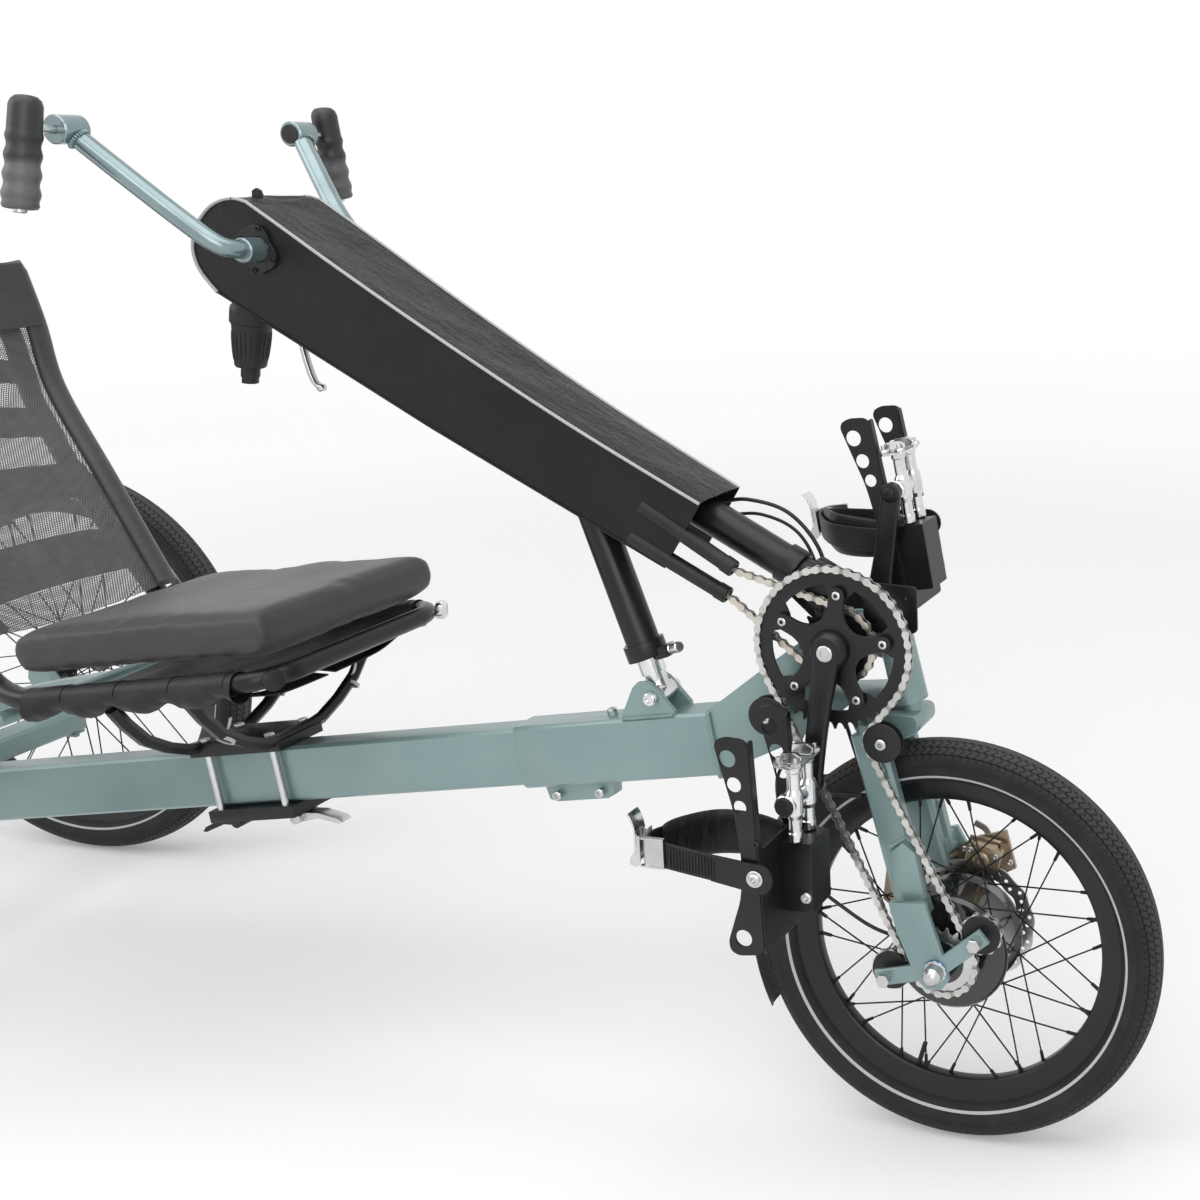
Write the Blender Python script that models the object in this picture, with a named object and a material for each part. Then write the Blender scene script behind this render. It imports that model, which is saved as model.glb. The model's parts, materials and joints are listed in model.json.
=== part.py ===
# Recumbent trike with a hand crank and a foot crank that drive one front wheel.
# Metres, +Z up, +X forwards, +Y to the rider's left. The origin lies on the
# ground under the middle of the trike. Lengths along X in the constants below
# are counted from the front axle; the function at() turns them into places.
import math

import bmesh
import bpy
from mathutils import Matrix, Vector

# Main sizes
WHEELBASE = 1.709
HALF_TRACK = 0.386
FRONT_TYRE_RADIUS = 0.253
REAR_TYRE_RADIUS = 0.3295
FRONT_TYRE_SIDES = 36
REAR_TYRE_SIDES = 40
GAP = 0.0003
RUN_GAP = 0.0006

FRONT_AXLE_Z = FRONT_TYRE_RADIUS * math.cos(math.pi / FRONT_TYRE_SIDES)
REAR_AXLE_Z = REAR_TYRE_RADIUS * math.cos(math.pi / REAR_TYRE_SIDES)
FRONT_AXLE_X = (WHEELBASE + REAR_AXLE_Z - FRONT_AXLE_Z) / 2

X_AXIS = Vector((1, 0, 0))
Y_AXIS = Vector((0, 1, 0))
Z_AXIS = Vector((0, 0, 1))


# A place given forwards of the front axle, left of the middle, above the ground
def at(x, y, z):
    return Vector((FRONT_AXLE_X + x, y, z))


def unit(x, y, z):
    return Vector((x, y, z)).normalized()


# Key places of the frame
FRONT_AXLE = at(0, 0, FRONT_AXLE_Z)
REAR_AXLE = at(-WHEELBASE, 0, REAR_AXLE_Z)
BOTTOM_BRACKET = at(-0.125, 0, 0.623)
HAND_AXIS = at(-0.843, 0, 1.061)
STEER_POINT = at(-0.070, 0, 0.620)
STEER_AXIS = unit(-0.222, 0, 0.975)
TUBE_POINT = at(-0.548, 0, 0.4375)
TUBE_AXIS = unit(1, 0, 0.163)
MAST_AXIS = unit(-0.8818, 0, 0.4717)
MAST_UP = unit(0.4717, 0, 0.8818)
MAST_ROOT = BOTTOM_BRACKET + MAST_UP * 0.0333
STRUT_PIVOT = at(-0.378, 0, 0.530)
STRUT_AXIS = unit(-0.330, 0, 0.944)
STRUT_LENGTH = 0.347

# Crank and chain sizes
PITCH = 0.0127
CHAIN_PLANE = -0.052
HAND_PLANE = -0.0405
BIG_TEETH = 46
SMALL_TEETH = 22
HUB_TEETH = 20
HAND_TEETH = 16
CRANK_LENGTH = 0.155
CRANK_DIRECTION = unit(-0.122, 0, -0.9925)
CHAIN_HALF_WIDTH = 0.0034
CHAIN_THICKNESS = 0.0045
TOOTH_RISE = 0.0006
BAND_RISE = 0.0010
ROLLER_FLOOR = 0.0170
ROLLER_FLANGE = 0.0235

# Places of the four chain rollers, in the plane of the drive chain
ROLLERS = {
    "roller_upper_rear": at(-0.208, CHAIN_PLANE, 0.535),
    "roller_upper_front": at(-0.066, CHAIN_PLANE, 0.5155),
    "roller_lower_rear": at(-0.0622, CHAIN_PLANE, 0.2361),
    "roller_lower_front": at(0.0493, CHAIN_PLANE, 0.2934),
}


def pitch_radius(teeth):
    return PITCH / (2 * math.sin(math.pi / teeth))


# Materials: colour, roughness and metallic value of each finish
FINISHES = {
    "teal_paint": ((0.225, 0.355, 0.350), 0.42, 0.15),
    "black_paint": ((0.016, 0.016, 0.017), 0.45, 0.0),
    "black_plastic": ((0.020, 0.020, 0.021), 0.50, 0.0),
    "tyre_rubber": ((0.022, 0.022, 0.023), 0.80, 0.0),
    "grip_rubber": ((0.030, 0.030, 0.032), 0.60, 0.0),
    "chrome": ((0.72, 0.72, 0.73), 0.16, 1.0),
    "bright_steel": ((0.62, 0.62, 0.62), 0.30, 1.0),
    "champagne_metal": ((0.42, 0.35, 0.26), 0.38, 0.8),
    "chain_steel": ((0.52, 0.52, 0.50), 0.34, 1.0),
    "seat_fabric": ((0.045, 0.043, 0.042), 0.85, 0.0),
    "mesh_fabric": ((0.060, 0.060, 0.060), 0.90, 0.0),
    "cover_vinyl": ((0.018, 0.018, 0.018), 0.48, 0.0),
    "strap_webbing": ((0.020, 0.020, 0.020), 0.75, 0.0),
    "cable_sheath": ((0.014, 0.014, 0.014), 0.35, 0.0),
}


def clear_scene():
    for item in list(bpy.data.objects):
        bpy.data.objects.remove(item, do_unlink=True)


def finish(name):
    material = bpy.data.materials.get(name)
    if material:
        return material
    colour, roughness, metallic = FINISHES[name]
    material = bpy.data.materials.new(name)
    material.use_nodes = True
    shader = material.node_tree.nodes["Principled BSDF"]
    shader.inputs["Base Color"].default_value = (*colour, 1.0)
    shader.inputs["Roughness"].default_value = roughness
    shader.inputs["Metallic"].default_value = metallic
    material.diffuse_color = (*colour, 1.0)
    return material


# Solid shapes, each returned as a closed mesh in world coordinates

def closed(bm):
    bmesh.ops.remove_doubles(bm, verts=bm.verts, dist=0.000001)
    bmesh.ops.recalc_face_normals(bm, faces=bm.faces)
    return bm


# Two directions square to an axis, the first as near to a hint as can be
def cross_axes(axis, hint):
    first = hint - axis * hint.dot(axis)
    if first.length < 0.001:
        first = Vector((axis.y, axis.z, axis.x))
        first = first - axis * first.dot(axis)
    first.normalize()
    return first, axis.cross(first)


def circle(radius, sides, phase=0.0):
    points = []
    for step in range(sides):
        angle = phase + 2 * math.pi * step / sides
        points.append((radius * math.cos(angle), radius * math.sin(angle)))
    return points


def rectangle(width, height):
    w = width / 2
    h = height / 2
    return [(-w, -h), (w, -h), (w, h), (-w, h)]


# A rectangle whose corners are cut at 45 degrees, for drawn tube and pads
def soft_rectangle(width, height, corner):
    w = width / 2
    h = height / 2
    c = corner
    return [(-w + c, -h), (w - c, -h), (w, -h + c), (w, h - c),
            (w - c, h), (-w + c, h), (-w, h - c), (-w, -h + c)]


# A section carried along a path with mitred corners. The section's first
# number runs along the hint, its second square to both path and hint.
def sweep(path, section, hint=Y_AXIS, loop=False, scales=None):
    bm = bmesh.new()
    points = [Vector(point) for point in path]
    count = len(points)
    rings = []
    for index, point in enumerate(points):
        before = points[index - 1] if index or loop else None
        after = points[(index + 1) % count] if index + 1 < count or loop else None
        inward = (point - before).normalized() if before else None
        outward = (after - point).normalized() if after else None
        along = inward or outward
        normal = ((inward or outward) + (outward or inward)).normalized()
        first, second = cross_axes(along, hint)
        scale = scales[index] if scales else 1.0
        ring = []
        for u, v in section:
            offset = (first * u + second * v) * scale
            offset -= along * (offset.dot(normal) / along.dot(normal))
            ring.append(bm.verts.new(point + offset))
        rings.append(ring)
    sides = len(section)
    spans = count if loop else count - 1
    for index in range(spans):
        a = rings[index]
        b = rings[(index + 1) % count]
        for side in range(sides):
            follow = (side + 1) % sides
            bm.faces.new((a[side], a[follow], b[follow], b[side]))
    if not loop:
        bm.faces.new(rings[0])
        bm.faces.new(rings[-1])
    return closed(bm)


def rod(start, end, radius, sides=10, hint=Y_AXIS):
    axis = (Vector(end) - Vector(start)).normalized()
    if abs(axis.dot(hint)) > 0.9:
        hint = Z_AXIS
    return sweep([start, end], circle(radius, sides), hint)


# A profile of (along, radius) points turned about an axis through a centre
def turned(profile, centre, axis, sides, ring=False, phase=0.0, hint=Z_AXIS):
    bm = bmesh.new()
    first, second = cross_axes(axis, hint)
    columns = []
    poles = {}
    for step in range(sides):
        angle = phase + 2 * math.pi * step / sides
        outward = first * math.cos(angle) + second * math.sin(angle)
        column = []
        for index, (along, radius) in enumerate(profile):
            if radius < 1e-6:
                if index not in poles:
                    poles[index] = bm.verts.new(centre + axis * along)
                column.append(poles[index])
            else:
                column.append(bm.verts.new(centre + axis * along + outward * radius))
        columns.append(column)
    spans = len(profile) if ring else len(profile) - 1
    for step in range(sides):
        a = columns[step]
        b = columns[(step + 1) % sides]
        for index in range(spans):
            follow = (index + 1) % len(profile)
            corners = [a[index], a[follow], b[follow], b[index]]
            unique = list(dict.fromkeys(corners))
            if len(unique) > 2:
                bm.faces.new(unique)
    if not ring:
        for index in (0, len(profile) - 1):
            if index not in poles:
                bm.faces.new([column[index] for column in columns])
    return closed(bm)


# A flat outline of (u, v) points made thick, its middle plane through origin
def plate(outline, origin, u_axis, v_axis, thickness):
    bm = bmesh.new()
    normal = u_axis.cross(v_axis).normalized()
    base = origin - normal * thickness / 2
    ring = [bm.verts.new(base + u_axis * u + v_axis * v) for u, v in outline]
    face = bm.faces.new(ring)
    result = bmesh.ops.extrude_face_region(bm, geom=[face])
    moved = [item for item in result["geom"] if isinstance(item, bmesh.types.BMVert)]
    bmesh.ops.translate(bm, verts=moved, vec=normal * thickness)
    return closed(bm)


# A plate square to Y whose outline is given forwards and up from a place
def side_plate(outline, place, thickness):
    return plate(outline, place, X_AXIS, Z_AXIS, thickness)


def block(centre, size, along=X_AXIS, up=Z_AXIS):
    side = up.cross(along).normalized()
    half = size[0] / 2
    return sweep([centre - along * half, centre + along * half],
                 rectangle(size[1], size[2]), side)


def mesh_object(name, bm):
    mesh = bpy.data.meshes.new(name)
    bm.to_mesh(mesh)
    bm.free()
    item = bpy.data.objects.new(name, mesh)
    bpy.context.collection.objects.link(item)
    return item


# Joins solids into one closed body and takes the cutters away from it
def carve(name, solids, cuts=()):
    base = mesh_object(name, solids[0])
    helpers = []
    groups = []
    for operation, operands in (("UNION", solids[1:]), ("DIFFERENCE", cuts)):
        if not operands:
            continue
        group = bpy.data.collections.new(name + "_" + operation.lower())
        groups.append(group)
        for index, operand in enumerate(operands):
            helper = mesh_object(f"{name}_{operation.lower()}_{index}", operand)
            bpy.context.collection.objects.unlink(helper)
            group.objects.link(helper)
            helpers.append(helper)
        boolean = base.modifiers.new(operation.title(), "BOOLEAN")
        boolean.operation = operation
        boolean.operand_type = "COLLECTION"
        boolean.collection = group
        boolean.solver = "EXACT"
    graph = bpy.context.evaluated_depsgraph_get()
    mesh = bpy.data.meshes.new_from_object(base.evaluated_get(graph))
    base.modifiers.clear()
    base.data = mesh
    for helper in helpers:
        bpy.data.objects.remove(helper, do_unlink=True)
    for group in groups:
        bpy.data.collections.remove(group)
    return base


# Bodies: each empty stands on its joint's axis and carries its pieces
def add_body(name, pivot, parent=None):
    empty = bpy.data.objects.new(name + "_joint", None)
    empty.empty_display_size = 0.04
    bpy.context.collection.objects.link(empty)
    empty["pivot"] = list(pivot)
    empty.location = pivot
    if parent:
        empty.parent = parent
        empty.location = pivot - Vector(parent["pivot"])
    return empty


def place(item, body, finish_name, smooth=True):
    pivot = Vector(body["pivot"])
    item.data.transform(Matrix.Translation(-pivot))
    item.parent = body
    item.location = (0, 0, 0)
    item.data.materials.clear()
    item.data.materials.append(finish(finish_name))
    if smooth:
        item.data.shade_smooth()
        item.data.set_sharp_from_angle(angle=math.radians(35))
    return item


def make(name, body, finish_name, solids, cuts=(), smooth=True):
    return place(carve(name, solids, cuts), body, finish_name, smooth)


# Mirror image of a list of points across the middle plane
def to_side(points, side):
    return [Vector((point.x, point.y * side, point.z)) for point in points]


# A smooth path through points by Catmull-Rom, with a number of steps a span
def smooth_path(points, steps):
    result = []
    count = len(points)
    for index in range(count - 1):
        p0 = points[max(index - 1, 0)]
        p1 = points[index]
        p2 = points[index + 1]
        p3 = points[min(index + 2, count - 1)]
        for step in range(steps):
            t = step / steps
            blend = 2 * p1 + (p2 - p0) * t
            blend = blend + (2 * p0 - 5 * p1 + 4 * p2 - p3) * t ** 2
            blend = blend + (3 * p1 - p0 - 3 * p2 + p3) * t ** 3
            result.append(blend * 0.5)
    result.append(points[-1])
    return result


# An arc of points between two directions about a centre in the XZ plane
def arc_xz(centre, radius, start, end, steps):
    points = []
    for step in range(steps + 1):
        angle = start + (end - start) * step / steps
        points.append(centre + Vector((math.cos(angle), 0, math.sin(angle))) * radius)
    return points


# Outline of a toothed wheel: a root and a tip for each tooth
def tooth_outline(teeth, tip, root):
    outline = []
    for tooth in range(teeth):
        middle = 2 * math.pi * tooth / teeth
        step = 2 * math.pi / teeth
        for share, radius in ((-0.5, root), (0.0, tip)):
            angle = middle + share * step
            outline.append((radius * math.cos(angle), radius * math.sin(angle)))
    return outline


def toothed_ring(teeth, place_at, thickness):
    radius = pitch_radius(teeth)
    outline = tooth_outline(teeth, radius + TOOTH_RISE, radius - 0.0045)
    return side_plate(outline, place_at, thickness)


# Wheels

# Tyre: a ring with a flat tread strip, shoulders and beads between the rim's edges
def tyre_ring(centre, radius, bead, sides):
    half = [(0.0108, bead + 0.0003), (0.0123, bead + 0.0064), (0.0240, radius - 0.020),
            (0.0120, radius)]
    profile = half + [(-y, r) for y, r in reversed(half)]
    return turned(profile, centre, Y_AXIS, sides, ring=True, phase=math.pi / sides)


# Rim: a deep box section with two low edges that hold the tyre
def rim_ring(centre, bead, depth, sides):
    half = [(0.0112, bead), (0.0130, bead + 0.0060), (0.0070, bead - depth)]
    profile = half + [(-y, r) for y, r in reversed(half)]
    return turned(profile, centre, Y_AXIS, sides, ring=True, phase=math.pi / sides)


# Spokes of one wheel, laced from two flanges so that each crosses others
def laced_spokes(centre, flange_radius, flange_offset, rim_radius, crosses, count):
    spokes = []
    holes = count // 2
    step = 2 * math.pi / holes
    for flange in (-1, 1):
        shift = step / 2 if flange > 0 else 0.0
        for hole in range(holes):
            turn = crosses if hole % 2 == 0 else -crosses
            hub_angle = hole * step + shift
            rim_angle = (hole + turn) * step + shift
            lean = 0.0012 if hole % 2 == 0 else -0.0012
            start = Vector((math.cos(hub_angle), 0, math.sin(hub_angle))) * flange_radius
            end = Vector((math.cos(rim_angle), 0, math.sin(rim_angle))) * rim_radius
            start = start + Y_AXIS * (flange_offset * flange + lean)
            end = end + Y_AXIS * (0.003 * flange)
            spokes.append(rod(centre + start, centre + end, 0.0013, 3))
    return spokes


REAR_BEAD = 0.2800
FRONT_BEAD = 0.2035
RIM_DEPTH = 0.024
SPOKES = 24
STUB_RADIUS = 0.0085


def rear_wheel(side, body):
    name = "left" if side > 0 else "right"
    centre = REAR_AXLE + Y_AXIS * HALF_TRACK * side
    tyre = tyre_ring(centre, REAR_TYRE_RADIUS, REAR_BEAD, REAR_TYRE_SIDES)
    make("rear_tyre_" + name, body, "tyre_rubber", [tyre])
    hub = [(-0.044, 0.0), (-0.044, 0.017), (-0.036, 0.019), (-0.034, 0.031), (-0.030, 0.031),
           (-0.026, 0.016), (0.026, 0.016), (0.030, 0.031), (0.034, 0.031), (0.036, 0.019),
           (0.044, 0.017), (0.044, 0.0)]
    solids = [turned(hub, centre, Y_AXIS * side, 14)]
    solids.append(rim_ring(centre, REAR_BEAD, RIM_DEPTH, REAR_TYRE_SIDES))
    solids.extend(laced_spokes(centre, 0.027, 0.032, REAR_BEAD - RIM_DEPTH + 0.004, 3, SPOKES))
    inner = centre - Y_AXIS * 0.060 * side
    bore = rod(inner, centre + Y_AXIS * 0.036 * side, STUB_RADIUS + RUN_GAP, 16, Z_AXIS)
    make("rear_wheel_" + name, body, "black_paint", solids, [bore])


def front_wheel(body):
    tyre = tyre_ring(FRONT_AXLE, FRONT_TYRE_RADIUS, FRONT_BEAD, FRONT_TYRE_SIDES)
    make("front_tyre", body, "tyre_rubber", [tyre])
    hub = [(-0.0445, 0.0), (-0.0445, 0.024), (-0.036, 0.026), (-0.034, 0.068),
           (-0.028, 0.072), (0.026, 0.072), (0.032, 0.066), (0.034, 0.030), (0.0435, 0.026),
           (0.0435, 0.0)]
    solids = [turned(hub, FRONT_AXLE, Y_AXIS, 24)]
    solids.append(rim_ring(FRONT_AXLE, FRONT_BEAD, RIM_DEPTH, FRONT_TYRE_SIDES))
    rim_radius = FRONT_BEAD - RIM_DEPTH + 0.004
    solids.extend(laced_spokes(FRONT_AXLE, 0.069, 0.022, rim_radius, 2, SPOKES))
    bore = rod(FRONT_AXLE - Y_AXIS * 0.06, FRONT_AXLE + Y_AXIS * 0.06, 0.0068, 16, Z_AXIS)
    make("front_wheel", body, "black_paint", solids, [bore])
    brake_rotor(body)


# Brake disc: a slotted ring on curved arms around a centre that grips the hub
def brake_rotor(body):
    centre = FRONT_AXLE + Y_AXIS * 0.0470
    outer = [(0.080 * math.cos(a), 0.080 * math.sin(a)) for a in steps_round(36)]
    disc = side_plate(outer, centre, 0.0020)
    cuts = [rod(centre - Y_AXIS * 0.01, centre + Y_AXIS * 0.01, 0.0268, 16, Z_AXIS)]
    for arm in range(6):
        start = arm * math.pi / 3
        window = []
        for share, radius in ((0.10, 0.036), (0.50, 0.036), (0.86, 0.050), (0.98, 0.060),
                              (0.42, 0.060), (0.26, 0.050)):
            angle = start + share * math.pi / 3
            window.append((radius * math.cos(angle), radius * math.sin(angle)))
        cuts.append(side_plate(window, centre, 0.008))
    make("brake_rotor", body, "bright_steel", [disc], cuts)


def steps_round(sides):
    return [2 * math.pi * step / sides for step in range(sides)]


# Rear frame

TUBE_HEIGHT = 0.074
TUBE_WIDTH = 0.038
TUBE_WALL = 0.0025
TUBE_FRONT = -0.372
TUBE_REAR = -1.642
BEAM_CENTRE = at(-1.660, 0, 0.2560)
BEAM_HALF = 0.324


# A place on the main tube's middle line, by its distance from the front axle
def on_tube(x, side=0.0, rise=0.0):
    point = TUBE_POINT + TUBE_AXIS * ((x + 0.548) / TUBE_AXIS.x)
    return point + Y_AXIS * side + TUBE_UP * rise


TUBE_UP = Vector((-TUBE_AXIS.z, 0, TUBE_AXIS.x))


def main_tube(body):
    section = soft_rectangle(TUBE_WIDTH, TUBE_HEIGHT, 0.004)
    hollow = rectangle(TUBE_WIDTH - 2 * TUBE_WALL, TUBE_HEIGHT - 2 * TUBE_WALL)
    tube = sweep([on_tube(TUBE_REAR), on_tube(TUBE_FRONT)], section)
    inside = sweep([on_tube(TUBE_REAR + 0.004), on_tube(TUBE_FRONT + 0.05)], hollow)
    make("main_tube", body, "teal_paint", [tube], [inside])


# Cross beam with an upright and a stub axle for each rear wheel
def rear_axle_beam(body):
    section = soft_rectangle(0.036, 0.050, 0.005)
    solids = [sweep([BEAM_CENTRE - Y_AXIS * BEAM_HALF, BEAM_CENTRE + Y_AXIS * BEAM_HALF],
                    section, Z_AXIS)]
    for side in (-1, 1):
        foot = BEAM_CENTRE + Y_AXIS * (BEAM_HALF - 0.006) * side
        top = REAR_AXLE + Y_AXIS * (BEAM_HALF - 0.006) * side
        outline = [(0.020, -0.022), (-0.022, -0.022), (-0.066, 0.066), (-0.062, 0.088),
                   (-0.036, 0.090), (0.020, 0.020)]
        solids.append(side_plate(outline, foot, 0.012))
        inner = top - Y_AXIS * 0.006 * side
        end = REAR_AXLE + Y_AXIS * (HALF_TRACK + 0.034) * side
        solids.append(rod(inner, end, STUB_RADIUS, 16, Z_AXIS))
        boss = top + Y_AXIS * 0.012 * side
        solids.append(rod(inner, boss, 0.015, 16, Z_AXIS))
    collar = sweep([on_tube(TUBE_REAR - 0.012), on_tube(TUBE_REAR + 0.014)],
                   soft_rectangle(TUBE_WIDTH + 0.010, TUBE_HEIGHT + 0.010, 0.004))
    cut = sweep([on_tube(TUBE_REAR - GAP), on_tube(TUBE_REAR + 0.06)],
                rectangle(TUBE_WIDTH + 2 * GAP, TUBE_HEIGHT + 2 * GAP))
    make("rear_axle_beam", body, "teal_paint", solids + [collar], [cut])


# Front frame

SLEEVE_HEIGHT = TUBE_HEIGHT + 0.0062
SLEEVE_WIDTH = TUBE_WIDTH + 0.0062
SLEEVE_REAR = -0.566
SLEEVE_FRONT = -0.298


# Sleeve over the main tube, with the strut's ears on top and a clamp tab below
def front_sleeve(body):
    outer = sweep([on_tube(SLEEVE_REAR), on_tube(SLEEVE_FRONT)],
                  soft_rectangle(SLEEVE_WIDTH, SLEEVE_HEIGHT, 0.004))
    solids = [outer]
    top = SLEEVE_HEIGHT / 2
    for side in (-1, 1):
        foot = on_tube(-0.378, 0.0175 * side, top)
        outline = [(-0.036, -0.004), (0.036, -0.004), (0.036, 0.004), (0.014, 0.038),
                   (0.006, 0.044), (-0.006, 0.044), (-0.014, 0.038), (-0.036, 0.004)]
        solids.append(plate(outline, foot, TUBE_AXIS, TUBE_UP, 0.006))
    tab = [(-0.050, 0.006), (0.050, 0.006), (0.046, -0.020), (0.036, -0.024),
           (-0.036, -0.024), (-0.046, -0.020)]
    foot = on_tube(-0.500, 0, -top)
    solids.append(plate(tab, foot, TUBE_AXIS, TUBE_UP, 0.016))
    for shift in (-0.030, 0.030):
        centre = foot + TUBE_AXIS * shift - TUBE_UP * 0.014
        solids.append(rod(centre - Y_AXIS * 0.013, centre + Y_AXIS * 0.013, 0.0055, 6, Z_AXIS))
    head = on_tube(-0.440, 0, top)
    solids.append(rod(head - TUBE_UP * 0.002, head + TUBE_UP * 0.005, 0.006, 6))
    cavity = sweep([on_tube(SLEEVE_REAR - 0.01), on_tube(SLEEVE_FRONT - 0.006)],
                   rectangle(TUBE_WIDTH + 2 * GAP, TUBE_HEIGHT + 2 * GAP))
    ends = STRUT_PIVOT
    bolt = rod(ends - Y_AXIS * 0.04, ends + Y_AXIS * 0.04, 0.0045, 12, Z_AXIS)
    make("front_sleeve", body, "teal_paint", solids, [cavity, bolt])


HEAD_TUBE_RADIUS = 0.0205
BB_SHELL_RADIUS = 0.0210
BB_SHELL_HALF = 0.034


def on_steer(z):
    return STEER_POINT + STEER_AXIS * ((z - 0.620) / STEER_AXIS.z)


# Neck: a welded box that splits into a member to the crank shell and one to
# the head tube
def neck_frame(body):
    outline = [(-0.2918, 0.4423), (-0.2120, 0.4820), (-0.1500, 0.5190), (-0.1225, 0.5430),
               (-0.0700, 0.5440), (-0.0760, 0.5640), (-0.1480, 0.5560), (-0.1900, 0.5640),
               (-0.1380, 0.6070), (-0.1300, 0.6390), (-0.1620, 0.6300), (-0.2260, 0.5820),
               (-0.3046, 0.5202)]
    origin = at(0, 0, 0)
    solids = [side_plate(outline, origin, 0.043)]
    shell = BOTTOM_BRACKET
    solids.append(rod(shell - Y_AXIS * BB_SHELL_HALF, shell + Y_AXIS * BB_SHELL_HALF,
                      BB_SHELL_RADIUS, 20, Z_AXIS))
    solids.append(rod(on_steer(0.5480), on_steer(0.6560), HEAD_TUBE_RADIUS, 20))
    gusset = [(-0.125, 0.6060), (-0.068, 0.5950), (-0.070, 0.6330), (-0.125, 0.6400)]
    solids.append(side_plate(gusset, origin, 0.012))
    roller = ROLLERS["roller_upper_rear"]
    pin_end = Vector((roller.x, CHAIN_PLANE - 0.0085, roller.z))
    arm = [(-0.020, -0.010), (0.010, -0.012), (0.012, 0.010), (-0.014, 0.014)]
    inner = Vector((roller.x, -0.024, roller.z))
    solids.append(side_plate(arm, inner, 0.008))
    solids.append(rod(inner, pin_end, 0.0030, 10, Z_AXIS))
    solids.append(rod(inner, inner - Y_AXIS * 0.0195, 0.0060, 10, Z_AXIS))
    spindle = rod(shell - Y_AXIS * 0.05, shell + Y_AXIS * 0.05, 0.0095, 16, Z_AXIS)
    steerer = rod(on_steer(0.53), on_steer(0.68), 0.0130, 16)
    make("neck_frame", body, "teal_paint", solids, [spindle, steerer])


# Fork

LEG_TOP = at(-0.0922, 0, 0.5190)
LEG_FOOT = at(-0.0436, 0, 0.3228)
LEG_Y = 0.036
DROPOUT_Y = 0.070


def fork_crown(body):
    outline = [(-0.1130, 0.5130), (-0.0960, 0.5080), (-0.0300, 0.5110), (-0.0240, 0.5200),
               (-0.0260, 0.5390), (-0.1160, 0.5390)]
    solids = [side_plate(outline, at(0, 0, 0), 0.053)]
    solids.append(rod(on_steer(0.530), on_steer(0.6620), 0.0125, 16))
    solids.append(rod(on_steer(0.6574), on_steer(0.6660), 0.0200, 16))
    solids.append(rod(on_steer(0.6650), on_steer(0.6750), 0.0140, 6))
    make("fork_crown", body, "teal_paint", solids)


# A leg ends in a welded channel and a plate that stands clear of the chain.
# The right one also carries the three rollers that turn with the fork.
def fork_leg(side, body):
    name = "left" if side > 0 else "right"
    shift = Y_AXIS * LEG_Y * side
    section = soft_rectangle(0.018, 0.040, 0.004)
    solids = [sweep([LEG_TOP + shift, LEG_FOOT + shift], section)]
    channel = [(-0.062, 0.380), (-0.052, 0.310), (-0.018, 0.318), (-0.030, 0.384),
               (-0.045, 0.396)]
    if side > 0:
        channel = [(-0.069, 0.396), (-0.059, 0.343), (-0.026, 0.351), (-0.038, 0.402),
                   (-0.052, 0.412)]
    solids.append(side_plate(channel, at(0, 0.049 * side, 0), 0.012))
    spacer = [(-0.056, 0.318), (-0.048, 0.302), (-0.014, 0.311), (-0.020, 0.330)]
    foot = [(-0.056, 0.330), (-0.047, 0.296), (-0.024, 0.240), (-0.012, 0.228), (0.006, 0.229),
            (0.016, 0.242), (0.012, 0.262), (-0.012, 0.334)]
    if side > 0:
        spacer = [(-0.062, 0.352), (-0.056, 0.333), (-0.024, 0.341), (-0.030, 0.359)]
        foot = [(-0.065, 0.352)] + foot[1:7] + [(-0.010, 0.330), (-0.027, 0.361)]
    middle = (DROPOUT_Y + 0.040) / 2
    solids.append(side_plate(spacer, at(0, middle * side, 0), DROPOUT_Y - 0.040))
    solids.append(side_plate(foot, at(0, DROPOUT_Y * side, 0), 0.006))
    cuts = []
    hole = FRONT_AXLE + Y_AXIS * DROPOUT_Y * side
    cuts.append(rod(hole - Y_AXIS * 0.01, hole + Y_AXIS * 0.01, 0.0064, 12, Z_AXIS))
    if side < 0:
        solids.extend(roller_arms())
    else:
        tab = [(-0.030, 0.300), (0.030, 0.298), (0.046, 0.318), (0.040, 0.334),
               (-0.030, 0.330)]
        solids.append(side_plate(tab, at(0, 0.0700, 0), 0.006))
    make("fork_leg_" + name, body, "teal_paint", solids, cuts)


# Arms and pins for the fork's three rollers
def roller_arms():
    solids = []
    for key in ("roller_lower_rear", "roller_lower_front"):
        centre = ROLLERS[key]
        outer = Vector((centre.x, -DROPOUT_Y, centre.z))
        root = FRONT_AXLE - Y_AXIS * DROPOUT_Y
        along = (outer - root).normalized()
        solids.append(sweep([root - along * 0.004, outer + along * 0.012],
                            soft_rectangle(0.0056, 0.020, 0.0012)))
        inner = Vector((centre.x, CHAIN_PLANE + 0.0055, centre.z))
        solids.append(rod(outer, inner, 0.0030, 10, Z_AXIS))
        solids.append(rod(outer, outer + Y_AXIS * 0.0108, 0.0058, 10, Z_AXIS))
        solids.append(rod(outer, outer - Y_AXIS * 0.0080, 0.0075, 6, Z_AXIS))
    centre = ROLLERS["roller_upper_front"]
    inner = Vector((centre.x, -0.0400, centre.z))
    tab = [(-0.034, -0.014), (0.009, -0.010), (0.009, 0.010), (-0.034, 0.014)]
    solids.append(side_plate(tab, inner, 0.008))
    solids.append(rod(inner, centre - Y_AXIS * 0.0085, 0.0030, 10, Z_AXIS))
    return solids


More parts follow.
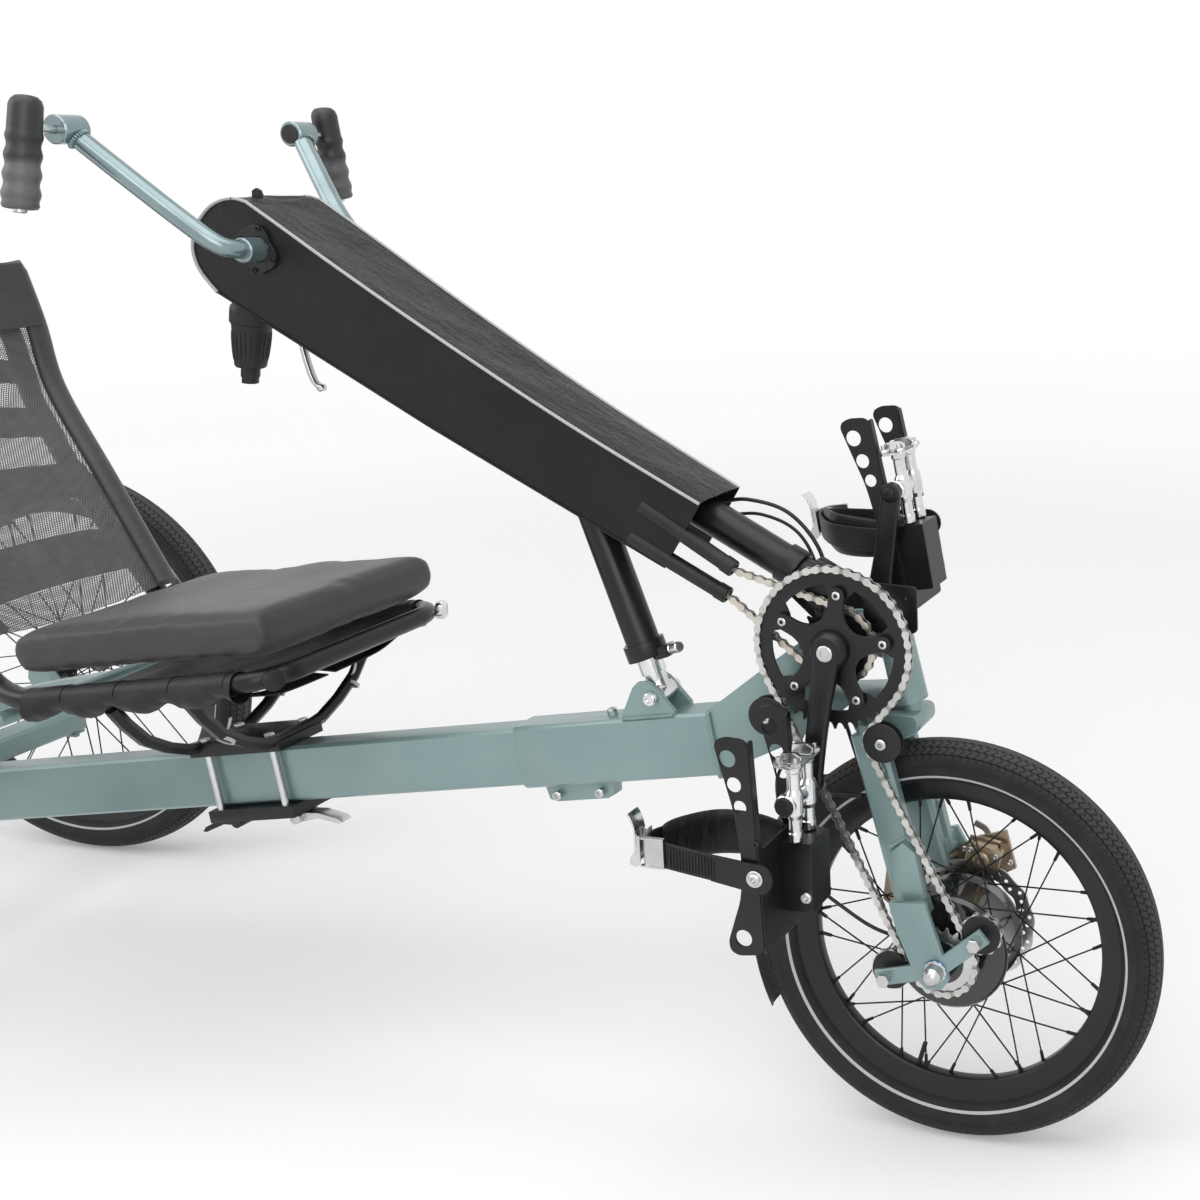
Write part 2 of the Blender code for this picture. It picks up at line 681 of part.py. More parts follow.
def front_axle(body):
    solids = [rod(FRONT_AXLE - Y_AXIS * 0.083, FRONT_AXLE + Y_AXIS * 0.083, 0.0060, 12, Z_AXIS)]
    for side in (-1, 1):
        nut = [(0.0735, 0.0), (0.0735, 0.0140), (0.0750, 0.0140), (0.0752, 0.0115),
               (0.0870, 0.0115), (0.0920, 0.0070), (0.0925, 0.0)]
        solids.append(turned(nut, FRONT_AXLE, Y_AXIS * side, 12))
        cone = FRONT_AXLE + Y_AXIS * 0.0560 * side
        end = FRONT_AXLE + Y_AXIS * 0.0665 * side
        solids.append(rod(cone, end, 0.0110, 12, Z_AXIS))
    make("front_axle", body, "bright_steel", solids)


# Mudguard: a thin arched blade behind the front tyre
def front_fender(body):
    radius = FRONT_TYRE_RADIUS + 0.0085
    path = arc_xz(FRONT_AXLE, radius, math.radians(138), math.radians(204), 9)
    section = [(-0.0240, 0.0030), (-0.0200, 0.0), (0.0200, 0.0), (0.0240, 0.0030),
               (0.0240, 0.0050), (0.0195, 0.0022), (-0.0195, 0.0022), (-0.0240, 0.0050)]
    blade = sweep(path, [(u, v - 0.001) for u, v in section])
    solids = [blade]
    for side in (-1, 1):
        start = FRONT_AXLE + Vector((-0.196, 0.0232 * side, 0.174))
        end = at(-0.1090, LEG_Y * side, 0.4400)
        solids.append(rod(start, end + X_AXIS * 0.008, 0.0030, 8))
    cut = []
    for side in (-1, 1):
        shift = Y_AXIS * LEG_Y * side
        cut.append(sweep([LEG_TOP + shift, LEG_FOOT + shift], rectangle(0.0186, 0.0406)))
    make("front_fender", body, "black_plastic", solids, cut)


# Two brake calipers on one carrier, each straddling the disc
def brake_calipers(body):
    solids = []
    carrier = [(-0.124, 0.258), (-0.092, 0.232), (-0.030, 0.290), (0.020, 0.300),
               (0.052, 0.318), (0.040, 0.366), (-0.004, 0.352), (-0.040, 0.322),
               (-0.118, 0.300)]
    solids.append(side_plate(carrier, at(0, 0.0615, 0), 0.0050))
    for x, z in ((0.018, 0.345), (-0.104, 0.278)):
        outward = Vector((x, 0, z - FRONT_AXLE_Z)).normalized()
        middle = FRONT_AXLE + outward * 0.0870 + Y_AXIS * 0.0495
        solids.append(caliper_body(middle, outward))
        solids.append(rod(middle + Y_AXIS * 0.010, middle + Y_AXIS * 0.0160, 0.0110, 12, Z_AXIS))
    slot = turned([(0.0440, 0.0), (0.0440, 0.0830), (0.0500, 0.0830), (0.0500, 0.0)],
                  FRONT_AXLE, Y_AXIS, 36)
    cuts = [slot]
    make("brake_calipers", body, "champagne_metal", solids, cuts)


# Block with cut corners, long round the disc, from wheel side to outer side
def caliper_body(middle, outward):
    along = outward.cross(Y_AXIS)
    outline = soft_rectangle(0.044, 0.034, 0.008)
    inner = plate(outline, middle, along, outward, 0.0250)
    return inner


# Foot crank

def foot_crank(body):
    chainring(body)
    crank_right(body)
    crank_left(body)


SPIDER_RADIUS = 0.065
SPIDER_PHASE = 0.169


def spider_angle(arm):
    return SPIDER_PHASE + arm * 2 * math.pi / 5


# Large chainring with five inner tabs, one bolt in each
def chainring(body):
    centre = BOTTOM_BRACKET + Y_AXIS * CHAIN_PLANE
    solids = [toothed_ring(BIG_TEETH, centre, 0.0025)]
    window = side_plate([(0.0735 * math.cos(a), 0.0735 * math.sin(a))
                         for a in steps_round(40)], centre, 0.012)
    ring = carve("ring_blank", solids, [window])
    blank = bmesh.new()
    blank.from_mesh(ring.data)
    bpy.data.objects.remove(ring, do_unlink=True)
    solids = [blank]
    for arm in range(5):
        angle = spider_angle(arm)
        outward = Vector((math.cos(angle), 0, math.sin(angle)))
        tab = centre + outward * (SPIDER_RADIUS + 0.004)
        solids.append(ring_tab(tab, outward))
        bolt = centre + outward * SPIDER_RADIUS
        solids.append(rod(bolt + Y_AXIS * 0.0030, bolt - Y_AXIS * 0.0078, 0.0046, 8, Z_AXIS))
    make("chainring", body, "black_paint", solids)


def ring_tab(centre, outward):
    across = outward.cross(Y_AXIS)
    outline = [(-0.012, -0.006), (-0.007, -0.010), (0.007, -0.010), (0.012, -0.006),
               (0.014, 0.010), (-0.014, 0.010)]
    return plate(outline, centre, across, outward, 0.00248)


# Five-arm spider and right crank arm in one forging, with the small ring inside
def crank_right(body):
    centre = BOTTOM_BRACKET + Y_AXIS * (CHAIN_PLANE - 0.0042)
    solids = [rod(centre + Y_AXIS * 0.002, centre - Y_AXIS * 0.0125, 0.0235, 20, Z_AXIS)]
    cuts = []
    for arm in range(5):
        angle = spider_angle(arm)
        outward = Vector((math.cos(angle), 0, math.sin(angle)))
        across = outward.cross(Y_AXIS)
        outline = [(-0.0135, 0.012), (-0.0085, 0.045), (-0.0085, 0.066), (-0.0050, 0.0725),
                   (0.0050, 0.0725), (0.0085, 0.066), (0.0085, 0.045), (0.0135, 0.012)]
        solids.append(plate(outline, centre, across, outward, 0.0050))
        bolt = centre + outward * SPIDER_RADIUS
        cuts.append(rod(bolt - Y_AXIS * 0.02, bolt + Y_AXIS * 0.02, 0.0049, 8, Z_AXIS))
    solids.append(crank_arm(-1))
    hub = BOTTOM_BRACKET + Y_AXIS * HAND_PLANE
    solids.append(toothed_ring(SMALL_TEETH, hub, 0.0022))
    solids.append(rod(hub + Y_AXIS * 0.0015, centre, 0.0300, 20, Z_AXIS))
    inside = rod(hub + Y_AXIS * 0.01, BOTTOM_BRACKET - Y_AXIS * 0.0620, 0.0088, 12, Z_AXIS)
    make("crank_right", body, "black_paint", solids, cuts + [inside, crank_eye(-1)])


# Crank arm: thick at the spindle, slimmer to the pedal eye, stepping outwards
def crank_arm(side):
    direction = CRANK_DIRECTION if side < 0 else -CRANK_DIRECTION
    stations = ((-0.004, 0.0640, 1.10), (0.030, 0.0680, 1.00), (0.080, 0.0735, 0.86),
                (0.130, 0.0760, 0.80), (CRANK_LENGTH, 0.0760, 0.86),
                (CRANK_LENGTH + 0.013, 0.0760, 0.55))
    path = []
    scales = []
    for along, lateral, scale in stations:
        path.append(BOTTOM_BRACKET + direction * along + Y_AXIS * lateral * side)
        scales.append(scale)
    return sweep(path, soft_rectangle(0.0135, 0.030, 0.0035), scales=scales)


def pedal_axle(side):
    direction = CRANK_DIRECTION if side < 0 else -CRANK_DIRECTION
    return BOTTOM_BRACKET + direction * CRANK_LENGTH


def crank_left(body):
    hub = BOTTOM_BRACKET
    solids = [rod(hub + Y_AXIS * 0.0540, hub + Y_AXIS * 0.0740, 0.0180, 16, Z_AXIS)]
    solids.append(crank_arm(1))
    solids.append(rod(hub - Y_AXIS * 0.0615, hub + Y_AXIS * 0.0600, 0.0085, 12, Z_AXIS))
    make("crank_left", body, "black_paint", solids, [crank_eye(1)])


# Hole for the pedal link's spindle, with room for it to turn
def crank_eye(side):
    axle = pedal_axle(side)
    return rod(axle + Y_AXIS * 0.060 * side, axle + Y_AXIS * 0.095 * side, 0.0056, 12, Z_AXIS)


# Rollers and sprocket

def roller(name, body):
    profile = [(-0.0055, 0.0034), (-0.0055, ROLLER_FLANGE - 0.0015), (-0.0045, ROLLER_FLANGE),
               (-0.0038, ROLLER_FLOOR), (0.0038, ROLLER_FLOOR), (0.0045, ROLLER_FLANGE),
               (0.0055, ROLLER_FLANGE - 0.0015), (0.0055, 0.0034)]
    make(name, body, "black_plastic", [turned(profile, ROLLERS[name], Y_AXIS, 20, ring=True)])


def hub_sprocket(body):
    centre = FRONT_AXLE + Y_AXIS * CHAIN_PLANE
    solids = [toothed_ring(HUB_TEETH, centre, 0.0025)]
    solids.append(rod(centre - Y_AXIS * 0.0022, centre + Y_AXIS * 0.0068, 0.0260, 18, Z_AXIS))
    bore = rod(centre - Y_AXIS * 0.02, centre + Y_AXIS * 0.02, 0.0120, 16, Z_AXIS)
    make("hub_sprocket", body, "bright_steel", solids, [bore])


# Chains

# Where a straight run leaves one round and meets the next. A round is its
# centre, its radius and +1 if the chain goes round it anticlockwise.
def tangent_points(start, end):
    (c1, r1, turn1), (c2, r2, turn2) = start, end
    line = Vector((c2.x - c1.x, c2.z - c1.z))
    distance = line.length
    base = math.atan2(line.y, line.x)
    lean = math.acos((turn1 * r1 - turn2 * r2) / distance)
    angle = base - lean
    offset = Vector((math.cos(angle), 0, math.sin(angle)))
    return c1 + offset * r1 * turn1, c2 + offset * r2 * turn2


# Corners of a chain round one wheel, set out so that the chain's flat links
# touch the wheel's round and never cut across it
def wrap(before, here, after, step=math.radians(15)):
    arrive = tangent_points(before, here)[1]
    leave = tangent_points(here, after)[0]
    centre, radius, turn = here
    first = math.atan2(arrive.z - centre.z, arrive.x - centre.x)
    last = math.atan2(leave.z - centre.z, leave.x - centre.x)
    span = (last - first) * turn % (2 * math.pi)
    pieces = max(1, round(span / step))
    reach = radius / math.cos(span / pieces / 2)
    points = []
    for piece in range(pieces):
        angle = first + turn * span * (piece + 0.5) / pieces
        points.append(centre + Vector((math.cos(angle), 0, math.sin(angle))) * reach)
    return points


def chain_band(rounds):
    path = []
    count = len(rounds)
    for index in range(count):
        path += wrap(rounds[index - 1], rounds[index], rounds[(index + 1) % count])
    section = rectangle(2 * CHAIN_HALF_WIDTH, CHAIN_THICKNESS)
    return sweep(path, section, loop=True)


def round_of(centre, teeth=None, turn=1):
    if teeth:
        radius = pitch_radius(teeth) + BAND_RISE + CHAIN_THICKNESS / 2
    else:
        radius = ROLLER_FLOOR + GAP + CHAIN_THICKNESS / 2
    return (centre, radius, turn)


def drive_chain(body):
    plane = Y_AXIS * CHAIN_PLANE
    rounds = [round_of(BOTTOM_BRACKET + plane, BIG_TEETH),
              round_of(ROLLERS["roller_upper_rear"], turn=-1),
              round_of(ROLLERS["roller_lower_rear"], turn=-1),
              round_of(FRONT_AXLE + plane, HUB_TEETH),
              round_of(ROLLERS["roller_lower_front"], turn=-1),
              round_of(ROLLERS["roller_upper_front"], turn=-1)]
    make("drive_chain", body, "chain_steel", [chain_band(rounds)])


# Places where the hand chain's two runs pass through their guide tubes
GUIDE_UPPER = (at(-0.330, HAND_PLANE, 0.7520), at(-0.247, HAND_PLANE, 0.7020))
GUIDE_LOWER = (at(-0.345, HAND_PLANE, 0.7160), at(-0.256, HAND_PLANE, 0.6700))


def hand_chain(body):
    plane = Y_AXIS * HAND_PLANE
    hand = round_of(HAND_AXIS + plane, HAND_TEETH)
    foot = round_of(BOTTOM_BRACKET + plane, SMALL_TEETH)
    make("hand_chain", body, "chain_steel", [guided_band(hand, foot)])


# A band round two wheels whose runs are led through fixed points
def guided_band(hand, foot):
    lower = [(GUIDE_LOWER[0], 0.0, 1), (GUIDE_LOWER[1], 0.0, 1)]
    upper = [(GUIDE_UPPER[1], 0.0, 1), (GUIDE_UPPER[0], 0.0, 1)]
    points = []
    points += wrap(upper[1], hand, lower[0])
    points += [lower[0][0], lower[1][0]]
    points += wrap(lower[1], foot, upper[0])
    points += [upper[0][0], upper[1][0]]
    section = rectangle(2 * CHAIN_HALF_WIDTH, CHAIN_THICKNESS)
    return sweep(points, section, loop=True)


# Pedals: a bent foot plate with side walls, on a bright link that turns on the crank

# Local place of a foot plate: forwards and up from the pedal's axis, outwards
# from the middle of the trike. The left plate leans back a little.
def on_pedal(side, forward, out, up):
    lean = math.radians(9) if side > 0 else 0.0
    x = forward * math.cos(lean) - up * math.sin(lean)
    z = forward * math.sin(lean) + up * math.cos(lean)
    return pedal_axle(side) + Vector((x, out * side, z))


# A plate of a pedal, its outline given forwards and up from the pedal's axis
def pedal_outline(side, points, out, thickness):
    origin = on_pedal(side, 0, out, 0)
    u_axis = on_pedal(side, 1, out, 0) - origin
    v_axis = on_pedal(side, 0, out, 1) - origin
    return plate(points, origin, u_axis, v_axis, thickness)


WALL_IN = 0.0885
WALL_OUT = 0.1815
WALL_OUTLINE = [(-0.0575, 0.0830), (-0.0545, 0.0900), (-0.0445, 0.0940), (-0.0180, 0.0925),
                (-0.0075, -0.1540), (-0.0390, -0.1580), (-0.0480, -0.1530),
                (-0.0500, -0.1420), (-0.0330, -0.0900), (-0.0305, -0.0450),
                (-0.0375, 0.0100)]
WALL_HOLES = ((-0.0425, 0.0690, 0.0095), (-0.0360, 0.0400, 0.0085), (-0.0300, 0.0150, 0.0075),
              (-0.0320, -0.1370, 0.0095))


def foot_plate(side, body):
    name = "left" if side > 0 else "right"
    sole = [(-0.0200, 0.0920), (-0.0170, 0.0920), (-0.0055, -0.1540), (-0.0085, -0.1540)]
    middle = (WALL_IN + WALL_OUT) / 2
    solids = [pedal_outline(side, sole, middle, WALL_OUT - WALL_IN)]
    cuts = []
    for out in (WALL_IN, WALL_OUT):
        solids.append(pedal_outline(side, WALL_OUTLINE, out, 0.003))
        for forward, up, radius in WALL_HOLES:
            start = on_pedal(side, forward, out - 0.004, up)
            end = on_pedal(side, forward, out + 0.004, up)
            cuts.append(rod(start, end, radius, 10, Z_AXIS))
    channel = [(-0.0115, -0.0450), (0.0260, -0.0450), (0.0260, -0.1270), (-0.0075, -0.1270)]
    solids.append(pedal_outline(side, channel, 0.112, 0.044))
    hollow = [(-0.0050, -0.0400), (0.0232, -0.0400), (0.0232, -0.1320), (-0.0030, -0.1320)]
    cuts.append(pedal_outline(side, hollow, 0.112, 0.0384))
    start = on_pedal(side, 0.0190, 0.132, -0.1080)
    end = on_pedal(side, 0.0190, 0.146, -0.1080)
    solids.append(rod(start, end, 0.0060, 6, Z_AXIS))
    start = on_pedal(side, -0.0130, WALL_OUT, -0.0630)
    end = on_pedal(side, -0.0130, WALL_OUT + 0.0080, -0.0630)
    solids.append(rod(start, end, 0.0040, 8, Z_AXIS))
    make("foot_plate_" + name, body, "black_paint", solids, cuts)


def pedal_link(side, body):
    name = "left" if side > 0 else "right"
    solids = [rod(on_pedal(side, 0, 0.0840, 0), on_pedal(side, 0, 0.1420, 0), 0.0122, 14, Z_AXIS)]
    solids.append(rod(on_pedal(side, 0, 0.0700, 0), on_pedal(side, 0, 0.0900, 0), 0.0050, 10,
                      Z_AXIS))
    for out in (0.0985, 0.1300):
        solids.append(rod(on_pedal(side, 0.0060, out, -0.0440), on_pedal(side, 0.0060, out, 0.0520),
                          0.0082, 10, Y_AXIS))
    head = [(-0.0137, 0.0400), (0.0180, 0.0420), (0.0180, 0.0480), (0.0060, 0.0560),
            (-0.0145, 0.0560)]
    solids.append(pedal_outline(side, head, 0.1140, 0.048))
    make("pedal_link_" + name, body, "chrome", solids)


def strap_path(side):
    route = ((-0.0200, 0.0925), (-0.0600, 0.0940), (-0.1020, 0.1080), (-0.1320, 0.1400),
             (-0.1460, 0.1680), (-0.1380, 0.1830), (-0.1100, 0.1856), (-0.0600, 0.1856),
             (-0.0060, 0.1856))
    points = []
    for forward, out in route:
        rise = -0.0630 - (forward + 0.013) * 0.135
        points.append(on_pedal(side, forward, out, rise))
    return points


def foot_strap(side, body):
    name = "left" if side > 0 else "right"
    up = on_pedal(side, 0, 0, 1) - on_pedal(side, 0, 0, 0)
    path = strap_path(side)
    strap = sweep(path, rectangle(0.030, 0.0032), hint=up)
    start = on_pedal(side, -0.0130, WALL_OUT - 0.002, -0.0630)
    end = on_pedal(side, -0.0130, WALL_OUT + 0.012, -0.0630)
    bolt = rod(start, end, 0.0044, 8, Z_AXIS)
    make("foot_strap_" + name, body, "strap_webbing", [strap], [bolt])


def buckle_place(side):
    return on_pedal(side, -0.1555, 0.1740, -0.0440)


def buckle_hinge(side):
    return on_pedal(side, -0.1580, 0.1740, -0.0600)


# Ratchet lever of the strap's buckle, upright behind the strap
def buckle_lever(side, body):
    name = "left" if side > 0 else "right"
    outline = [(-0.0060, -0.0200), (0.0010, -0.0200), (0.0010, 0.0180), (-0.0020, 0.0330),
               (-0.0080, 0.0400), (-0.0095, 0.0360), (-0.0050, 0.0200)]
    origin = buckle_place(side)
    u_axis = on_pedal(side, 1, 0, 0) - on_pedal(side, 0, 0, 0)
    v_axis = on_pedal(side, 0, 0, 1) - on_pedal(side, 0, 0, 0)
    solids = [plate(outline, origin, u_axis, v_axis, 0.020)]
    make("buckle_lever_" + name, body, "chrome", solids)


# Mast

# A place by its distance up the mast, its rise above the mast's middle line and its side
def on_mast(along, rise=0.0, side=0.0):
    return MAST_ROOT + MAST_AXIS * along + MAST_UP * rise + Y_AXIS * side


MAST_RADIUS = 0.0205
MAST_START = 0.0905
MAST_END = 0.870


def mast_yoke(body):
    solids = []
    cuts = []
    for side in (-1, 1):
        middle = Y_AXIS * 0.0285 * side
        centre = BOTTOM_BRACKET + middle
        solids.append(rod(centre - Y_AXIS * 0.004, centre + Y_AXIS * 0.004, 0.0290, 20, Z_AXIS))
        outline = [(0.010, -0.055), (0.022, -0.030), (0.084, -0.015), (0.084, 0.015),
                   (0.050, 0.015), (0.000, -0.010)]
        solids.append(plate(outline, on_mast(0) + middle, MAST_AXIS, MAST_UP, 0.008))
    solids.append(block(on_mast(0.067), (0.034, 0.0640, 0.029), MAST_AXIS, MAST_UP))
    solids.append(rod(on_mast(0.055), on_mast(0.0898), 0.0190, 16))
    centre = BOTTOM_BRACKET
    cuts.append(rod(centre - Y_AXIS * 0.05, centre + Y_AXIS * 0.05, BB_SHELL_RADIUS + 0.0005, 20,
                    Z_AXIS))
    cuts.append(rod(on_mast(0.052), on_mast(0.12), 0.0106, 16))
    make("mast_yoke", body, "black_paint", solids, cuts)


# Middle line of the handle stem that hangs from the mast's top
def stem_path():
    return smooth_path([on_mast(0.850, -0.010), at(-0.902, 0, 1.035), at(-0.914, 0, 0.990),
                        at(-0.928, 0, 0.889)], 3)


# Mast tube with its turning pin, the crank's bearing barrel and the handle stem
def mast_tube(body):
    solids = [rod(on_mast(MAST_START), on_mast(MAST_END), MAST_RADIUS, 16)]
    solids.append(rod(on_mast(0.056), on_mast(0.100), 0.0100, 16))
    solids.append(rod(on_mast(MAST_START), on_mast(0.112), 0.0240, 20))
    solids.append(rod(HAND_AXIS - Y_AXIS * 0.034, HAND_AXIS + Y_AXIS * 0.034, 0.0185, 20, Z_AXIS))
    solids.append(sweep(stem_path(), circle(0.0095, 12)))
    perch = [(-0.868, 1.050), (-0.864, 0.985), (-0.853, 0.981), (-0.843, 0.987), (-0.838, 1.040)]
    solids.append(side_plate(perch, at(0, 0.0060, 0), 0.0060))
    pin = at(-0.853, 0, 0.992)
    solids.append(rod(pin + Y_AXIS * 0.006, pin - Y_AXIS * 0.0045, 0.0024, 10, Z_AXIS))
    cuts = [rod(on_mast(0.130), on_mast(0.95), MAST_RADIUS - 0.0030, 12)]
    cuts.append(rod(HAND_AXIS - Y_AXIS * 0.05, HAND_AXIS + Y_AXIS * 0.05, 0.0106, 16, Z_AXIS))
    make("mast_tube", body, "black_paint", solids, cuts)


# Two short tubes that lead the hand chain, joined by a web on the mast's side
def chain_guides(body):
    solids = []
    cuts = []
    for start, end in (GUIDE_UPPER, GUIDE_LOWER):
        along = (end - start).normalized()
        first = start + along * 0.008
        last = end - along * 0.004
        solids.append(rod(first, last, 0.0092, 12))
        cuts.append(rod(start - along * 0.02, end + along * 0.02, 0.0064, 10))
    web = [(-0.322, 0.746), (-0.322, 0.706), (-0.296, 0.693), (-0.296, 0.730)]
    solids.append(side_plate(web, at(0, HAND_PLANE, 0), 0.005))
    foot = [(-0.322, 0.764), (-0.322, 0.716), (-0.296, 0.703), (-0.296, 0.750)]
    solids.append(side_plate(foot, at(0, -0.0300, 0), 0.016))
    cuts.append(rod(on_mast(0.05), on_mast(0.6), MAST_RADIUS + GAP, 20))
    make("chain_guides", body, "black_plastic", solids, cuts)


# Soft cover over the mast: a round-ended channel, open below and at its front
COVER_TOP = [(-0.2890, 0.7800), (-0.4670, 0.8770), (-0.6560, 0.9905), (-0.8300, 1.1010),
             (-0.8600, 1.1180), (-0.8850, 1.1190), (-0.9090, 1.1080), (-0.9280, 1.0860),
             (-0.9360, 1.0600), (-0.9290, 1.0340), (-0.9070, 1.0080)]
COVER_LOWER = [(-0.6270, 0.8560), (-0.3370, 0.7020)]
COVER_HALF = 0.055
COVER_WALL = 0.0018


def mast_cover(body):
    origin = at(0, 0, 0)
    solids = [side_plate(COVER_TOP + COVER_LOWER, origin, 2 * COVER_HALF)]
    inner = []
    centre = Vector((-0.860, 1.062))
    for index, (x, z) in enumerate(COVER_TOP):
        point = Vector((x, z))
        if x > -0.845:
            inner.append((x + 0.0009, z - 0.0021))
        else:
            toward = (centre - point).normalized() * COVER_WALL
            inner.append(tuple(point + toward))
    inner[0] = (inner[0][0] + 0.060, inner[0][1] - 0.0333)
    inner[-1] = (-0.9050, 1.0060)
    inner += [(-0.8960, 0.9600), (-0.2600, 0.6200)]
    cuts = [side_plate(inner, origin, 2 * (COVER_HALF - COVER_WALL))]
    hub = HAND_AXIS
    cuts.append(rod(hub - Y_AXIS * 0.08, hub + Y_AXIS * 0.08, 0.0160, 12, Z_AXIS))
    cuts.append(block(at(-0.912, 0, 1.020), (0.034, 0.024, 0.060)))
    make("mast_cover", body, "cover_vinyl", solids, cuts)


def hand_axle(body):
    hub = HAND_AXIS
    solids = [rod(hub - Y_AXIS * 0.0790, hub + Y_AXIS * 0.0790, 0.0100, 14, Z_AXIS)]
    ring = hub + Y_AXIS * HAND_PLANE
    solids.append(toothed_ring(HAND_TEETH, ring, 0.0022))
    solids.append(rod(ring + Y_AXIS * 0.0050, ring - Y_AXIS * 0.0020, 0.0170, 16, Z_AXIS))
    make("hand_axle", body, "bright_steel", solids)


HAND_BOSS = at(-0.976, 0, 1.1980)


def hand_crank(side, body):
    name = "left" if side > 0 else "right"
    hub = HAND_AXIS
    turn = [hub + Y_AXIS * 0.0600, at(-0.8440, 0.0860, 1.0630), at(-0.8560, 0.1030, 1.0720),
            at(-0.8960, 0.1200, 1.1100), at(-0.9740, 0.1600, 1.1960)]
    path = smooth_path(to_side(turn, side), 2)
    solids = [sweep(path, circle(0.0110, 10), Z_AXIS)]
    solids.append(rod(hub + Y_AXIS * 0.0570 * side, hub + Y_AXIS * 0.0800 * side, 0.0138, 16,
                      Z_AXIS))
    boss = HAND_BOSS
    solids.append(rod(boss + Y_AXIS * 0.1480 * side, boss + Y_AXIS * 0.1760 * side, 0.0165, 16,
                      Z_AXIS))
    solids.append(rod(boss + Y_AXIS * 0.1600 * side, boss + Y_AXIS * 0.2085 * side, 0.0050, 10,
                      Z_AXIS))
    bore = rod(hub + Y_AXIS * 0.0400 * side, hub + Y_AXIS * 0.0795 * side, 0.0103, 14, Z_AXIS)
    make("hand_crank_" + name, body, "teal_paint", solids, [bore])


# Hand grip with finger waves, hung on the crank's pin below its top
def hand_grip(side, body):
    name = "left" if side > 0 else "right"
    top = at(-0.9750, 0.2035 * side, 1.2340)
    foot = at(-0.9780, 0.2225 * side, 1.1120)
    axis = (foot - top).normalized()
    length = (foot - top).length
    profile = [(0.0, 0.0), (0.0, 0.0080), (0.0060, 0.0140), (0.0200, 0.0160),
               (0.0440, 0.0152), (0.0530, 0.0162), (0.0640, 0.0150), (0.0740, 0.0164),
               (0.0850, 0.0152), (0.0950, 0.0168), (length - 0.004, 0.0172),
               (length, 0.0150), (length + 0.004, 0.0090), (length + 0.005, 0.0)]
    solids = [turned(profile, top, axis, 10)]
    boss = HAND_BOSS
    bore = rod(boss + Y_AXIS * 0.17 * side, boss + Y_AXIS * 0.2100 * side, 0.0057, 12, Z_AXIS)
    make("grip_" + name, body, "grip_rubber", solids, [bore])


LEVER_PIN = at(-0.853, 0, 0.992)


def brake_lever(body):
    outline = [(-0.8600, 0.9960), (-0.8560, 0.9995), (-0.8490, 0.9990), (-0.8450, 0.9940),
               (-0.8390, 0.9420), (-0.8300, 0.8960), (-0.8210, 0.8880), (-0.8230, 0.8840),
               (-0.8360, 0.8890), (-0.8460, 0.9400), (-0.8540, 0.9850)]
    solids = [side_plate(outline, at(0, -0.0002, 0), 0.0050)]
    pin = rod(LEVER_PIN - Y_AXIS * 0.01, LEVER_PIN + Y_AXIS * 0.01, 0.0030, 10, Z_AXIS)
    make("brake_lever", body, "bright_steel", solids, [pin])


SHIFTER_TOP = at(-0.9135, 0, 0.9900)
SHIFTER_END = at(-0.9270, 0, 0.8960)


def twist_shifter(body):
    axis = (SHIFTER_END - SHIFTER_TOP).normalized()
    profile = [(0.0, 0.0180), (0.004, 0.0235), (0.026, 0.0240), (0.030, 0.0215),
               (0.060, 0.0190), (0.078, 0.0175), (0.082, 0.0160)]
    solid = turned(profile, SHIFTER_TOP, axis, 16)
    cut = sweep(stem_path(), circle(0.0106, 12))
    make("twist_shifter", body, "black_plastic", [solid], [cut])


# Strut that holds the mast up: a pivoting foot, a sliding tube and a quick lever

def on_strut(along):
    return STRUT_PIVOT + STRUT_AXIS * along


def strut_lower(body):
    pivot = STRUT_PIVOT
    solids = [rod(pivot - Y_AXIS * 0.0138, pivot + Y_AXIS * 0.0138, 0.0130, 16, Z_AXIS)]
    solids.append(rod(pivot - Y_AXIS * 0.0250, pivot + Y_AXIS * 0.0250, 0.0041, 10, Z_AXIS))
    for side in (-1, 1):
        head = pivot + Y_AXIS * 0.0212 * side
        solids.append(rod(head, head + Y_AXIS * 0.0050 * side, 0.0085, 8, Z_AXIS))
    solids.append(rod(on_strut(0.004), on_strut(0.030), 0.0125, 14))
    solids.append(rod(on_strut(0.026), on_strut(0.200), 0.0148, 16))
    make("strut_lower", body, "chrome", solids)


def strut_upper(body):
    solids = [rod(on_strut(0.048), on_strut(STRUT_LENGTH - 0.020), 0.0195, 18)]
    solids.append(rod(on_strut(0.046), on_strut(0.066), 0.0240, 18))
    lug = on_strut(0.056)
    solids.append(block(lug + X_AXIS * 0.026, (0.016, 0.020, 0.014), STRUT_SIDE, STRUT_AXIS))
    top = on_strut(STRUT_LENGTH)
    saddle = rod(top - MAST_AXIS * 0.015, top + MAST_AXIS * 0.015, 0.0310, 20)
    solids.append(saddle)
    cuts = [rod(on_strut(0.0), on_strut(0.290), 0.0153, 16)]
    cuts.append(rod(top - MAST_AXIS * 0.09, top + MAST_AXIS * 0.05, MAST_RADIUS + 0.0035, 20))
    cuts.append(block(top + MAST_UP * 0.030, (0.12, 0.10, 0.060), MAST_AXIS, MAST_UP))
    make("strut_upper", body, "black_paint", solids, cuts)


STRUT_SIDE = Vector((STRUT_AXIS.z, 0, -STRUT_AXIS.x))


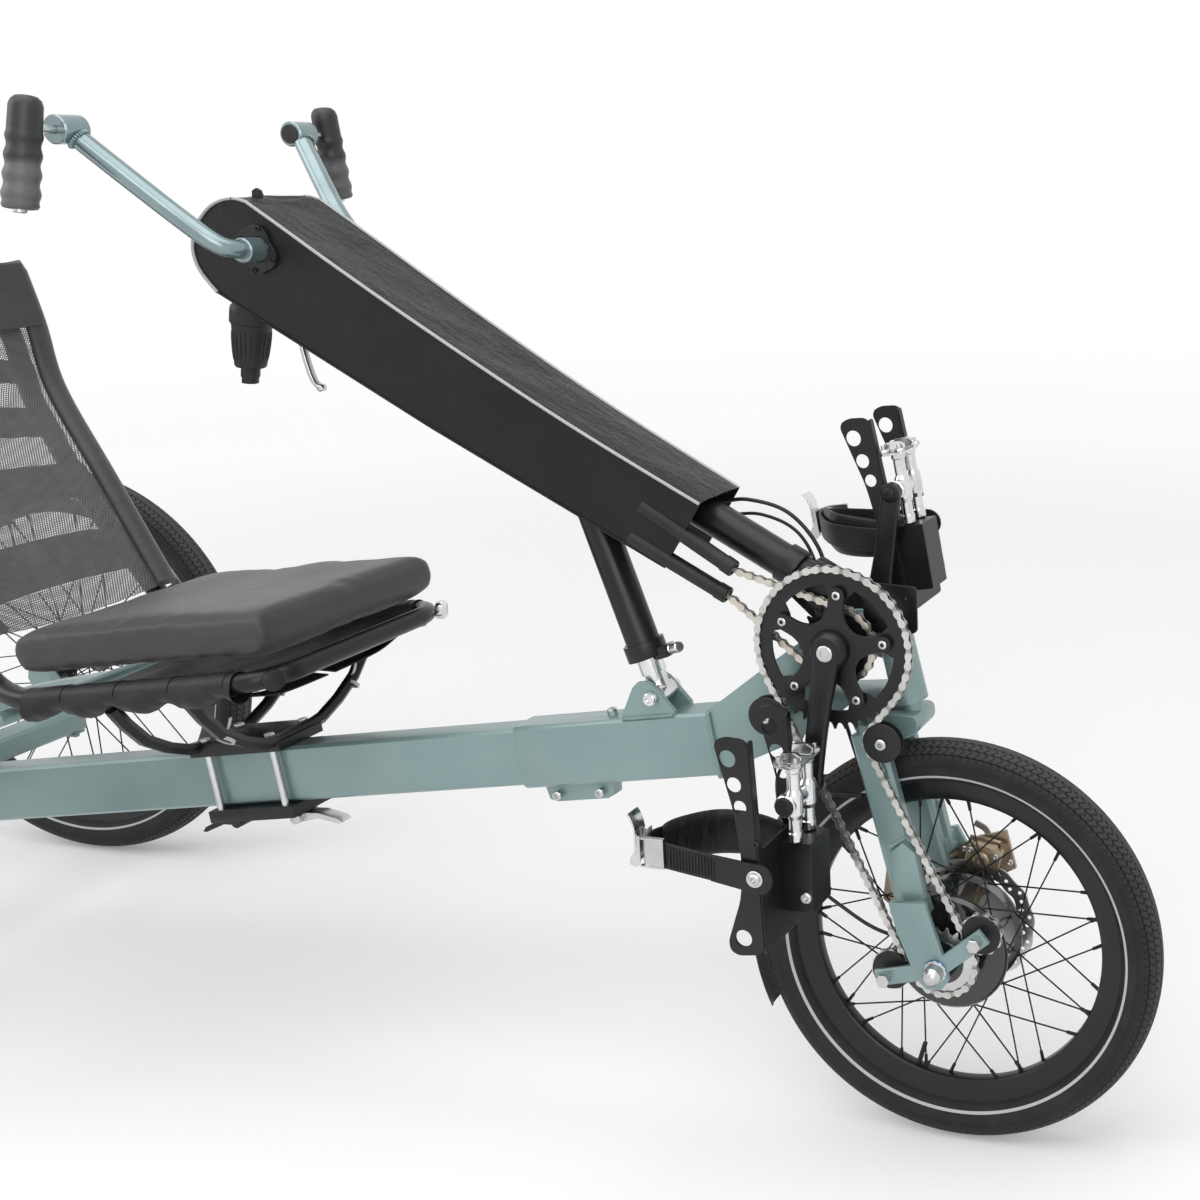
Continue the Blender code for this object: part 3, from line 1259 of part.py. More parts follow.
def strut_lever(body):
    hinge = on_strut(0.056) + Y_AXIS * 0.0300
    solids = [rod(hinge - STRUT_AXIS * 0.007, hinge + STRUT_AXIS * 0.007, 0.0052, 12, Y_AXIS)]
    outline = [(-0.003, -0.0040), (-0.030, -0.0030), (-0.052, 0.0030), (-0.056, 0.0075),
               (-0.050, 0.0085), (-0.028, 0.0035), (-0.003, 0.0040)]
    solids.append(plate(outline, hinge, STRUT_SIDE, Y_AXIS, 0.011))
    make("strut_lever", body, "black_paint", solids)


# Seat

SEAT_HALF = 0.150
CUSHION_SIDE = [(-0.7960, 0.5880), (-0.7880, 0.6080), (-0.7920, 0.6300), (-0.8060, 0.6400),
                (-0.9500, 0.6240), (-1.1000, 0.6000), (-1.1820, 0.5840), (-1.1880, 0.5600),
                (-1.1760, 0.5300), (-1.0000, 0.5560), (-0.8080, 0.5830)]
BACK_STATIONS = ((-1.2230, 0.5600, 0.120), (-1.3430, 0.7060, 0.150), (-1.4450, 0.8300, 0.176),
                 (-1.4700, 0.9250, 0.178), (-1.4850, 1.0100, 0.168))
RAIL_RADIUS = 0.0125


def seat_cushion(body):
    make("seat_cushion", body, "seat_fabric",
         [side_plate(CUSHION_SIDE, at(0, 0, 0), 2 * SEAT_HALF)])


# Outward normal of the backrest's front at one of its stations
def back_normal(index):
    first = BACK_STATIONS[max(index - 1, 0)]
    last = BACK_STATIONS[min(index + 1, len(BACK_STATIONS) - 1)]
    along = unit(last[0] - first[0], 0, last[1] - first[1])
    return Vector((along.z, 0, -along.x))


def loft(rings):
    bm = bmesh.new()
    rows = [[bm.verts.new(point) for point in ring] for ring in rings]
    sides = len(rows[0])
    for a, b in zip(rows, rows[1:]):
        for side in range(sides):
            follow = (side + 1) % sides
            bm.faces.new((a[side], a[follow], b[follow], b[side]))
    bm.faces.new(rows[0])
    bm.faces.new(rows[-1])
    return closed(bm)


def backrest_cover(body):
    rings = []
    for index, (x, z, half) in enumerate(BACK_STATIONS):
        normal = back_normal(index)
        centre = at(x, 0, z)
        ring = []
        for side, depth in ((-1, -0.008), (1, -0.008), (1.03, 0.004), (0.9, 0.010),
                            (0.0, 0.006), (-0.9, 0.010), (-1.03, 0.004)):
            ring.append(centre + normal * depth + Y_AXIS * half * side)
        rings.append(ring)
    make("backrest_cover", body, "mesh_fabric", [loft(rings)])


# One bent tube round the seat: front rail, side rails, back tubes and top rail
def seat_rail_path():
    half = [at(-0.8000, 0.0, 0.5600), at(-0.8000, 0.1150, 0.5600), at(-0.8260, 0.1460, 0.5560),
            at(-1.1600, 0.1420, 0.5040), at(-1.2150, 0.1300, 0.5120)]
    for index, (x, z, width) in enumerate(BACK_STATIONS[1:4]):
        centre = at(x, width - 0.014, z) - back_normal(index + 1) * 0.0235
        half.append(centre)
    last = BACK_STATIONS[4]
    corner = at(last[0], 0, last[1]) - back_normal(4) * 0.0235
    half.append(corner + Y_AXIS * 0.125 - Z_AXIS * 0.006)
    half.append(corner)
    other = [Vector((point.x, -point.y, point.z)) for point in reversed(half[1:-1])]
    return half + other


def seat_frame(body):
    make("seat_frame", body, "black_paint",
         [sweep(seat_rail_path(), circle(RAIL_RADIUS, 10), Z_AXIS, loop=True)])


# Shallow dish under the cushion, hung between the side rails
def seat_pan(body):
    section = [(-0.128, 0.0), (-0.095, -0.020), (0.0, -0.030), (0.095, -0.020), (0.128, 0.0),
               (0.128, 0.004), (0.095, -0.016), (0.0, -0.026), (-0.095, -0.016), (-0.128, 0.004)]
    front = at(-0.8250, 0, 0.5740)
    rear = at(-1.1650, 0, 0.5225)
    make("seat_pan", body, "black_plastic", [sweep([rear, front], section)])


STAY_CLAMP = -1.500


def seat_stay(body):
    route = [on_tube(STAY_CLAMP, 0, 0.060), on_tube(STAY_CLAMP, 0, 0.084), at(-1.3650, 0, 0.4310),
             at(-1.1900, 0, 0.4740)]
    path = [route[0]] + smooth_path(route[1:], 4)
    solids = [sweep(path, soft_rectangle(0.028, 0.028, 0.004))]
    bar = at(-1.1950, 0, 0.4780)
    solids.append(rod(bar - Y_AXIS * 0.150, bar + Y_AXIS * 0.150, 0.0100, 12, Z_AXIS))
    solids.append(sweep([on_tube(STAY_CLAMP - 0.028), on_tube(STAY_CLAMP + 0.028)],
                        soft_rectangle(TUBE_WIDTH + 0.014, TUBE_HEIGHT + 0.014, 0.004)))
    solids.append(block(on_tube(STAY_CLAMP, 0, 0.052), (0.040, 0.034, 0.030), TUBE_AXIS, TUBE_UP))
    cut = sweep([on_tube(STAY_CLAMP - 0.05), on_tube(STAY_CLAMP + 0.05)],
                rectangle(TUBE_WIDTH + 2 * RUN_GAP, TUBE_HEIGHT + 2 * RUN_GAP))
    make("seat_stay", body, "teal_paint", solids, [cut])


CLAMP_X = -0.965


def seat_clamp_upper(body):
    top = TUBE_HEIGHT / 2 + RUN_GAP
    outline = [(-0.070, 0.0), (0.070, 0.0), (0.070, 0.012), (0.055, 0.018), (-0.055, 0.018),
               (-0.070, 0.012)]
    solids = [plate(outline, on_tube(CLAMP_X, 0, top), TUBE_AXIS, TUBE_UP, 0.070)]
    for x in (-1.020, -0.905):
        rail = 0.5600 + (x + 0.8000) * 0.1545
        foot = on_tube(x, 0, top + 0.012)
        half = [Vector((foot.x, 0.000, foot.z)), Vector((foot.x, 0.045, foot.z + 0.003)),
                Vector((foot.x, 0.105, foot.z + 0.040)),
                Vector((foot.x, 0.143, rail - 0.0215))]
        bend = smooth_path(half, 2)
        other = [Vector((point.x, -point.y, point.z)) for point in reversed(bend[1:])]
        solids.append(sweep(other + bend, circle(0.0080, 6), X_AXIS))
    make("seat_clamp_upper", body, "black_paint", solids)


def seat_clamp_lower(body):
    base = -TUBE_HEIGHT / 2 - RUN_GAP
    outline = [(-0.066, 0.0), (0.066, 0.0), (0.066, -0.016), (-0.066, -0.016)]
    solids = [plate(outline, on_tube(CLAMP_X, 0, base), TUBE_AXIS, TUBE_UP, 0.066)]
    rise = TUBE_HEIGHT / 2 - GAP
    for shift in (-0.050, 0.050):
        for side in (-1, 1):
            low = on_tube(CLAMP_X + shift, 0.0265 * side, base - 0.010)
            high = on_tube(CLAMP_X + shift, 0.0265 * side, rise)
            solids.append(rod(low, high, 0.0038, 8))
    make("seat_clamp_lower", body, "black_paint", solids)


SEAT_LEVERS = (("front", CLAMP_X + 0.046, 1, "bright_steel"),
               ("rear", CLAMP_X - 0.046, -1, "black_paint"))


def seat_lever_pin(x):
    return on_tube(x, 0, -TUBE_HEIGHT / 2 - RUN_GAP - 0.016 - 0.0082)


def seat_lever(name, x, turn, colour, body):
    pin = seat_lever_pin(x)
    solids = [rod(pin - Y_AXIS * 0.016, pin + Y_AXIS * 0.016, 0.0076, 12, Z_AXIS)]
    arm = [(0.0, 0.0060), (0.030 * turn, 0.0035), (0.058 * turn, -0.0060),
           (0.064 * turn, -0.0120), (0.058 * turn, -0.0130), (0.028 * turn, -0.0040),
           (0.0, -0.0070)]
    solids.append(plate(arm, pin, TUBE_AXIS, TUBE_UP, 0.017))
    make("seat_lever_" + name, body, colour, solids)


# Cables, each a bent tube along its whole way

BRAKE_ROUTE = [(-0.838, 0.0160, 1.012), (-0.800, 0.0330, 1.006), (-0.700, 0.0370, 0.958),
               (-0.500, 0.0370, 0.842), (-0.400, 0.0370, 0.788), (-0.324, 0.0360, 0.764),
               (-0.273, 0.0360, 0.768), (-0.221, 0.0360, 0.755), (-0.184, 0.0370, 0.714),
               (-0.172, 0.0380, 0.660), (-0.174, 0.0400, 0.600), (-0.172, 0.0440, 0.540),
               (-0.156, 0.0500, 0.470), (-0.136, 0.0540, 0.400), (-0.118, 0.0545, 0.345),
               (-0.111, 0.0545, 0.312)]
SHIFT_ROUTE = [(-0.880, 0.0240, 1.020), (-0.840, 0.0440, 1.008), (-0.700, 0.0455, 0.936),
               (-0.500, 0.0455, 0.826), (-0.400, 0.0455, 0.772), (-0.324, 0.0455, 0.746),
               (-0.262, 0.0455, 0.748), (-0.214, 0.0455, 0.728), (-0.190, 0.0460, 0.680),
               (-0.188, 0.0470, 0.610), (-0.196, 0.0420, 0.540), (-0.208, 0.0260, 0.478),
               (-0.216, 0.0000, 0.458), (-0.214, -0.0280, 0.444), (-0.202, -0.0430, 0.410),
               (-0.184, -0.0440, 0.366), (-0.162, -0.0420, 0.325), (-0.124, -0.0405, 0.296),
               (-0.090, -0.0400, 0.277), (-0.052, -0.0400, 0.267)]


def cable(name, route, radius, steps, body):
    points = smooth_path([at(*point) for point in route], steps)
    curve = bpy.data.curves.new(name, "CURVE")
    curve.dimensions = "3D"
    curve.bevel_depth = radius
    curve.bevel_resolution = 2
    curve.use_fill_caps = True
    spline = curve.splines.new("POLY")
    spline.points.add(len(points) - 1)
    pivot = Vector(body["pivot"])
    for point, target in zip(spline.points, points):
        point.co = (*(target - pivot), 1.0)
    item = bpy.data.objects.new(name, curve)
    bpy.context.collection.objects.link(item)
    item.parent = body
    curve.materials.append(finish("cable_sheath"))
    return item


# Bodies in the order of the trike's tree, then their pieces

def build_rear():
    root = add_body("rear_frame", TUBE_POINT)
    main_tube(root)
    rear_axle_beam(root)
    for side, name in ((1, "left"), (-1, "right")):
        centre = REAR_AXLE + Y_AXIS * HALF_TRACK * side
        rear_wheel(side, add_body("rear_wheel_" + name, centre, root))
    return root


def build_seat(root):
    seat = add_body("seat", on_tube(CLAMP_X), root)
    for piece in (seat_frame, seat_stay, seat_pan, seat_cushion, backrest_cover,
                  seat_clamp_upper, seat_clamp_lower):
        piece(seat)
    for name, x, turn, colour in SEAT_LEVERS:
        lever = add_body("seat_lever_" + name, seat_lever_pin(x), seat)
        seat_lever(name, x, turn, colour, lever)


def build_fork(front):
    fork = add_body("fork", FRONT_AXLE - X_AXIS * (FRONT_AXLE.x - on_steer(FRONT_AXLE_Z).x),
                    front)
    fork_crown(fork)
    fork_leg(-1, fork)
    fork_leg(1, fork)
    front_axle(fork)
    front_fender(fork)
    brake_calipers(fork)
    front_wheel(add_body("front_wheel", FRONT_AXLE, fork))
    hub_sprocket(add_body("hub_sprocket", FRONT_AXLE, fork))
    for name in ("roller_upper_front", "roller_lower_rear", "roller_lower_front"):
        roller(name, add_body(name, ROLLERS[name], fork))
    return fork


def build_foot_drive(front):
    name = "roller_upper_rear"
    roller(name, add_body(name, ROLLERS[name], front))
    crank = add_body("foot_crank", BOTTOM_BRACKET, front)
    foot_crank(crank)
    for side, label in ((-1, "right"), (1, "left")):
        pedal = add_body("pedal_" + label, pedal_axle(side), crank)
        foot_plate(side, pedal)
        pedal_link(side, pedal)
        foot_strap(side, pedal)
        buckle_lever(side, add_body("buckle_" + label, buckle_hinge(side), pedal))


def build_mast(front):
    yoke = add_body("mast_yoke", BOTTOM_BRACKET, front)
    mast_yoke(yoke)
    mast = add_body("mast", MAST_ROOT, yoke)
    for piece in (mast_tube, chain_guides, mast_cover, hand_chain):
        piece(mast)
    cable("brake_cable", BRAKE_ROUTE, 0.0024, 3, mast)
    cable("shift_cable", SHIFT_ROUTE, 0.0021, 3, mast)
    brake_lever(add_body("brake_lever", LEVER_PIN, mast))
    twist_shifter(add_body("twist_shifter", SHIFTER_TOP, mast))
    crank = add_body("hand_crank", HAND_AXIS, mast)
    hand_axle(crank)
    for side, label in ((-1, "right"), (1, "left")):
        hand_crank(side, crank)
        hand_grip(side, add_body("grip_" + label, HAND_BOSS + Y_AXIS * 0.2085 * side, crank))


def build_strut(front):
    lower = add_body("strut_lower", STRUT_PIVOT, front)
    strut_lower(lower)
    upper = add_body("strut_upper", on_strut(0.056), lower)
    strut_upper(upper)
    strut_lever(add_body("strut_lever", on_strut(0.056) + Y_AXIS * 0.0300, upper))


def build_front(root):
    front = add_body("front_frame", on_tube(SLEEVE_FRONT), root)
    front_sleeve(front)
    neck_frame(front)
    build_fork(front)
    build_foot_drive(front)
    drive_chain(front)
    build_mast(front)
    build_strut(front)


def main():
    clear_scene()
    root = build_rear()
    build_seat(root)
    build_front(root)


main()
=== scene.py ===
# %% [markdown]
# # A recumbent trike for hands and feet
# The trike's bodies and joints come from its CAD model. This lesson dresses that model: each step makes
# one piece or finish as it is on the real machine. Lengths are in metres, and `mm` turns outlines written
# in millimetres into metres. X points forwards, Y to the rider's left and Z up, and every finished piece
# keeps its object at the origin, so its mesh says where it is.

import json
import math

import bmesh
import bpy
from mathutils import Matrix, Vector

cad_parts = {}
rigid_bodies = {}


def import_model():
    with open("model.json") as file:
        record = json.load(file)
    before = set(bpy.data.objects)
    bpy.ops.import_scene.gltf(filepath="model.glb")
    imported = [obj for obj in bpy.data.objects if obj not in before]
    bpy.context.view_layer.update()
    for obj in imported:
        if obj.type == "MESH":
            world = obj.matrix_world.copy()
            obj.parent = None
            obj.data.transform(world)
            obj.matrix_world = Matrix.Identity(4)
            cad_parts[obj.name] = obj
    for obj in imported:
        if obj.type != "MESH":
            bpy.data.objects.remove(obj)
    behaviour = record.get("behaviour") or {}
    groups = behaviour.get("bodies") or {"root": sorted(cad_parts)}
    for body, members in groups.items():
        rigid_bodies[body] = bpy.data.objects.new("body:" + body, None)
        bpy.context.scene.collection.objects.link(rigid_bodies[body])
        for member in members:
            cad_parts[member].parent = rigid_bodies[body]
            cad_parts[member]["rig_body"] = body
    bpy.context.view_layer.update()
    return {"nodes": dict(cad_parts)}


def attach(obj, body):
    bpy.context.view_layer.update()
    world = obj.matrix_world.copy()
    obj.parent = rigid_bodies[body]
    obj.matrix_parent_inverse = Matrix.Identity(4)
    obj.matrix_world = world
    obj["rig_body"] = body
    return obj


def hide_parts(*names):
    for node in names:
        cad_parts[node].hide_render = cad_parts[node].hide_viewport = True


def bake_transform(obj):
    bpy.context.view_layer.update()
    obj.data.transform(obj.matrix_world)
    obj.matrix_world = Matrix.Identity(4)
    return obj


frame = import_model()
NODES = frame["nodes"]

# %% [markdown]
# ## Places that the pieces share
# The CAD model counts lengths along X from the front axle, so this file does the same. Naming the axles, the
# crank centres and the main directions once keeps every later piece tied to the same few numbers.

# %% Key places
FRONT_AXLE_X = 0.892724
FRONT_AXLE_Z = 0.252037
REAR_AXLE_Z = 0.328484
WHEELBASE = 1.709
HALF_TRACK = 0.386
X_AXIS = Vector((1, 0, 0))
Y_AXIS = Vector((0, 1, 0))
Z_AXIS = Vector((0, 0, 1))
SIDES = ((-1, "right"), (1, "left"))


def at(x, y, z):
    return Vector((FRONT_AXLE_X + x, y, z))


def unit(x, y, z):
    return Vector((x, y, z)).normalized()


FRONT_AXLE = at(0, 0, FRONT_AXLE_Z)
REAR_AXLE = at(-WHEELBASE, 0, REAR_AXLE_Z)
CRANK = at(-0.125, 0, 0.623)
HAND = at(-0.843, 0, 1.061)
TUBE_AXIS = unit(1, 0, 0.163)
TUBE_UP = Vector((-TUBE_AXIS.z, 0, TUBE_AXIS.x))
STRUT_PIVOT = at(-0.378, 0, 0.53)
STRUT_AXIS = unit(-0.33, 0, 0.944)


def on_tube(x, side=0.0, rise=0.0):
    middle = at(-0.548, 0, 0.4375) + TUBE_AXIS * ((x + 0.548) / TUBE_AXIS.x)
    return middle + Y_AXIS * side + TUBE_UP * rise


def on_strut(along):
    return STRUT_PIVOT + STRUT_AXIS * along


print("front axle", tuple(round(c, 3) for c in FRONT_AXLE))

# %% [markdown]
# ## Camera
# The picture was taken from the rider's right with a normal lens, and its frame lies to the left of the
# optical axis. A shifted lens gives that framing without tilting the verticals, as a technical camera does.

# %% Camera
CAMERA_PLACE = (1.51, -1.531, 1.182)
CAMERA_TURNS = ((11.46, "Z"), (80.83, "X"), (0.573, "Z"))


def add_object(name, data):
    item = bpy.data.objects.new(name, data)
    bpy.context.scene.collection.objects.link(item)
    return item


def aim_camera():
    data = bpy.data.cameras.new("camera")
    data.sensor_width = 36.0
    data.lens = 43.8
    data.shift_x = -0.5128
    data.shift_y = -0.174
    data.clip_start = 0.05
    camera = add_object("camera", data)
    turned = Matrix.Identity(4)
    for degrees, axis in CAMERA_TURNS:
        turned = turned @ Matrix.Rotation(math.radians(degrees), 4, axis)
    camera.matrix_world = Matrix.Translation(CAMERA_PLACE) @ turned
    bpy.context.scene.camera = camera


aim_camera()
bpy.context.scene.view_settings.view_transform = "Standard"
print("camera placed")

# %% [markdown]
# ## Arithmetic for materials
# A procedural material is a sum of noises, waves and steps. Wiring each Math node by hand hides that sum,
# so this small class lets a material be written as plain arithmetic: every operator adds the node it
# stands for. Numbers on the left work too, so that 1 - mask is the mask turned round.

# %% Material arithmetic
def add_node(tree, kind, settings=None, sockets=None, output=0):
    """A shader node: its settings come first, then the values or links of its sockets."""
    node = tree.nodes.new("ShaderNode" + kind)
    for name, value in (settings or {}).items():
        setattr(node, name, value)
    for slot, value in (sockets or {}).items():
        if isinstance(value, Term):
            tree.links.new(value.socket, node.inputs[slot])
        else:
            node.inputs[slot].default_value = value
    return Term(tree, node.outputs[output])


class Term:
    """An output of a node. Each operator adds the Math node that it stands for."""

    def __init__(self, tree, socket):
        self.tree = tree
        self.socket = socket

    def math(self, kind, *others):
        return add_node(self.tree, "Math", {"operation": kind}, dict(enumerate((self, *others))))

    def __add__(self, other):
        return self.math("ADD", other)

    def __sub__(self, other):
        return self.math("SUBTRACT", other)

    def __rsub__(self, other):
        return add_node(self.tree, "Math", {"operation": "SUBTRACT"}, {0: other, 1: self})

    def __mul__(self, other):
        return self.math("MULTIPLY", other)

    def __truediv__(self, other):
        return self.math("DIVIDE", other)

    def __pow__(self, other):
        return self.math("POWER", other)

    def __abs__(self):
        return self.math("ABSOLUTE")

    __radd__ = __add__
    __rmul__ = __mul__

    def above(self, edge):
        return self.math("GREATER_THAN", edge)

    def below(self, edge):
        return self.math("LESS_THAN", edge)

    def most(self, other):
        return self.math("MAXIMUM", other)

    def fraction(self):
        return self.math("FRACT")

    def wave(self):
        """A sine with one whole wave for each whole number."""
        return (self * 6.2832).math("SINE")

    def ramp(self, low, high):
        """0 at `low`, 1 at `high` and a slope between them."""
        sockets = {"Value": self, "From Min": low, "From Max": high}
        return add_node(self.tree, "MapRange", {"clamp": True}, sockets)


# %% [markdown]
# ## A material and its parts
# `Finish` opens a material and offers what every surface needs: object coordinates, noise, a mix of two
# colours, and a bump from a height. Object coordinates are metres on the trike, so a scale of 500 means a
# pattern 2 mm wide on every piece alike.

# %% Finish helper
MIX_COLOURS = (6, 7)
MIX_RESULT = 2


def grey(value):
    return (value, value, value)


class Finish:
    def __init__(self, name, colour, roughness, metallic=0.0, **constants):
        self.material = bpy.data.materials.new(name)
        self.material.use_nodes = True
        self.material.diffuse_color = (*colour, 1.0)
        self.tree = self.material.node_tree
        self.sockets = self.tree.nodes["Principled BSDF"].inputs
        constants.update(Base_Color=(*colour, 1.0), Roughness=roughness, Metallic=metallic)
        for socket, value in constants.items():
            self.sockets[socket.replace("_", " ")].default_value = value
        self.place = self.node("TexCoord", output="Object")

    def node(self, kind, settings=None, sockets=None, output=0):
        return add_node(self.tree, kind, settings, sockets, output)

    def axis(self, letter, source=None):
        return self.node("SeparateXYZ", sockets={0: source or self.place}, output=letter)

    def noise(self, scale, detail=2.0, roughness=0.5, stretch=None):
        place = self.place
        if stretch:
            place = self.node("Mapping", sockets={"Vector": place, "Scale": stretch})
        sockets = {"Vector": place, "Scale": scale, "Detail": detail, "Roughness": roughness}
        return self.node("TexNoise", sockets=sockets)

    def cells(self, scale):
        return self.node("TexVoronoi", sockets={"Vector": self.place, "Scale": scale})

    def mix(self, share, first, second):
        """One colour where the share is 0 and the other where it's 1."""
        sockets = {"Factor": share}
        for slot, value in zip(MIX_COLOURS, (first, second)):
            sockets[slot] = value if isinstance(value, Term) else (*value, 1.0)
        return self.node("Mix", {"data_type": "RGBA"}, sockets, MIX_RESULT)

    def drive(self, socket, term):
        self.tree.links.new(term.socket, self.sockets[socket])

    def tone(self, share, first, second):
        self.drive("Base Color", self.mix(share, first, second))

    def bump(self, height, depth):
        """Adds a bump to those that the finish has."""
        sockets = {"Strength": 1.0, "Distance": depth, "Height": height}
        for link in self.sockets["Normal"].links:
            sockets["Normal"] = Term(self.tree, link.from_socket)
        self.drive("Normal", self.node("Bump", sockets=sockets))


# %% [markdown]
# ## Paint, metal, plastic and rubber
# Paint gets a faint orange peel and small changes of tone. Metals get fine scratches that spread their
# gloss. Moulded plastic has a fine matt grain. Each finish is one short function that returns its
# material.

# %% Hard finishes
def teal_paint():
    coat = Finish("teal_paint", (0.22, 0.315, 0.312), 0.36, 0.3, Coat_Weight=0.35, Coat_Roughness=0.22)
    cloud = coat.noise(9.0, 3.0)
    flake = coat.noise(2600.0, 1.0)
    coat.tone(cloud.ramp(0.3, 0.7), (0.196, 0.29, 0.288), (0.238, 0.338, 0.334))
    coat.drive("Roughness", flake * 0.14 + cloud * 0.1 + 0.24)
    coat.bump(coat.noise(700.0, 2.0) + flake * 0.5, 0.00006)
    return coat.material


def black_coat():
    coat = Finish("black_coat", (0.008, 0.008, 0.009), 0.32, Specular_IOR_Level=0.34)
    cloud = coat.noise(14.0, 3.0)
    grain = coat.noise(1800.0, 2.0)
    coat.tone(cloud.ramp(0.35, 0.75), (0.006, 0.006, 0.007), (0.013, 0.013, 0.014))
    coat.drive("Roughness", grain * 0.16 + cloud * 0.12 + 0.16)
    coat.bump(grain, 0.00008)
    return coat.material


def black_plastic():
    coat = Finish("black_plastic", (0.012, 0.012, 0.013), 0.44, Specular_IOR_Level=0.34)
    grain = coat.noise(1500.0, 3.0, 0.6)
    coat.drive("Roughness", grain * 0.22 + 0.36)
    coat.tone(coat.noise(30.0, 3.0).ramp(0.4, 0.8), (0.009, 0.009, 0.01), grey(0.018))
    coat.bump(grain, 0.0001)
    return coat.material


def bright_metal(name, colour, roughness):
    metal = Finish(name, colour, roughness, 1.0)
    rub = metal.noise(260.0, 4.0, 0.65, (1.0, 6.0, 1.0))
    haze = metal.noise(25.0, 3.0)
    metal.drive("Roughness", rub * 0.16 + haze * 0.1 + (roughness - 0.09))
    shade = tuple(part * 0.78 for part in colour)
    metal.tone(haze.ramp(0.35, 0.75), colour, shade)
    metal.bump(rub, 0.00001)
    return metal.material


def crank_lacquer():
    metal = Finish("teal_gloss", (0.205, 0.28, 0.29), 0.22, 0.55, Coat_Weight=0.5, Coat_Roughness=0.08)
    haze = metal.noise(25.0, 3.0)
    metal.tone(haze.ramp(0.35, 0.75), (0.235, 0.312, 0.322), (0.18, 0.25, 0.262))
    metal.drive("Roughness", haze * 0.08 + 0.18)
    metal.bump(metal.noise(180.0, 2.0), 0.00001)
    return metal.material


def rubber(name, colour, roughness=0.62):
    soft = Finish(name, colour, roughness, Specular_IOR_Level=0.32)
    grain = soft.noise(1100.0, 3.0, 0.6)
    dust = soft.noise(22.0, 4.0, 0.6)
    soft.tone(dust.ramp(0.45, 0.85), colour, tuple(part * 1.9 for part in colour))
    soft.drive("Roughness", grain * 0.16 + roughness - 0.08)
    soft.bump(grain, 0.00012)
    return soft.material


LOOKS = {
    "teal_paint": teal_paint(),
    "teal_gloss": crank_lacquer(),
    "black_paint": black_coat(),
    "black_plastic": black_plastic(),
    "chrome": bright_metal("chrome", (0.72, 0.72, 0.73), 0.14),
    "bright_steel": bright_metal("bright_steel", (0.6, 0.6, 0.6), 0.28),
    "champagne_metal": bright_metal("champagne_metal", (0.36, 0.29, 0.21), 0.34),
    "chain_steel": bright_metal("chain_steel", (0.6, 0.6, 0.58), 0.3),
    "brass_chain": bright_metal("brass_chain", (0.6, 0.56, 0.49), 0.3),
    # Inner links get this darker steel as painted shade, for the shadow that the outer plates cast on them.
    "inner_links_painted_shade": bright_metal("inner_links_painted_shade", (0.38, 0.37, 0.35), 0.38),
    "grip_rubber": rubber("grip_rubber", (0.016, 0.016, 0.017), 0.46),
    "strap_webbing": rubber("strap_webbing", (0.011, 0.011, 0.012), 0.48),
    "cable_sheath": rubber("cable_sheath", grey(0.012), 0.36),
}
print("finishes:", len(LOOKS))

# %% [markdown]
# ## Stage and light
# The trike stood on white paper under broad soft lamps. One wide sheet makes the floor. Real studios light
# the far paper on its own, until it's as bright as the background. Here the paper glows instead, more with
# distance, so no horizon shows. Only the camera and mirrored rays see that glow and the world's full
# white, so neither of them lights the trike.

# %% Stage and light
PAPER_REACH = 40.0
PAPER_HEIGHT = -0.0004
WORLD_LIGHT = 0.45


def seen_share(tree):
    """1 for the rays that look at something, 0 for the rays that only carry light."""
    rays = [add_node(tree, "LightPath", output=f"Is {kind} Ray")
            for kind in ("Camera", "Glossy", "Transmission")]
    return rays[0].most(rays[1]).most(rays[2])


def oblong(half_u, half_v):
    return [(-half_u, -half_v), (half_u, -half_v), (half_u, half_v), (-half_u, half_v)]


def paper_floor():
    mesh = bpy.data.meshes.new("paper_floor")
    corners = [(x, y, PAPER_HEIGHT) for x, y in oblong(PAPER_REACH, PAPER_REACH)]
    mesh.from_pydata(corners, [], [(0, 1, 2, 3)])
    paper = Finish("paper", (0.86, 0.86, 0.865), 0.9, Emission_Strength=1.0)
    paper.tone(paper.noise(0.8, 2.0), (0.85, 0.85, 0.855), (0.88, 0.88, 0.885))
    far = (paper.axis("X") ** 2.0 + paper.axis("Y") ** 2.0) ** 0.5
    glow = paper.mix(far.ramp(1.2, 4.5), grey(0.17), grey(0.42))
    glow = paper.mix(far.ramp(3.0, 9.0), glow, grey(0.6))
    paper.drive("Emission Color", paper.mix(seen_share(paper.tree), grey(0.0), glow))
    mesh.materials.append(paper.material)
    add_object("paper_floor", mesh)


def lamp(name, place, target, size, power):
    data = bpy.data.lights.new(name, "AREA")
    data.shape = "RECTANGLE"
    data.size, data.size_y = size
    data.energy = power
    item = add_object(name, data)
    item.location = place
    item.rotation_euler = (Vector(target) - Vector(place)).to_track_quat("-Z", "Y").to_euler()


def white_world():
    world = bpy.data.worlds.new("studio")
    bpy.context.scene.world = world
    world.use_nodes = True
    ground = world.node_tree.nodes["Background"]
    ground.inputs["Color"].default_value = (1.0, 1.0, 1.0, 1.0)
    strength = seen_share(world.node_tree) * (1 - WORLD_LIGHT) + WORLD_LIGHT
    world.node_tree.links.new(strength.socket, ground.inputs["Strength"])


paper_floor()
white_world()
lamp("top_lamp", (0.3, -0.6, 3.4), (0.3, 0, 0.4), (4.0, 3.0), 70)
lamp("side_lamp", (2.4, -3.4, 2.2), (0.3, 0, 0.5), (2.4, 2.4), 48)
lamp("rear_lamp", (-3.0, -1.6, 2.4), (0.0, 0, 0.6), (2.0, 2.0), 26)
print("stage and lamps ready")

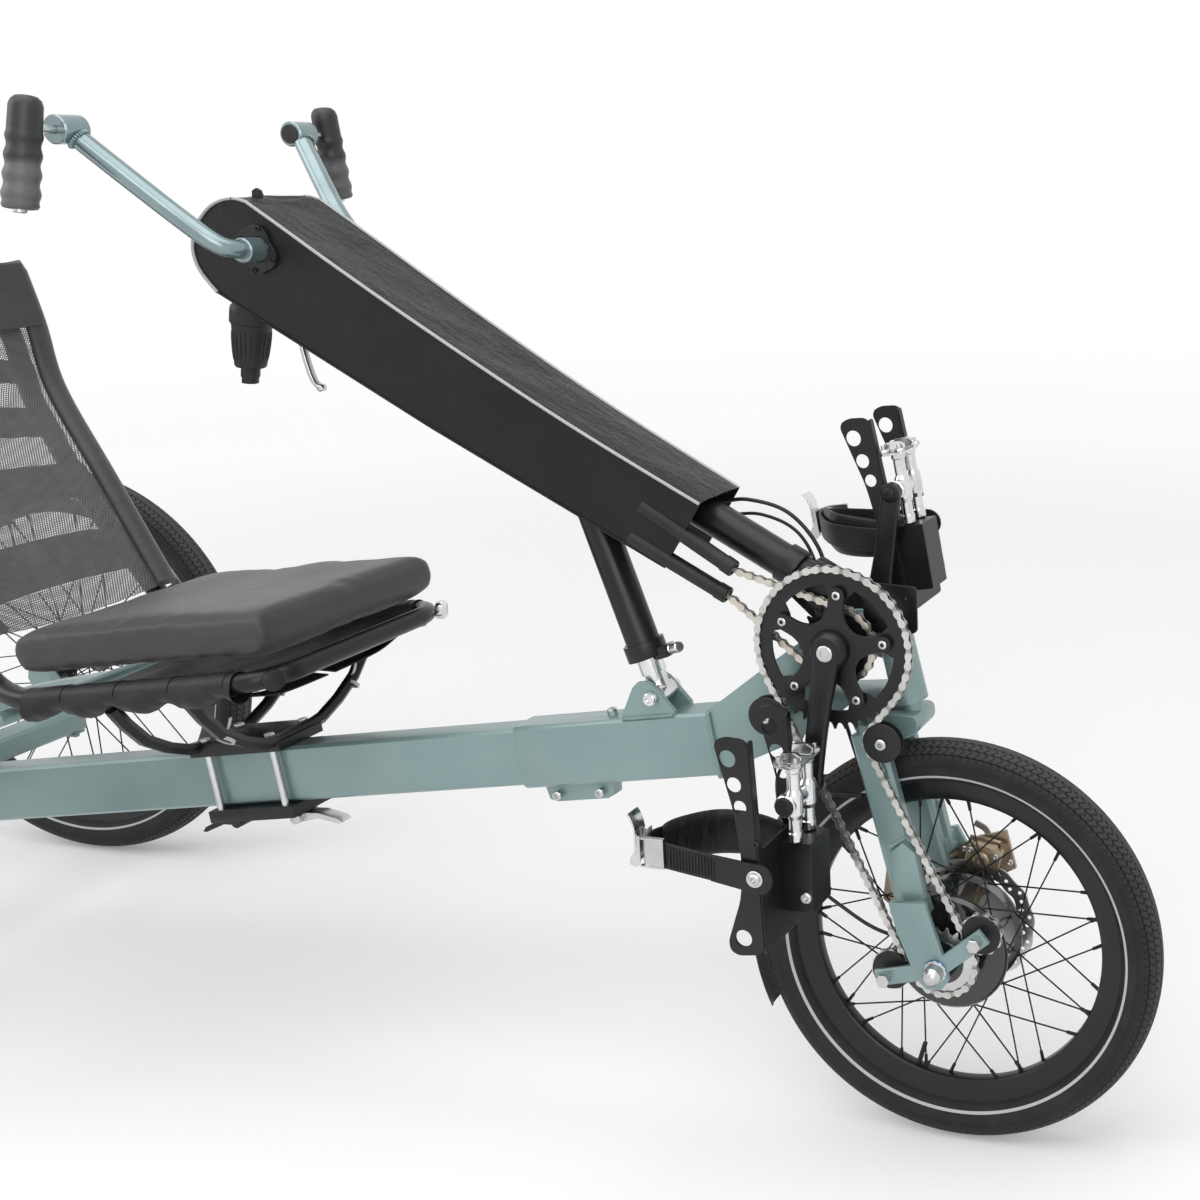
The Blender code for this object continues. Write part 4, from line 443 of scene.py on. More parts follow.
# %% [markdown]
# ## Meshes from outlines, profiles and paths
# Most pieces of a trike are turned, bent or cut from plate. `turn_into` spins a profile round an axis,
# `sweep_into` leads a section along a path and `plate_into` punches a sheet with its holes. Each adds its
# form to a mesh under construction, so one piece may be made of several, and `keep` finishes the piece.

# %% Form helpers
def cross_axes(axis, hint):
    """Two directions square to an axis, the first as near to the hint as it can be."""
    first = hint - axis * hint.dot(axis)
    first.normalize()
    return first, axis.cross(first)


def to_mesh(name, bm):
    bmesh.ops.recalc_face_normals(bm, faces=bm.faces)
    mesh = bpy.data.meshes.new(name)
    bm.to_mesh(mesh)
    bm.free()
    return mesh


def keep(name, bm, look, body, smooth_angle=35):
    """Closes a form as a piece, with its look and the body that it rides on."""
    mesh = to_mesh(name, bm)
    item = add_object(name, mesh)
    mesh.materials.append(LOOKS[look])
    mesh.shade_smooth()
    mesh.set_sharp_from_angle(angle=math.radians(smooth_angle))
    if body:
        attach(item, body)
    return item


def mm(*places):
    """Places written in millimetres, as metres."""
    return [tuple(round(value / 1000, 7) for value in place) for place in places]


def turns(count):
    """Angles spread evenly over a whole turn."""
    return [2 * math.pi * step / count for step in range(count)]


def half_turn(count):
    return [math.pi * step / count for step in range(count + 1)]


def polar(reach, angle):
    return reach * math.cos(angle), reach * math.sin(angle)


def about_y(angle):
    """The direction at an angle round a wheel: 0 is forwards, a quarter turn is up."""
    return Vector((math.cos(angle), 0, math.sin(angle)))


def circle(radius, sides, wave=0.0, waves=0):
    return [polar(radius + wave * math.sin(waves * angle), angle) for angle in turns(sides)]


def hole(u, v, radius, sides=28):
    return [(u + x, v + y) for x, y in circle(radius, sides)]


def circle_about(centre, axis, radius, sides=24):
    first, second = cross_axes(axis, Z_AXIS if abs(axis.z) < 0.9 else X_AXIS)
    return [centre + first * u + second * v for u, v in circle(radius, sides)]


def join_rows(bm, rows, round_row=False, round_all=False):
    """Faces between neighbouring rows, closed along each row or from the last row to the first."""
    for a, b in zip(rows, rows[1:] + rows[:1] if round_all else rows[1:]):
        for index in range(len(a) if round_row else len(a) - 1):
            follow = (index + 1) % len(a)
            bm.faces.new((a[index], a[follow], b[follow], b[index]))


def thicken(bm, thickness):
    bmesh.ops.recalc_face_normals(bm, faces=bm.faces)
    bmesh.ops.solidify(bm, geom=bm.faces[:], thickness=thickness)


def skin(bm, rings, loop=False):
    """Joins rings of places, one after the other, into a closed form."""
    rows = [[bm.verts.new(place) for place in ring] for ring in rings]
    join_rows(bm, rows, True, loop)
    if not loop:
        bm.faces.new(rows[0])
        bm.faces.new(list(reversed(rows[-1])))


def turn_into(bm, profile, centre, axis, sides=48, ring=False):
    """Spins a profile of (distance along the axis, radius); a ring's profile closes on itself."""
    first, second = cross_axes(axis, Z_AXIS if abs(axis.dot(Z_AXIS)) < 0.9 else X_AXIS)
    rows = []
    for angle in turns(sides):
        outward = first * math.cos(angle) + second * math.sin(angle)
        rows.append([bm.verts.new(centre + axis * a + outward * max(r, 0.00001)) for a, r in profile])
    join_rows(bm, rows, ring, True)
    if not ring:
        bm.faces.new([row[0] for row in rows])
        bm.faces.new([row[-1] for row in rows])


def smooth_path(points, steps):
    result = []
    count = len(points)
    for index in range(count - 1):
        p0 = points[max(index - 1, 0)]
        p1 = points[index]
        p2 = points[index + 1]
        p3 = points[min(index + 2, count - 1)]
        for step in range(steps):
            t = step / steps
            bend = 2 * p1 + (p2 - p0) * t + (2 * p0 - 5 * p1 + 4 * p2 - p3) * t * t
            bend = bend + (3 * p1 - p0 - 3 * p2 + p3) * t * t * t
            result.append(bend * 0.5)
    result.append(points[-1].copy())
    return result


def sweep_into(bm, path, section, hint=Y_AXIS, loop=False):
    """Leads a section along a path; its first direction stays as near to the hint as it can."""
    rings = []
    for index, point in enumerate(path):
        along = Vector()
        if index or loop:
            along += (point - path[index - 1]).normalized()
        if index + 1 < len(path) or loop:
            along += (path[(index + 1) % len(path)] - point).normalized()
        first, second = cross_axes(along.normalized(), hint)
        rings.append([point + first * u + second * v for u, v in section])
    skin(bm, rings, loop)


def plate_into(bm, outlines, origin, u_axis, v_axis, thickness, bevel=0.0004):
    """Fills outlines, the inner ones as holes, and gives them thickness and a fine edge."""
    curve = bpy.data.curves.new("outline", "CURVE")
    curve.dimensions = "2D"
    curve.fill_mode = "BOTH"
    curve.extrude = max(thickness / 2 - bevel, 0.0)
    curve.bevel_depth = bevel
    curve.bevel_resolution = 1
    curve.offset = -bevel
    for outline in outlines:
        spline = curve.splines.new("POLY")
        spline.points.add(len(outline) - 1)
        spline.use_cyclic_u = True
        for point, (u, v) in zip(spline.points, outline):
            point.co = (u, v, 0, 1)
    item = add_object("outline", curve)
    mesh = bpy.data.meshes.new_from_object(item.evaluated_get(bpy.context.evaluated_depsgraph_get()))
    normal = u_axis.cross(v_axis)
    turn = Matrix((u_axis, v_axis, normal)).transposed().to_4x4()
    mesh.transform(Matrix.Translation(origin) @ turn)
    bm.from_mesh(mesh)
    bpy.data.objects.remove(item)
    bpy.data.meshes.remove(mesh)


def turned_piece(name, profile, centre, axis, look, body, sides=48, ring=False, angle=35):
    bm = bmesh.new()
    turn_into(bm, profile, centre, axis, sides, ring)
    return keep(name, bm, look, body, angle)


def swept_piece(name, path, section, look, body, hint=Y_AXIS, angle=35, loop=False):
    bm = bmesh.new()
    sweep_into(bm, path, section, hint, loop)
    return keep(name, bm, look, body, angle)


def cut_piece(name, outlines, origin, u_axis, v_axis, thickness, bevel, look, body):
    bm = bmesh.new()
    plate_into(bm, outlines, origin, u_axis, v_axis, thickness, bevel)
    return keep(name, bm, look, body, 40)


# %% [markdown]
# ## CAD pieces with softened edges
# Machined and folded metal never has a knife edge: the small radius catches a line of light. A plain CAD
# solid keeps its shape here, but each sharp edge is bevelled by less than a millimetre.

# %% Softened copies of CAD solids
SOFT_EDGE = 0.0007
REPLACED = set()


def replaces(item, node):
    """Hides a CAD solid that a piece stands for and notes it as replaced; the piece itself is not used."""
    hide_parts(node)
    REPLACED.add(node)


def soften(node):
    solid = NODES[node]
    bm = bmesh.new()
    bm.from_mesh(solid.data)
    bmesh.ops.remove_doubles(bm, verts=bm.verts, dist=0.00002)
    bmesh.ops.dissolve_limit(bm, angle_limit=math.radians(1.5), verts=bm.verts, edges=bm.edges)
    sharp = [edge for edge in bm.edges if edge.is_manifold and edge.calc_face_angle(0) > math.radians(32)]
    bmesh.ops.bevel(bm, geom=sharp, offset=SOFT_EDGE, segments=2, profile=0.6, affect="EDGES",
                    clamp_overlap=True)
    item = keep(node + "_soft", bm, solid.data.materials[0].name, solid["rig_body"], 40)
    replaces(item, node)


def dress_rest():
    rest = [node for node in NODES if node not in REPLACED]
    for node in rest:
        soften(node)
    print("softened copies:", len(rest))


# %% [markdown]
# ## Repeating a piece
# Spokes, chain links and bolts are one small form met dozens of times. A Geometry Nodes group sets that form
# on points: each point carries its turn and its stretch, so one group serves spokes, links and weld ripples.

# %% Repeater
ONE = Vector((1, 1, 1))


def repeat_group():
    group = bpy.data.node_groups.new("repeat_piece", "GeometryNodeTree")
    sockets = {}
    for title, kind in (("Places", "Geometry"), ("Piece", "Object"), ("Finish", "Material")):
        socket = group.interface.new_socket(title, in_out="INPUT", socket_type="NodeSocket" + kind)
        sockets[title] = socket.identifier
    group.interface.new_socket("Pieces", in_out="OUTPUT", socket_type="NodeSocketGeometry")
    add = group.nodes.new
    link = group.links.new
    given = add("NodeGroupInput")
    source = add("GeometryNodeObjectInfo")
    onto = add("GeometryNodeInstanceOnPoints")
    real = add("GeometryNodeRealizeInstances")
    paint = add("GeometryNodeSetMaterial")
    result = add("NodeGroupOutput")
    for name, kind, slot in (("turn", "QUATERNION", "Rotation"), ("stretch", "FLOAT_VECTOR", "Scale")):
        stored = add("GeometryNodeInputNamedAttribute")
        stored.data_type = kind
        stored.inputs["Name"].default_value = name
        link(stored.outputs[0], onto.inputs[slot])
    link(given.outputs["Piece"], source.inputs["Object"])
    link(given.outputs["Places"], onto.inputs["Points"])
    link(source.outputs["Geometry"], onto.inputs["Instance"])
    link(onto.outputs[0], real.inputs[0])
    link(real.outputs[0], paint.inputs["Geometry"])
    link(given.outputs["Finish"], paint.inputs["Material"])
    link(paint.outputs[0], result.inputs["Pieces"])
    return group, sockets


REPEAT, REPEAT_SOCKETS = repeat_group()


def repeated(name, piece, places, look):
    """Mesh of one small form at every place: (point, turn as a quaternion, stretch)."""
    shape = bpy.data.meshes.new(name + "_shape")
    piece.to_mesh(shape)
    piece.free()
    shape.shade_smooth()
    shape.set_sharp_from_angle(angle=math.radians(40))
    source = add_object(name + "_shape", shape)
    cloud = bpy.data.meshes.new(name + "_places")
    cloud.from_pydata([point for point, turn, stretch in places], [], [])
    facings = cloud.attributes.new("turn", "QUATERNION", "POINT")
    facings.data.foreach_set("value", [part for point, turn, stretch in places for part in turn])
    sizes = cloud.attributes.new("stretch", "FLOAT_VECTOR", "POINT")
    sizes.data.foreach_set("vector", [part for point, turn, stretch in places for part in stretch])
    holder = add_object(name, cloud)
    modifier = holder.modifiers.new("repeat", "NODES")
    modifier.node_group = REPEAT
    modifier[REPEAT_SOCKETS["Piece"]] = source
    modifier[REPEAT_SOCKETS["Finish"]] = LOOKS[look]
    graph = bpy.context.evaluated_depsgraph_get()
    mesh = bpy.data.meshes.new_from_object(holder.evaluated_get(graph))
    for item in (holder, source):
        bpy.data.objects.remove(item)
    return mesh


def keep_repeated(name, piece, places, look, body):
    item = add_object(name, repeated(name, piece, places, look))
    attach(item, body)


def facing(direction):
    return direction.to_track_quat("Z", "Y")


def stand(name, piece, places, look, body):
    """Sets one form at every place, standing along the place's direction."""
    keep_repeated(name, piece, [(place, facing(way), ONE) for place, way in places], look, body)


def spun(profile, sides):
    """A turned form that stands on the origin along Z."""
    bm = bmesh.new()
    turn_into(bm, profile, Vector(), Z_AXIS, sides)
    bmesh.ops.recalc_face_normals(bm, faces=bm.faces)
    return bm


def drum(radius, length, sides=12, bevel=0.0):
    """A short round bar, its far edge broken by a small slope."""
    slope = bevel or radius * 0.12
    return spun([(0.0, radius), (length - slope, radius), (length, radius - slope)], sides)


def bolt_head(radius, height):
    """A round bolt head with a hollow for its key."""
    return spun([(0.0, radius), (height * 0.7, radius), (height, radius * 0.8), (height, radius * 0.5),
                 (height * 0.35, radius * 0.48)], 16)


def hex_nut(radius, height):
    return spun([(0.0, radius * 0.94), (height * 0.12, radius), (height * 0.86, radius),
                 (height, radius * 0.92)], 6)


def heads(name, places, radius, height, look, body):
    stand(name, bolt_head(radius, height), places, look, body)


print("repeater ready:", REPEAT.name)

# %% [markdown]
# ## Tyres
# The tyre is a fat round tube of rubber whose two beads sit between the rim's edges. Its tread has three
# grooves round the wheel, which are modelled, and fine zigzag cuts between blocks, which the material adds
# from the mesh's own map as a bump, with painted shade inside them: u runs round the wheel and v over the
# section, both in metres.

# %% Tyres
TYRE_SECTION = 0.0245
TREAD_GROOVES = (13, 36, 58)
TYRE_SIDES = 144


def tyre_material():
    look = Finish("tyre_tread", (0.014, 0.014, 0.015), 0.62, Specular_IOR_Level=0.3)
    chart = look.node("TexCoord", output="UV")
    round_way = look.axis("X", chart)
    over = abs(look.axis("Y", chart))
    zigzag = abs((over / 0.0092).fraction() - 0.5) * 2.0
    step = ((round_way + zigzag * 0.0052) / 0.0098).fraction()
    cut = step.below(0.25) * over.above(0.0035) * over.below(0.031)
    ribs = (round_way / 0.0019).wave().ramp(-0.3, 0.5)
    band = over.above(0.0325) * over.below(0.0378)
    rings = (over / 0.0012).wave().ramp(-0.6, 0.6) * over.above(0.0378) * over.below(0.0405)
    stripe = over.above(0.0512) * over.below(0.0546)
    grain = look.noise(900.0, 3.0, 0.6)
    dust = look.noise(28.0, 4.0, 0.6)
    base = look.mix(dust.ramp(0.4, 0.85), (0.012, 0.012, 0.013), (0.027, 0.026, 0.025))
    worn = look.mix(over.ramp(0.03, 0.008) * 0.75, base, (0.066, 0.064, 0.061))
    # Painted shade: the cuts are painted near black, for the shadow inside the narrow slots.
    cuts_shaded = look.mix(cut, worn, (0.003, 0.003, 0.003))
    look.tone(stripe, cuts_shaded, (0.5, 0.51, 0.53))
    look.drive("Roughness", grain * 0.18 + 0.56 - stripe * 0.22)
    look.bump(1 - cut + (ribs * band + rings) * 0.25, 0.0022)
    look.bump(grain, 0.0001)
    return look.material


LOOKS["tyre_tread"] = tyre_material()


def tyre_profile(radius):
    """Half the section from crown to bead: side way, radius and distance over the section."""
    centre = radius - TYRE_SECTION
    points = []
    for degree in range(0, 134, 2):
        angle = math.radians(degree)
        reach = TYRE_SECTION
        if any(abs(degree - groove) < 2 for groove in TREAD_GROOVES):
            reach -= 0.0013
        if degree > 110:
            reach += 0.0016 * math.sin(math.radians((degree - 110) * 4))
        points.append((reach * 0.985 * math.sin(angle), centre + reach * math.cos(angle),
                       TYRE_SECTION * angle))
    return points


def tyre(node, body, centre, radius, bead):
    half = [point for point in tyre_profile(radius) if point[1] > bead + 0.0012] + [(0.0108, bead, 0.058)]
    profile = [(-y, r, -v) for y, r, v in reversed(half[1:])] + half
    bm = bmesh.new()
    chart = bm.loops.layers.uv.new("map")
    columns = []
    for angle in turns(TYRE_SIDES) + [0.0]:
        columns.append([bm.verts.new(centre + Y_AXIS * y + about_y(angle) * r) for y, r, v in profile])
    for step in range(TYRE_SIDES):
        for index in range(len(profile) - 1):
            corners = ((step, index), (step, index + 1), (step + 1, index + 1), (step + 1, index))
            face = bm.faces.new([columns[s][i] for s, i in corners])
            for loop, (s, i) in zip(face.loops, corners):
                loop[chart].uv = (2 * math.pi * radius * s / TYRE_SIDES, profile[i][2])
    bmesh.ops.remove_doubles(bm, verts=bm.verts, dist=0.000001)
    bmesh.ops.bridge_loops(bm, edges=[edge for edge in bm.edges if edge.is_boundary])
    replaces(keep(node + "_tread", bm, "tyre_tread", body, 50), node)


WHEELS = (("front_tyre", "front_wheel", FRONT_AXLE, 0.252, 0.2035),
          ("rear_tyre_left", "rear_wheel_left", REAR_AXLE + Y_AXIS * HALF_TRACK, 0.3284, 0.28),
          ("rear_tyre_right", "rear_wheel_right", REAR_AXLE - Y_AXIS * HALF_TRACK, 0.3284, 0.28))
for tyre_node, wheel, wheel_centre, tyre_radius, bead_radius in WHEELS:
    tyre(tyre_node, wheel, wheel_centre, tyre_radius, bead_radius)
print("tyres:", len(WHEELS))

# %% [markdown]
# ## Rims, spokes and hubs
# A wheel hangs in its spokes. Each one leaves a flange tangentially and crosses others before it reaches
# the rim, so that the hub can pass torque on. Eighteen spokes a side, each in a long nipple, is the usual
# lacing.

# %% Rims and spokes
SPOKES_A_SIDE = 18
RIM_DEPTH = 0.024


def rim(name, centre, bead):
    half = mm((0, -24.5), (5, -24.4), (7.2, -23.2), (8.6, -20.5), (10, -12), (11.2, -4), (11.8, 1),
              (12.7, 3.6), (12.7, 5.6), (11.8, 6.2), (10.9, 5.2), (10.5, 2), (9, 0.4))
    profile = half + [(-y, r) for y, r in reversed(half[1:])]
    bm = bmesh.new()
    turn_into(bm, [(y, bead + r) for y, r in profile], centre, Y_AXIS, 120, ring=True)
    replaces(keep(name + "_rim", bm, "black_paint", name, 40), name)


def spoke_ends(centre, flange_radius, flange_offset, rim_radius, crosses):
    """The two ends of each spoke; neighbours lean and cross in turn to both sides."""
    step = 2 * math.pi / SPOKES_A_SIDE
    for flange in (-1, 1):
        shift = step / 2 if flange > 0 else 0.0
        for eye in range(SPOKES_A_SIDE):
            way = 1 if eye % 2 == 0 else -1
            start = about_y(eye * step + shift) * flange_radius
            end = about_y((eye + crosses * way) * step + shift + step * 0.25 * way) * rim_radius
            start = start + Y_AXIS * (flange_offset * flange + 0.0013 * way)
            yield centre + start, centre + (end + Y_AXIS * (0.0028 * flange))


def lace(name, centre, *lacing):
    ends = list(spoke_ends(centre, *lacing))
    wires = [(start, facing(end - start), Vector((1, 1, (end - start).length))) for start, end in ends]
    keep_repeated(name + "_spokes", spun([(0.0, 0.001), (1.0, 0.001)], 8), wires, "spoke_black", name)
    nipples = [(end - (end - start).normalized() * 0.0135, end - start) for start, end in ends]
    nipple = spun(mm((0, 1.4), (0.8, 2), (10, 2.2), (15, 2.8)), 8)
    stand(name + "_nipples", nipple, nipples, "spoke_black", name)
    backs = [(start, Y_AXIS if start.y > centre.y else -Y_AXIS) for start, end in ends]
    stand(name + "_spoke_heads", drum(0.002, 0.0016, 8), backs, "bright_steel", name)


FRONT_HUB = mm((-44, 23.5), (-38.5, 24.5), (-36.2, 26.2), (-35, 56), (-34, 66.8), (-30.5, 70.5),
               (-26.2, 71.5), (-23.8, 69), (-21.5, 65.5), (-15, 64), (12, 64), (18, 65.5), (20.5, 69),
               (22.8, 71.5), (26.8, 71.2), (31, 68), (33, 62), (34.5, 42), (36.2, 29), (43.2, 26.2))
REAR_HALF = mm((-43.5, 15), (-42, 17.2), (-36.5, 18.8), (-34.6, 29), (-33.8, 30.8), (-30.6, 30.8),
               (-29.4, 28.5), (-26.2, 18.2), (-18, 16))
REAR_HUB = REAR_HALF + [(-y, r) for y, r in reversed(REAR_HALF)]
FRONT_LACING = (0.0665, 0.0242)
REAR_LACING = (0.0265, 0.032)


def wheel_set():
    for _, name, centre, _, bead in WHEELS:
        rim(name, centre, bead)
        front = name == "front_wheel"
        turned_piece(name + "_hub", FRONT_HUB if front else REAR_HUB, centre, Y_AXIS, "gloss_black", name)
        flange = FRONT_LACING if front else REAR_LACING
        lace(name, centre, *flange, bead - RIM_DEPTH + 0.001, 2 if front else 3)
        valve = centre + about_y(4.4) * (bead - RIM_DEPTH)
        stand(name + "_valve", drum(0.003, 0.03), [(valve, centre - valve)], "black_plastic", name)


LOOKS["spoke_black"] = bright_metal("spoke_black", (0.03, 0.03, 0.032), 0.34)
LOOKS["gloss_black"] = Finish("gloss_black", (0.012, 0.012, 0.013), 0.2, Coat_Weight=0.5).material
wheel_set()
print("wheels laced with", 2 * SPOKES_A_SIDE, "spokes each")

# %% [markdown]
# ## Brake disc
# The disc's rim is wavy so that it sheds water, and holes through it keep the pads clean. One outline with a
# sine on its radius makes the wave, and black arms carry it on the hub.

# %% Brake disc
DISC_PLANE = FRONT_AXLE + Y_AXIS * 0.047
DISC_ARMS = 7
DISC_HOLES = 42


def rotor():
    outlines = [circle(0.0788, 160, 0.0011, 14), circle(0.061, 120, 0.0012, 14)]
    for slot, angle in enumerate(turns(DISC_HOLES)):
        outlines.append(hole(*polar(0.07 + 0.0045 * math.sin(slot * 2.1), angle), 0.0024, 10))
    blade = cut_piece("brake_rotor_blade", outlines, DISC_PLANE, X_AXIS, Z_AXIS, 0.0019, 0.0002,
                      "bright_steel", "front_wheel")
    replaces(blade, "brake_rotor")
    arms = bmesh.new()
    for angle in turns(DISC_ARMS):
        arm = [polar(reach, angle + share) for share, reach in (
            (-0.1, 0.026), (0.1, 0.026), (0.16, 0.042), (0.34, 0.062), (0.22, 0.0635), (0.05, 0.046))]
        plate_into(arms, [arm], DISC_PLANE, X_AXIS, Z_AXIS, 0.0023, 0.0003)
    plate_into(arms, [circle(0.03, 48), circle(0.0262, 48)], DISC_PLANE, X_AXIS, Z_AXIS, 0.003, 0.0004)
    keep("brake_rotor_arms", arms, "black_paint", "front_wheel", 40)
    rivets = [(DISC_PLANE + about_y(angle + 0.28) * 0.061 - Y_AXIS * 0.0028, Y_AXIS)
              for angle in turns(DISC_ARMS)]
    stand("brake_rotor_rivets", drum(0.0032, 0.0056, 12), rivets, "bright_steel", "front_wheel")


rotor()
print("brake disc in place")

# %% [markdown]
# ## Chains
# A roller chain is a row of pins 12.7 mm apart, joined by inner and outer plates in turn. The route is laid
# out first as straight runs and arcs on the pitch circles, then pins are spaced along it evenly.

# %% Chain route
PITCH = 0.0127
CHAIN_PLANE = -0.052
HAND_PLANE = -0.0405
ROLLERS = {"roller_upper_rear": at(-0.208, CHAIN_PLANE, 0.535),
           "roller_upper_front": at(-0.066, CHAIN_PLANE, 0.5155),
           "roller_lower_rear": at(-0.0622, CHAIN_PLANE, 0.2361),
           "roller_lower_front": at(0.0493, CHAIN_PLANE, 0.2934)}
ROLLER_REACH = 0.0212


def pitch_radius(teeth):
    return PITCH / (2 * math.sin(math.pi / teeth))


def tangent_points(start, end):
    (c1, r1, turn1), (c2, r2, turn2) = start, end
    line = Vector((c2.x - c1.x, c2.z - c1.z))
    base = math.atan2(line.y, line.x)
    lean = math.acos((turn1 * r1 - turn2 * r2) / line.length)
    offset = about_y(base - lean)
    return c1 + offset * r1 * turn1, c2 + offset * r2 * turn2


def arc_points(before, here, after):
    arrive = tangent_points(before, here)[1]
    leave = tangent_points(here, after)[0]
    centre, radius, turn = here
    if radius < 0.001:
        return [centre]
    first = math.atan2(arrive.z - centre.z, arrive.x - centre.x)
    last = math.atan2(leave.z - centre.z, leave.x - centre.x)
    span = (last - first) * turn % (2 * math.pi)
    steps = max(2, int(span / 0.05))
    return [centre + about_y(first + turn * span * s / steps) * radius for s in range(steps + 1)]


def route_of(rounds):
    points = []
    for index in range(len(rounds)):
        points += arc_points(rounds[index - 1], rounds[index], rounds[(index + 1) % len(rounds)])
    return points


def pins_along(route):
    """Pins spaced evenly round a closed route, an even number of them."""
    lengths = [(route[(i + 1) % len(route)] - point).length for i, point in enumerate(route)]
    total = sum(lengths)
    count = 2 * round(total / PITCH / 2)
    pins = []
    index = 0
    passed = 0.0
    for pin in range(count):
        goal = total * pin / count
        while passed + lengths[index] < goal:
            passed += lengths[index]
            index += 1
        share = (goal - passed) / lengths[index]
        pins.append(route[index].lerp(route[(index + 1) % len(route)], share))
    return pins

# %% [markdown]
# ## Chain links
# Only an outer and an inner link are modelled, and the repeater sets them between the pins in turn. A
# stretch that spans two moving parts is baked where it lies and rides on neither of them.

# %% Chain links
def eight(radius, waist, steps=7):
    """Outline of a link plate: two round ends and a waist between them."""
    points = []
    for end in (1, -1):
        for step in range(steps):
            angle = math.radians(-105 + 210 * step / (steps - 1)) + (0 if end > 0 else math.pi)
            points.append((end * PITCH / 2 + radius * math.cos(angle), radius * math.sin(angle)))
        points.append((0.0, waist * end))
    return points


def link_shape(outer):
    """Two plates and two rollers, or two plates and two pins on an outer link."""
    bm = bmesh.new()
    for side in (-1, 1):
        plate_into(bm, [eight(0.0044, 0.0025)], Y_AXIS * (0.0029 if outer else 0.0019) * side, X_AXIS,
                   Z_AXIS, 0.0009, 0.0002)
    reach, radius = (0.0039, 0.0018) if outer else (0.0015, 0.0038)
    for end in (-1, 1):
        turn_into(bm, [(-reach, radius), (reach, radius)], X_AXIS * (PITCH / 2 * end), Y_AXIS, 10)
    bmesh.ops.recalc_face_normals(bm, faces=bm.faces)
    return bm


def link_places(pins, first, last, odd):
    places = []
    for index in range(first, last):
        if index % 2 == odd:
            a = pins[index % len(pins)]
            b = pins[(index + 1) % len(pins)]
            along = (b - a).normalized()
            turned = Matrix((along, Y_AXIS, along.cross(Y_AXIS))).transposed().to_quaternion()
            places.append(((a + b) / 2, turned, Vector(((b - a).length / PITCH, 1, 1))))
    return places


def chain_run(name, pins, first, last, look, body=None, between=None):
    """One stretch of chain that rides on a body, or, when `between` is given, is baked where it lies; the
    bodies and places in `between` are not used.
    """
    bm = bmesh.new()
    for odd in (0, 1):
        places = link_places(pins, first, last, odd)
        if places:
            links = repeated(f"{name}_{odd}", link_shape(odd == 0), places, look)
            for face in links.polygons:
                face.material_index = odd
            bm.from_mesh(links)
    joined = bpy.data.meshes.new(name)
    bm.to_mesh(joined)
    bm.free()
    joined.materials.append(LOOKS[look])
    # The inner links' darker steel is painted shade, for the shadow between the outer plates.
    joined.materials.append(LOOKS["inner_links_painted_shade"])
    item = add_object(name, joined)
    if between:
        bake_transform(item)
    else:
        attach(item, body)
    return item


def pin_near(pins, place):
    return min(range(len(pins)), key=lambda index: (pins[index] - place).length)


def drive_chain():
    plane = Y_AXIS * CHAIN_PLANE
    rounds = [(CRANK + plane, pitch_radius(46), 1), (ROLLERS["roller_upper_rear"], ROLLER_REACH, -1),
              (ROLLERS["roller_lower_rear"], ROLLER_REACH, -1), (FRONT_AXLE + plane, pitch_radius(20), 1),
              (ROLLERS["roller_lower_front"], ROLLER_REACH, -1),
              (ROLLERS["roller_upper_front"], ROLLER_REACH, -1)]
    pins = pins_along(route_of(rounds))
    count = len(pins)
    rear = tangent_points(rounds[1], rounds[2])
    front = tangent_points(rounds[5], rounds[0])
    marks = [pin_near(pins, place) for place in (rear[0], rear[1], front[0], front[1])]
    marks[3] = marks[3] + count if marks[3] < marks[2] else marks[3]
    top = chain_run("drive_chain_top", pins, marks[3] - count, marks[0], "chain_steel", "front_frame")
    replaces(top, "drive_chain")
    chain_run("drive_chain_rear", pins, marks[0], marks[1], "chain_steel",
              between=("front_frame", "fork", rear[0], rear[1]))
    chain_run("drive_chain_low", pins, marks[1], marks[2], "chain_steel", "fork")
    chain_run("drive_chain_front", pins, marks[2], marks[3], "chain_steel",
              between=("fork", "front_frame", front[0].lerp(front[1], 0.12), front[0].lerp(front[1], 0.68)))
    return count


GUIDES = {"upper": (at(-0.33, HAND_PLANE, 0.752), at(-0.247, HAND_PLANE, 0.702)),
          "lower": (at(-0.345, HAND_PLANE, 0.716), at(-0.256, HAND_PLANE, 0.67))}


def hand_chain():
    plane = Y_AXIS * HAND_PLANE
    hand = (HAND + plane, pitch_radius(16), 1)
    foot = (CRANK + plane, pitch_radius(22), 1)
    lower = [(place, 0.0, 1) for place in GUIDES["lower"]]
    upper = [(place, 0.0, 1) for place in reversed(GUIDES["upper"])]
    pins = pins_along(route_of([hand, *lower, foot, *upper]))
    count = len(pins)
    marks = [pin_near(pins, GUIDES["lower"][1]), pin_near(pins, tangent_points(lower[1], foot)[1]),
             pin_near(pins, tangent_points(foot, upper[0])[0]), pin_near(pins, GUIDES["upper"][1])]
    high = chain_run("hand_chain_high", pins, marks[3] - count, marks[0], "brass_chain", "mast")
    replaces(high, "hand_chain")
    chain_run("hand_chain_lower", pins, marks[0], marks[1], "brass_chain",
              between=("mast", "mast_yoke", pins[marks[0]], pins[marks[0]].lerp(pins[marks[1]], 0.3)))
    chain_run("hand_chain_ring", pins, marks[1], marks[2], "brass_chain", "mast_yoke")
    chain_run("hand_chain_upper", pins, marks[2], marks[3], "brass_chain",
              between=("mast_yoke", "mast", pins[marks[2]].lerp(pins[marks[3]], 0.7), pins[marks[3]]))
    return count


print("drive chain links:", drive_chain(), "hand chain links:", hand_chain())

# %% [markdown]
# ## Chainring and rollers
# Each tooth is a hollow that a chain roller drops into, with a blunt point between two of them. The ring is
# punched from plate: its outline, its round window and the five tabs for the spider's bolts.

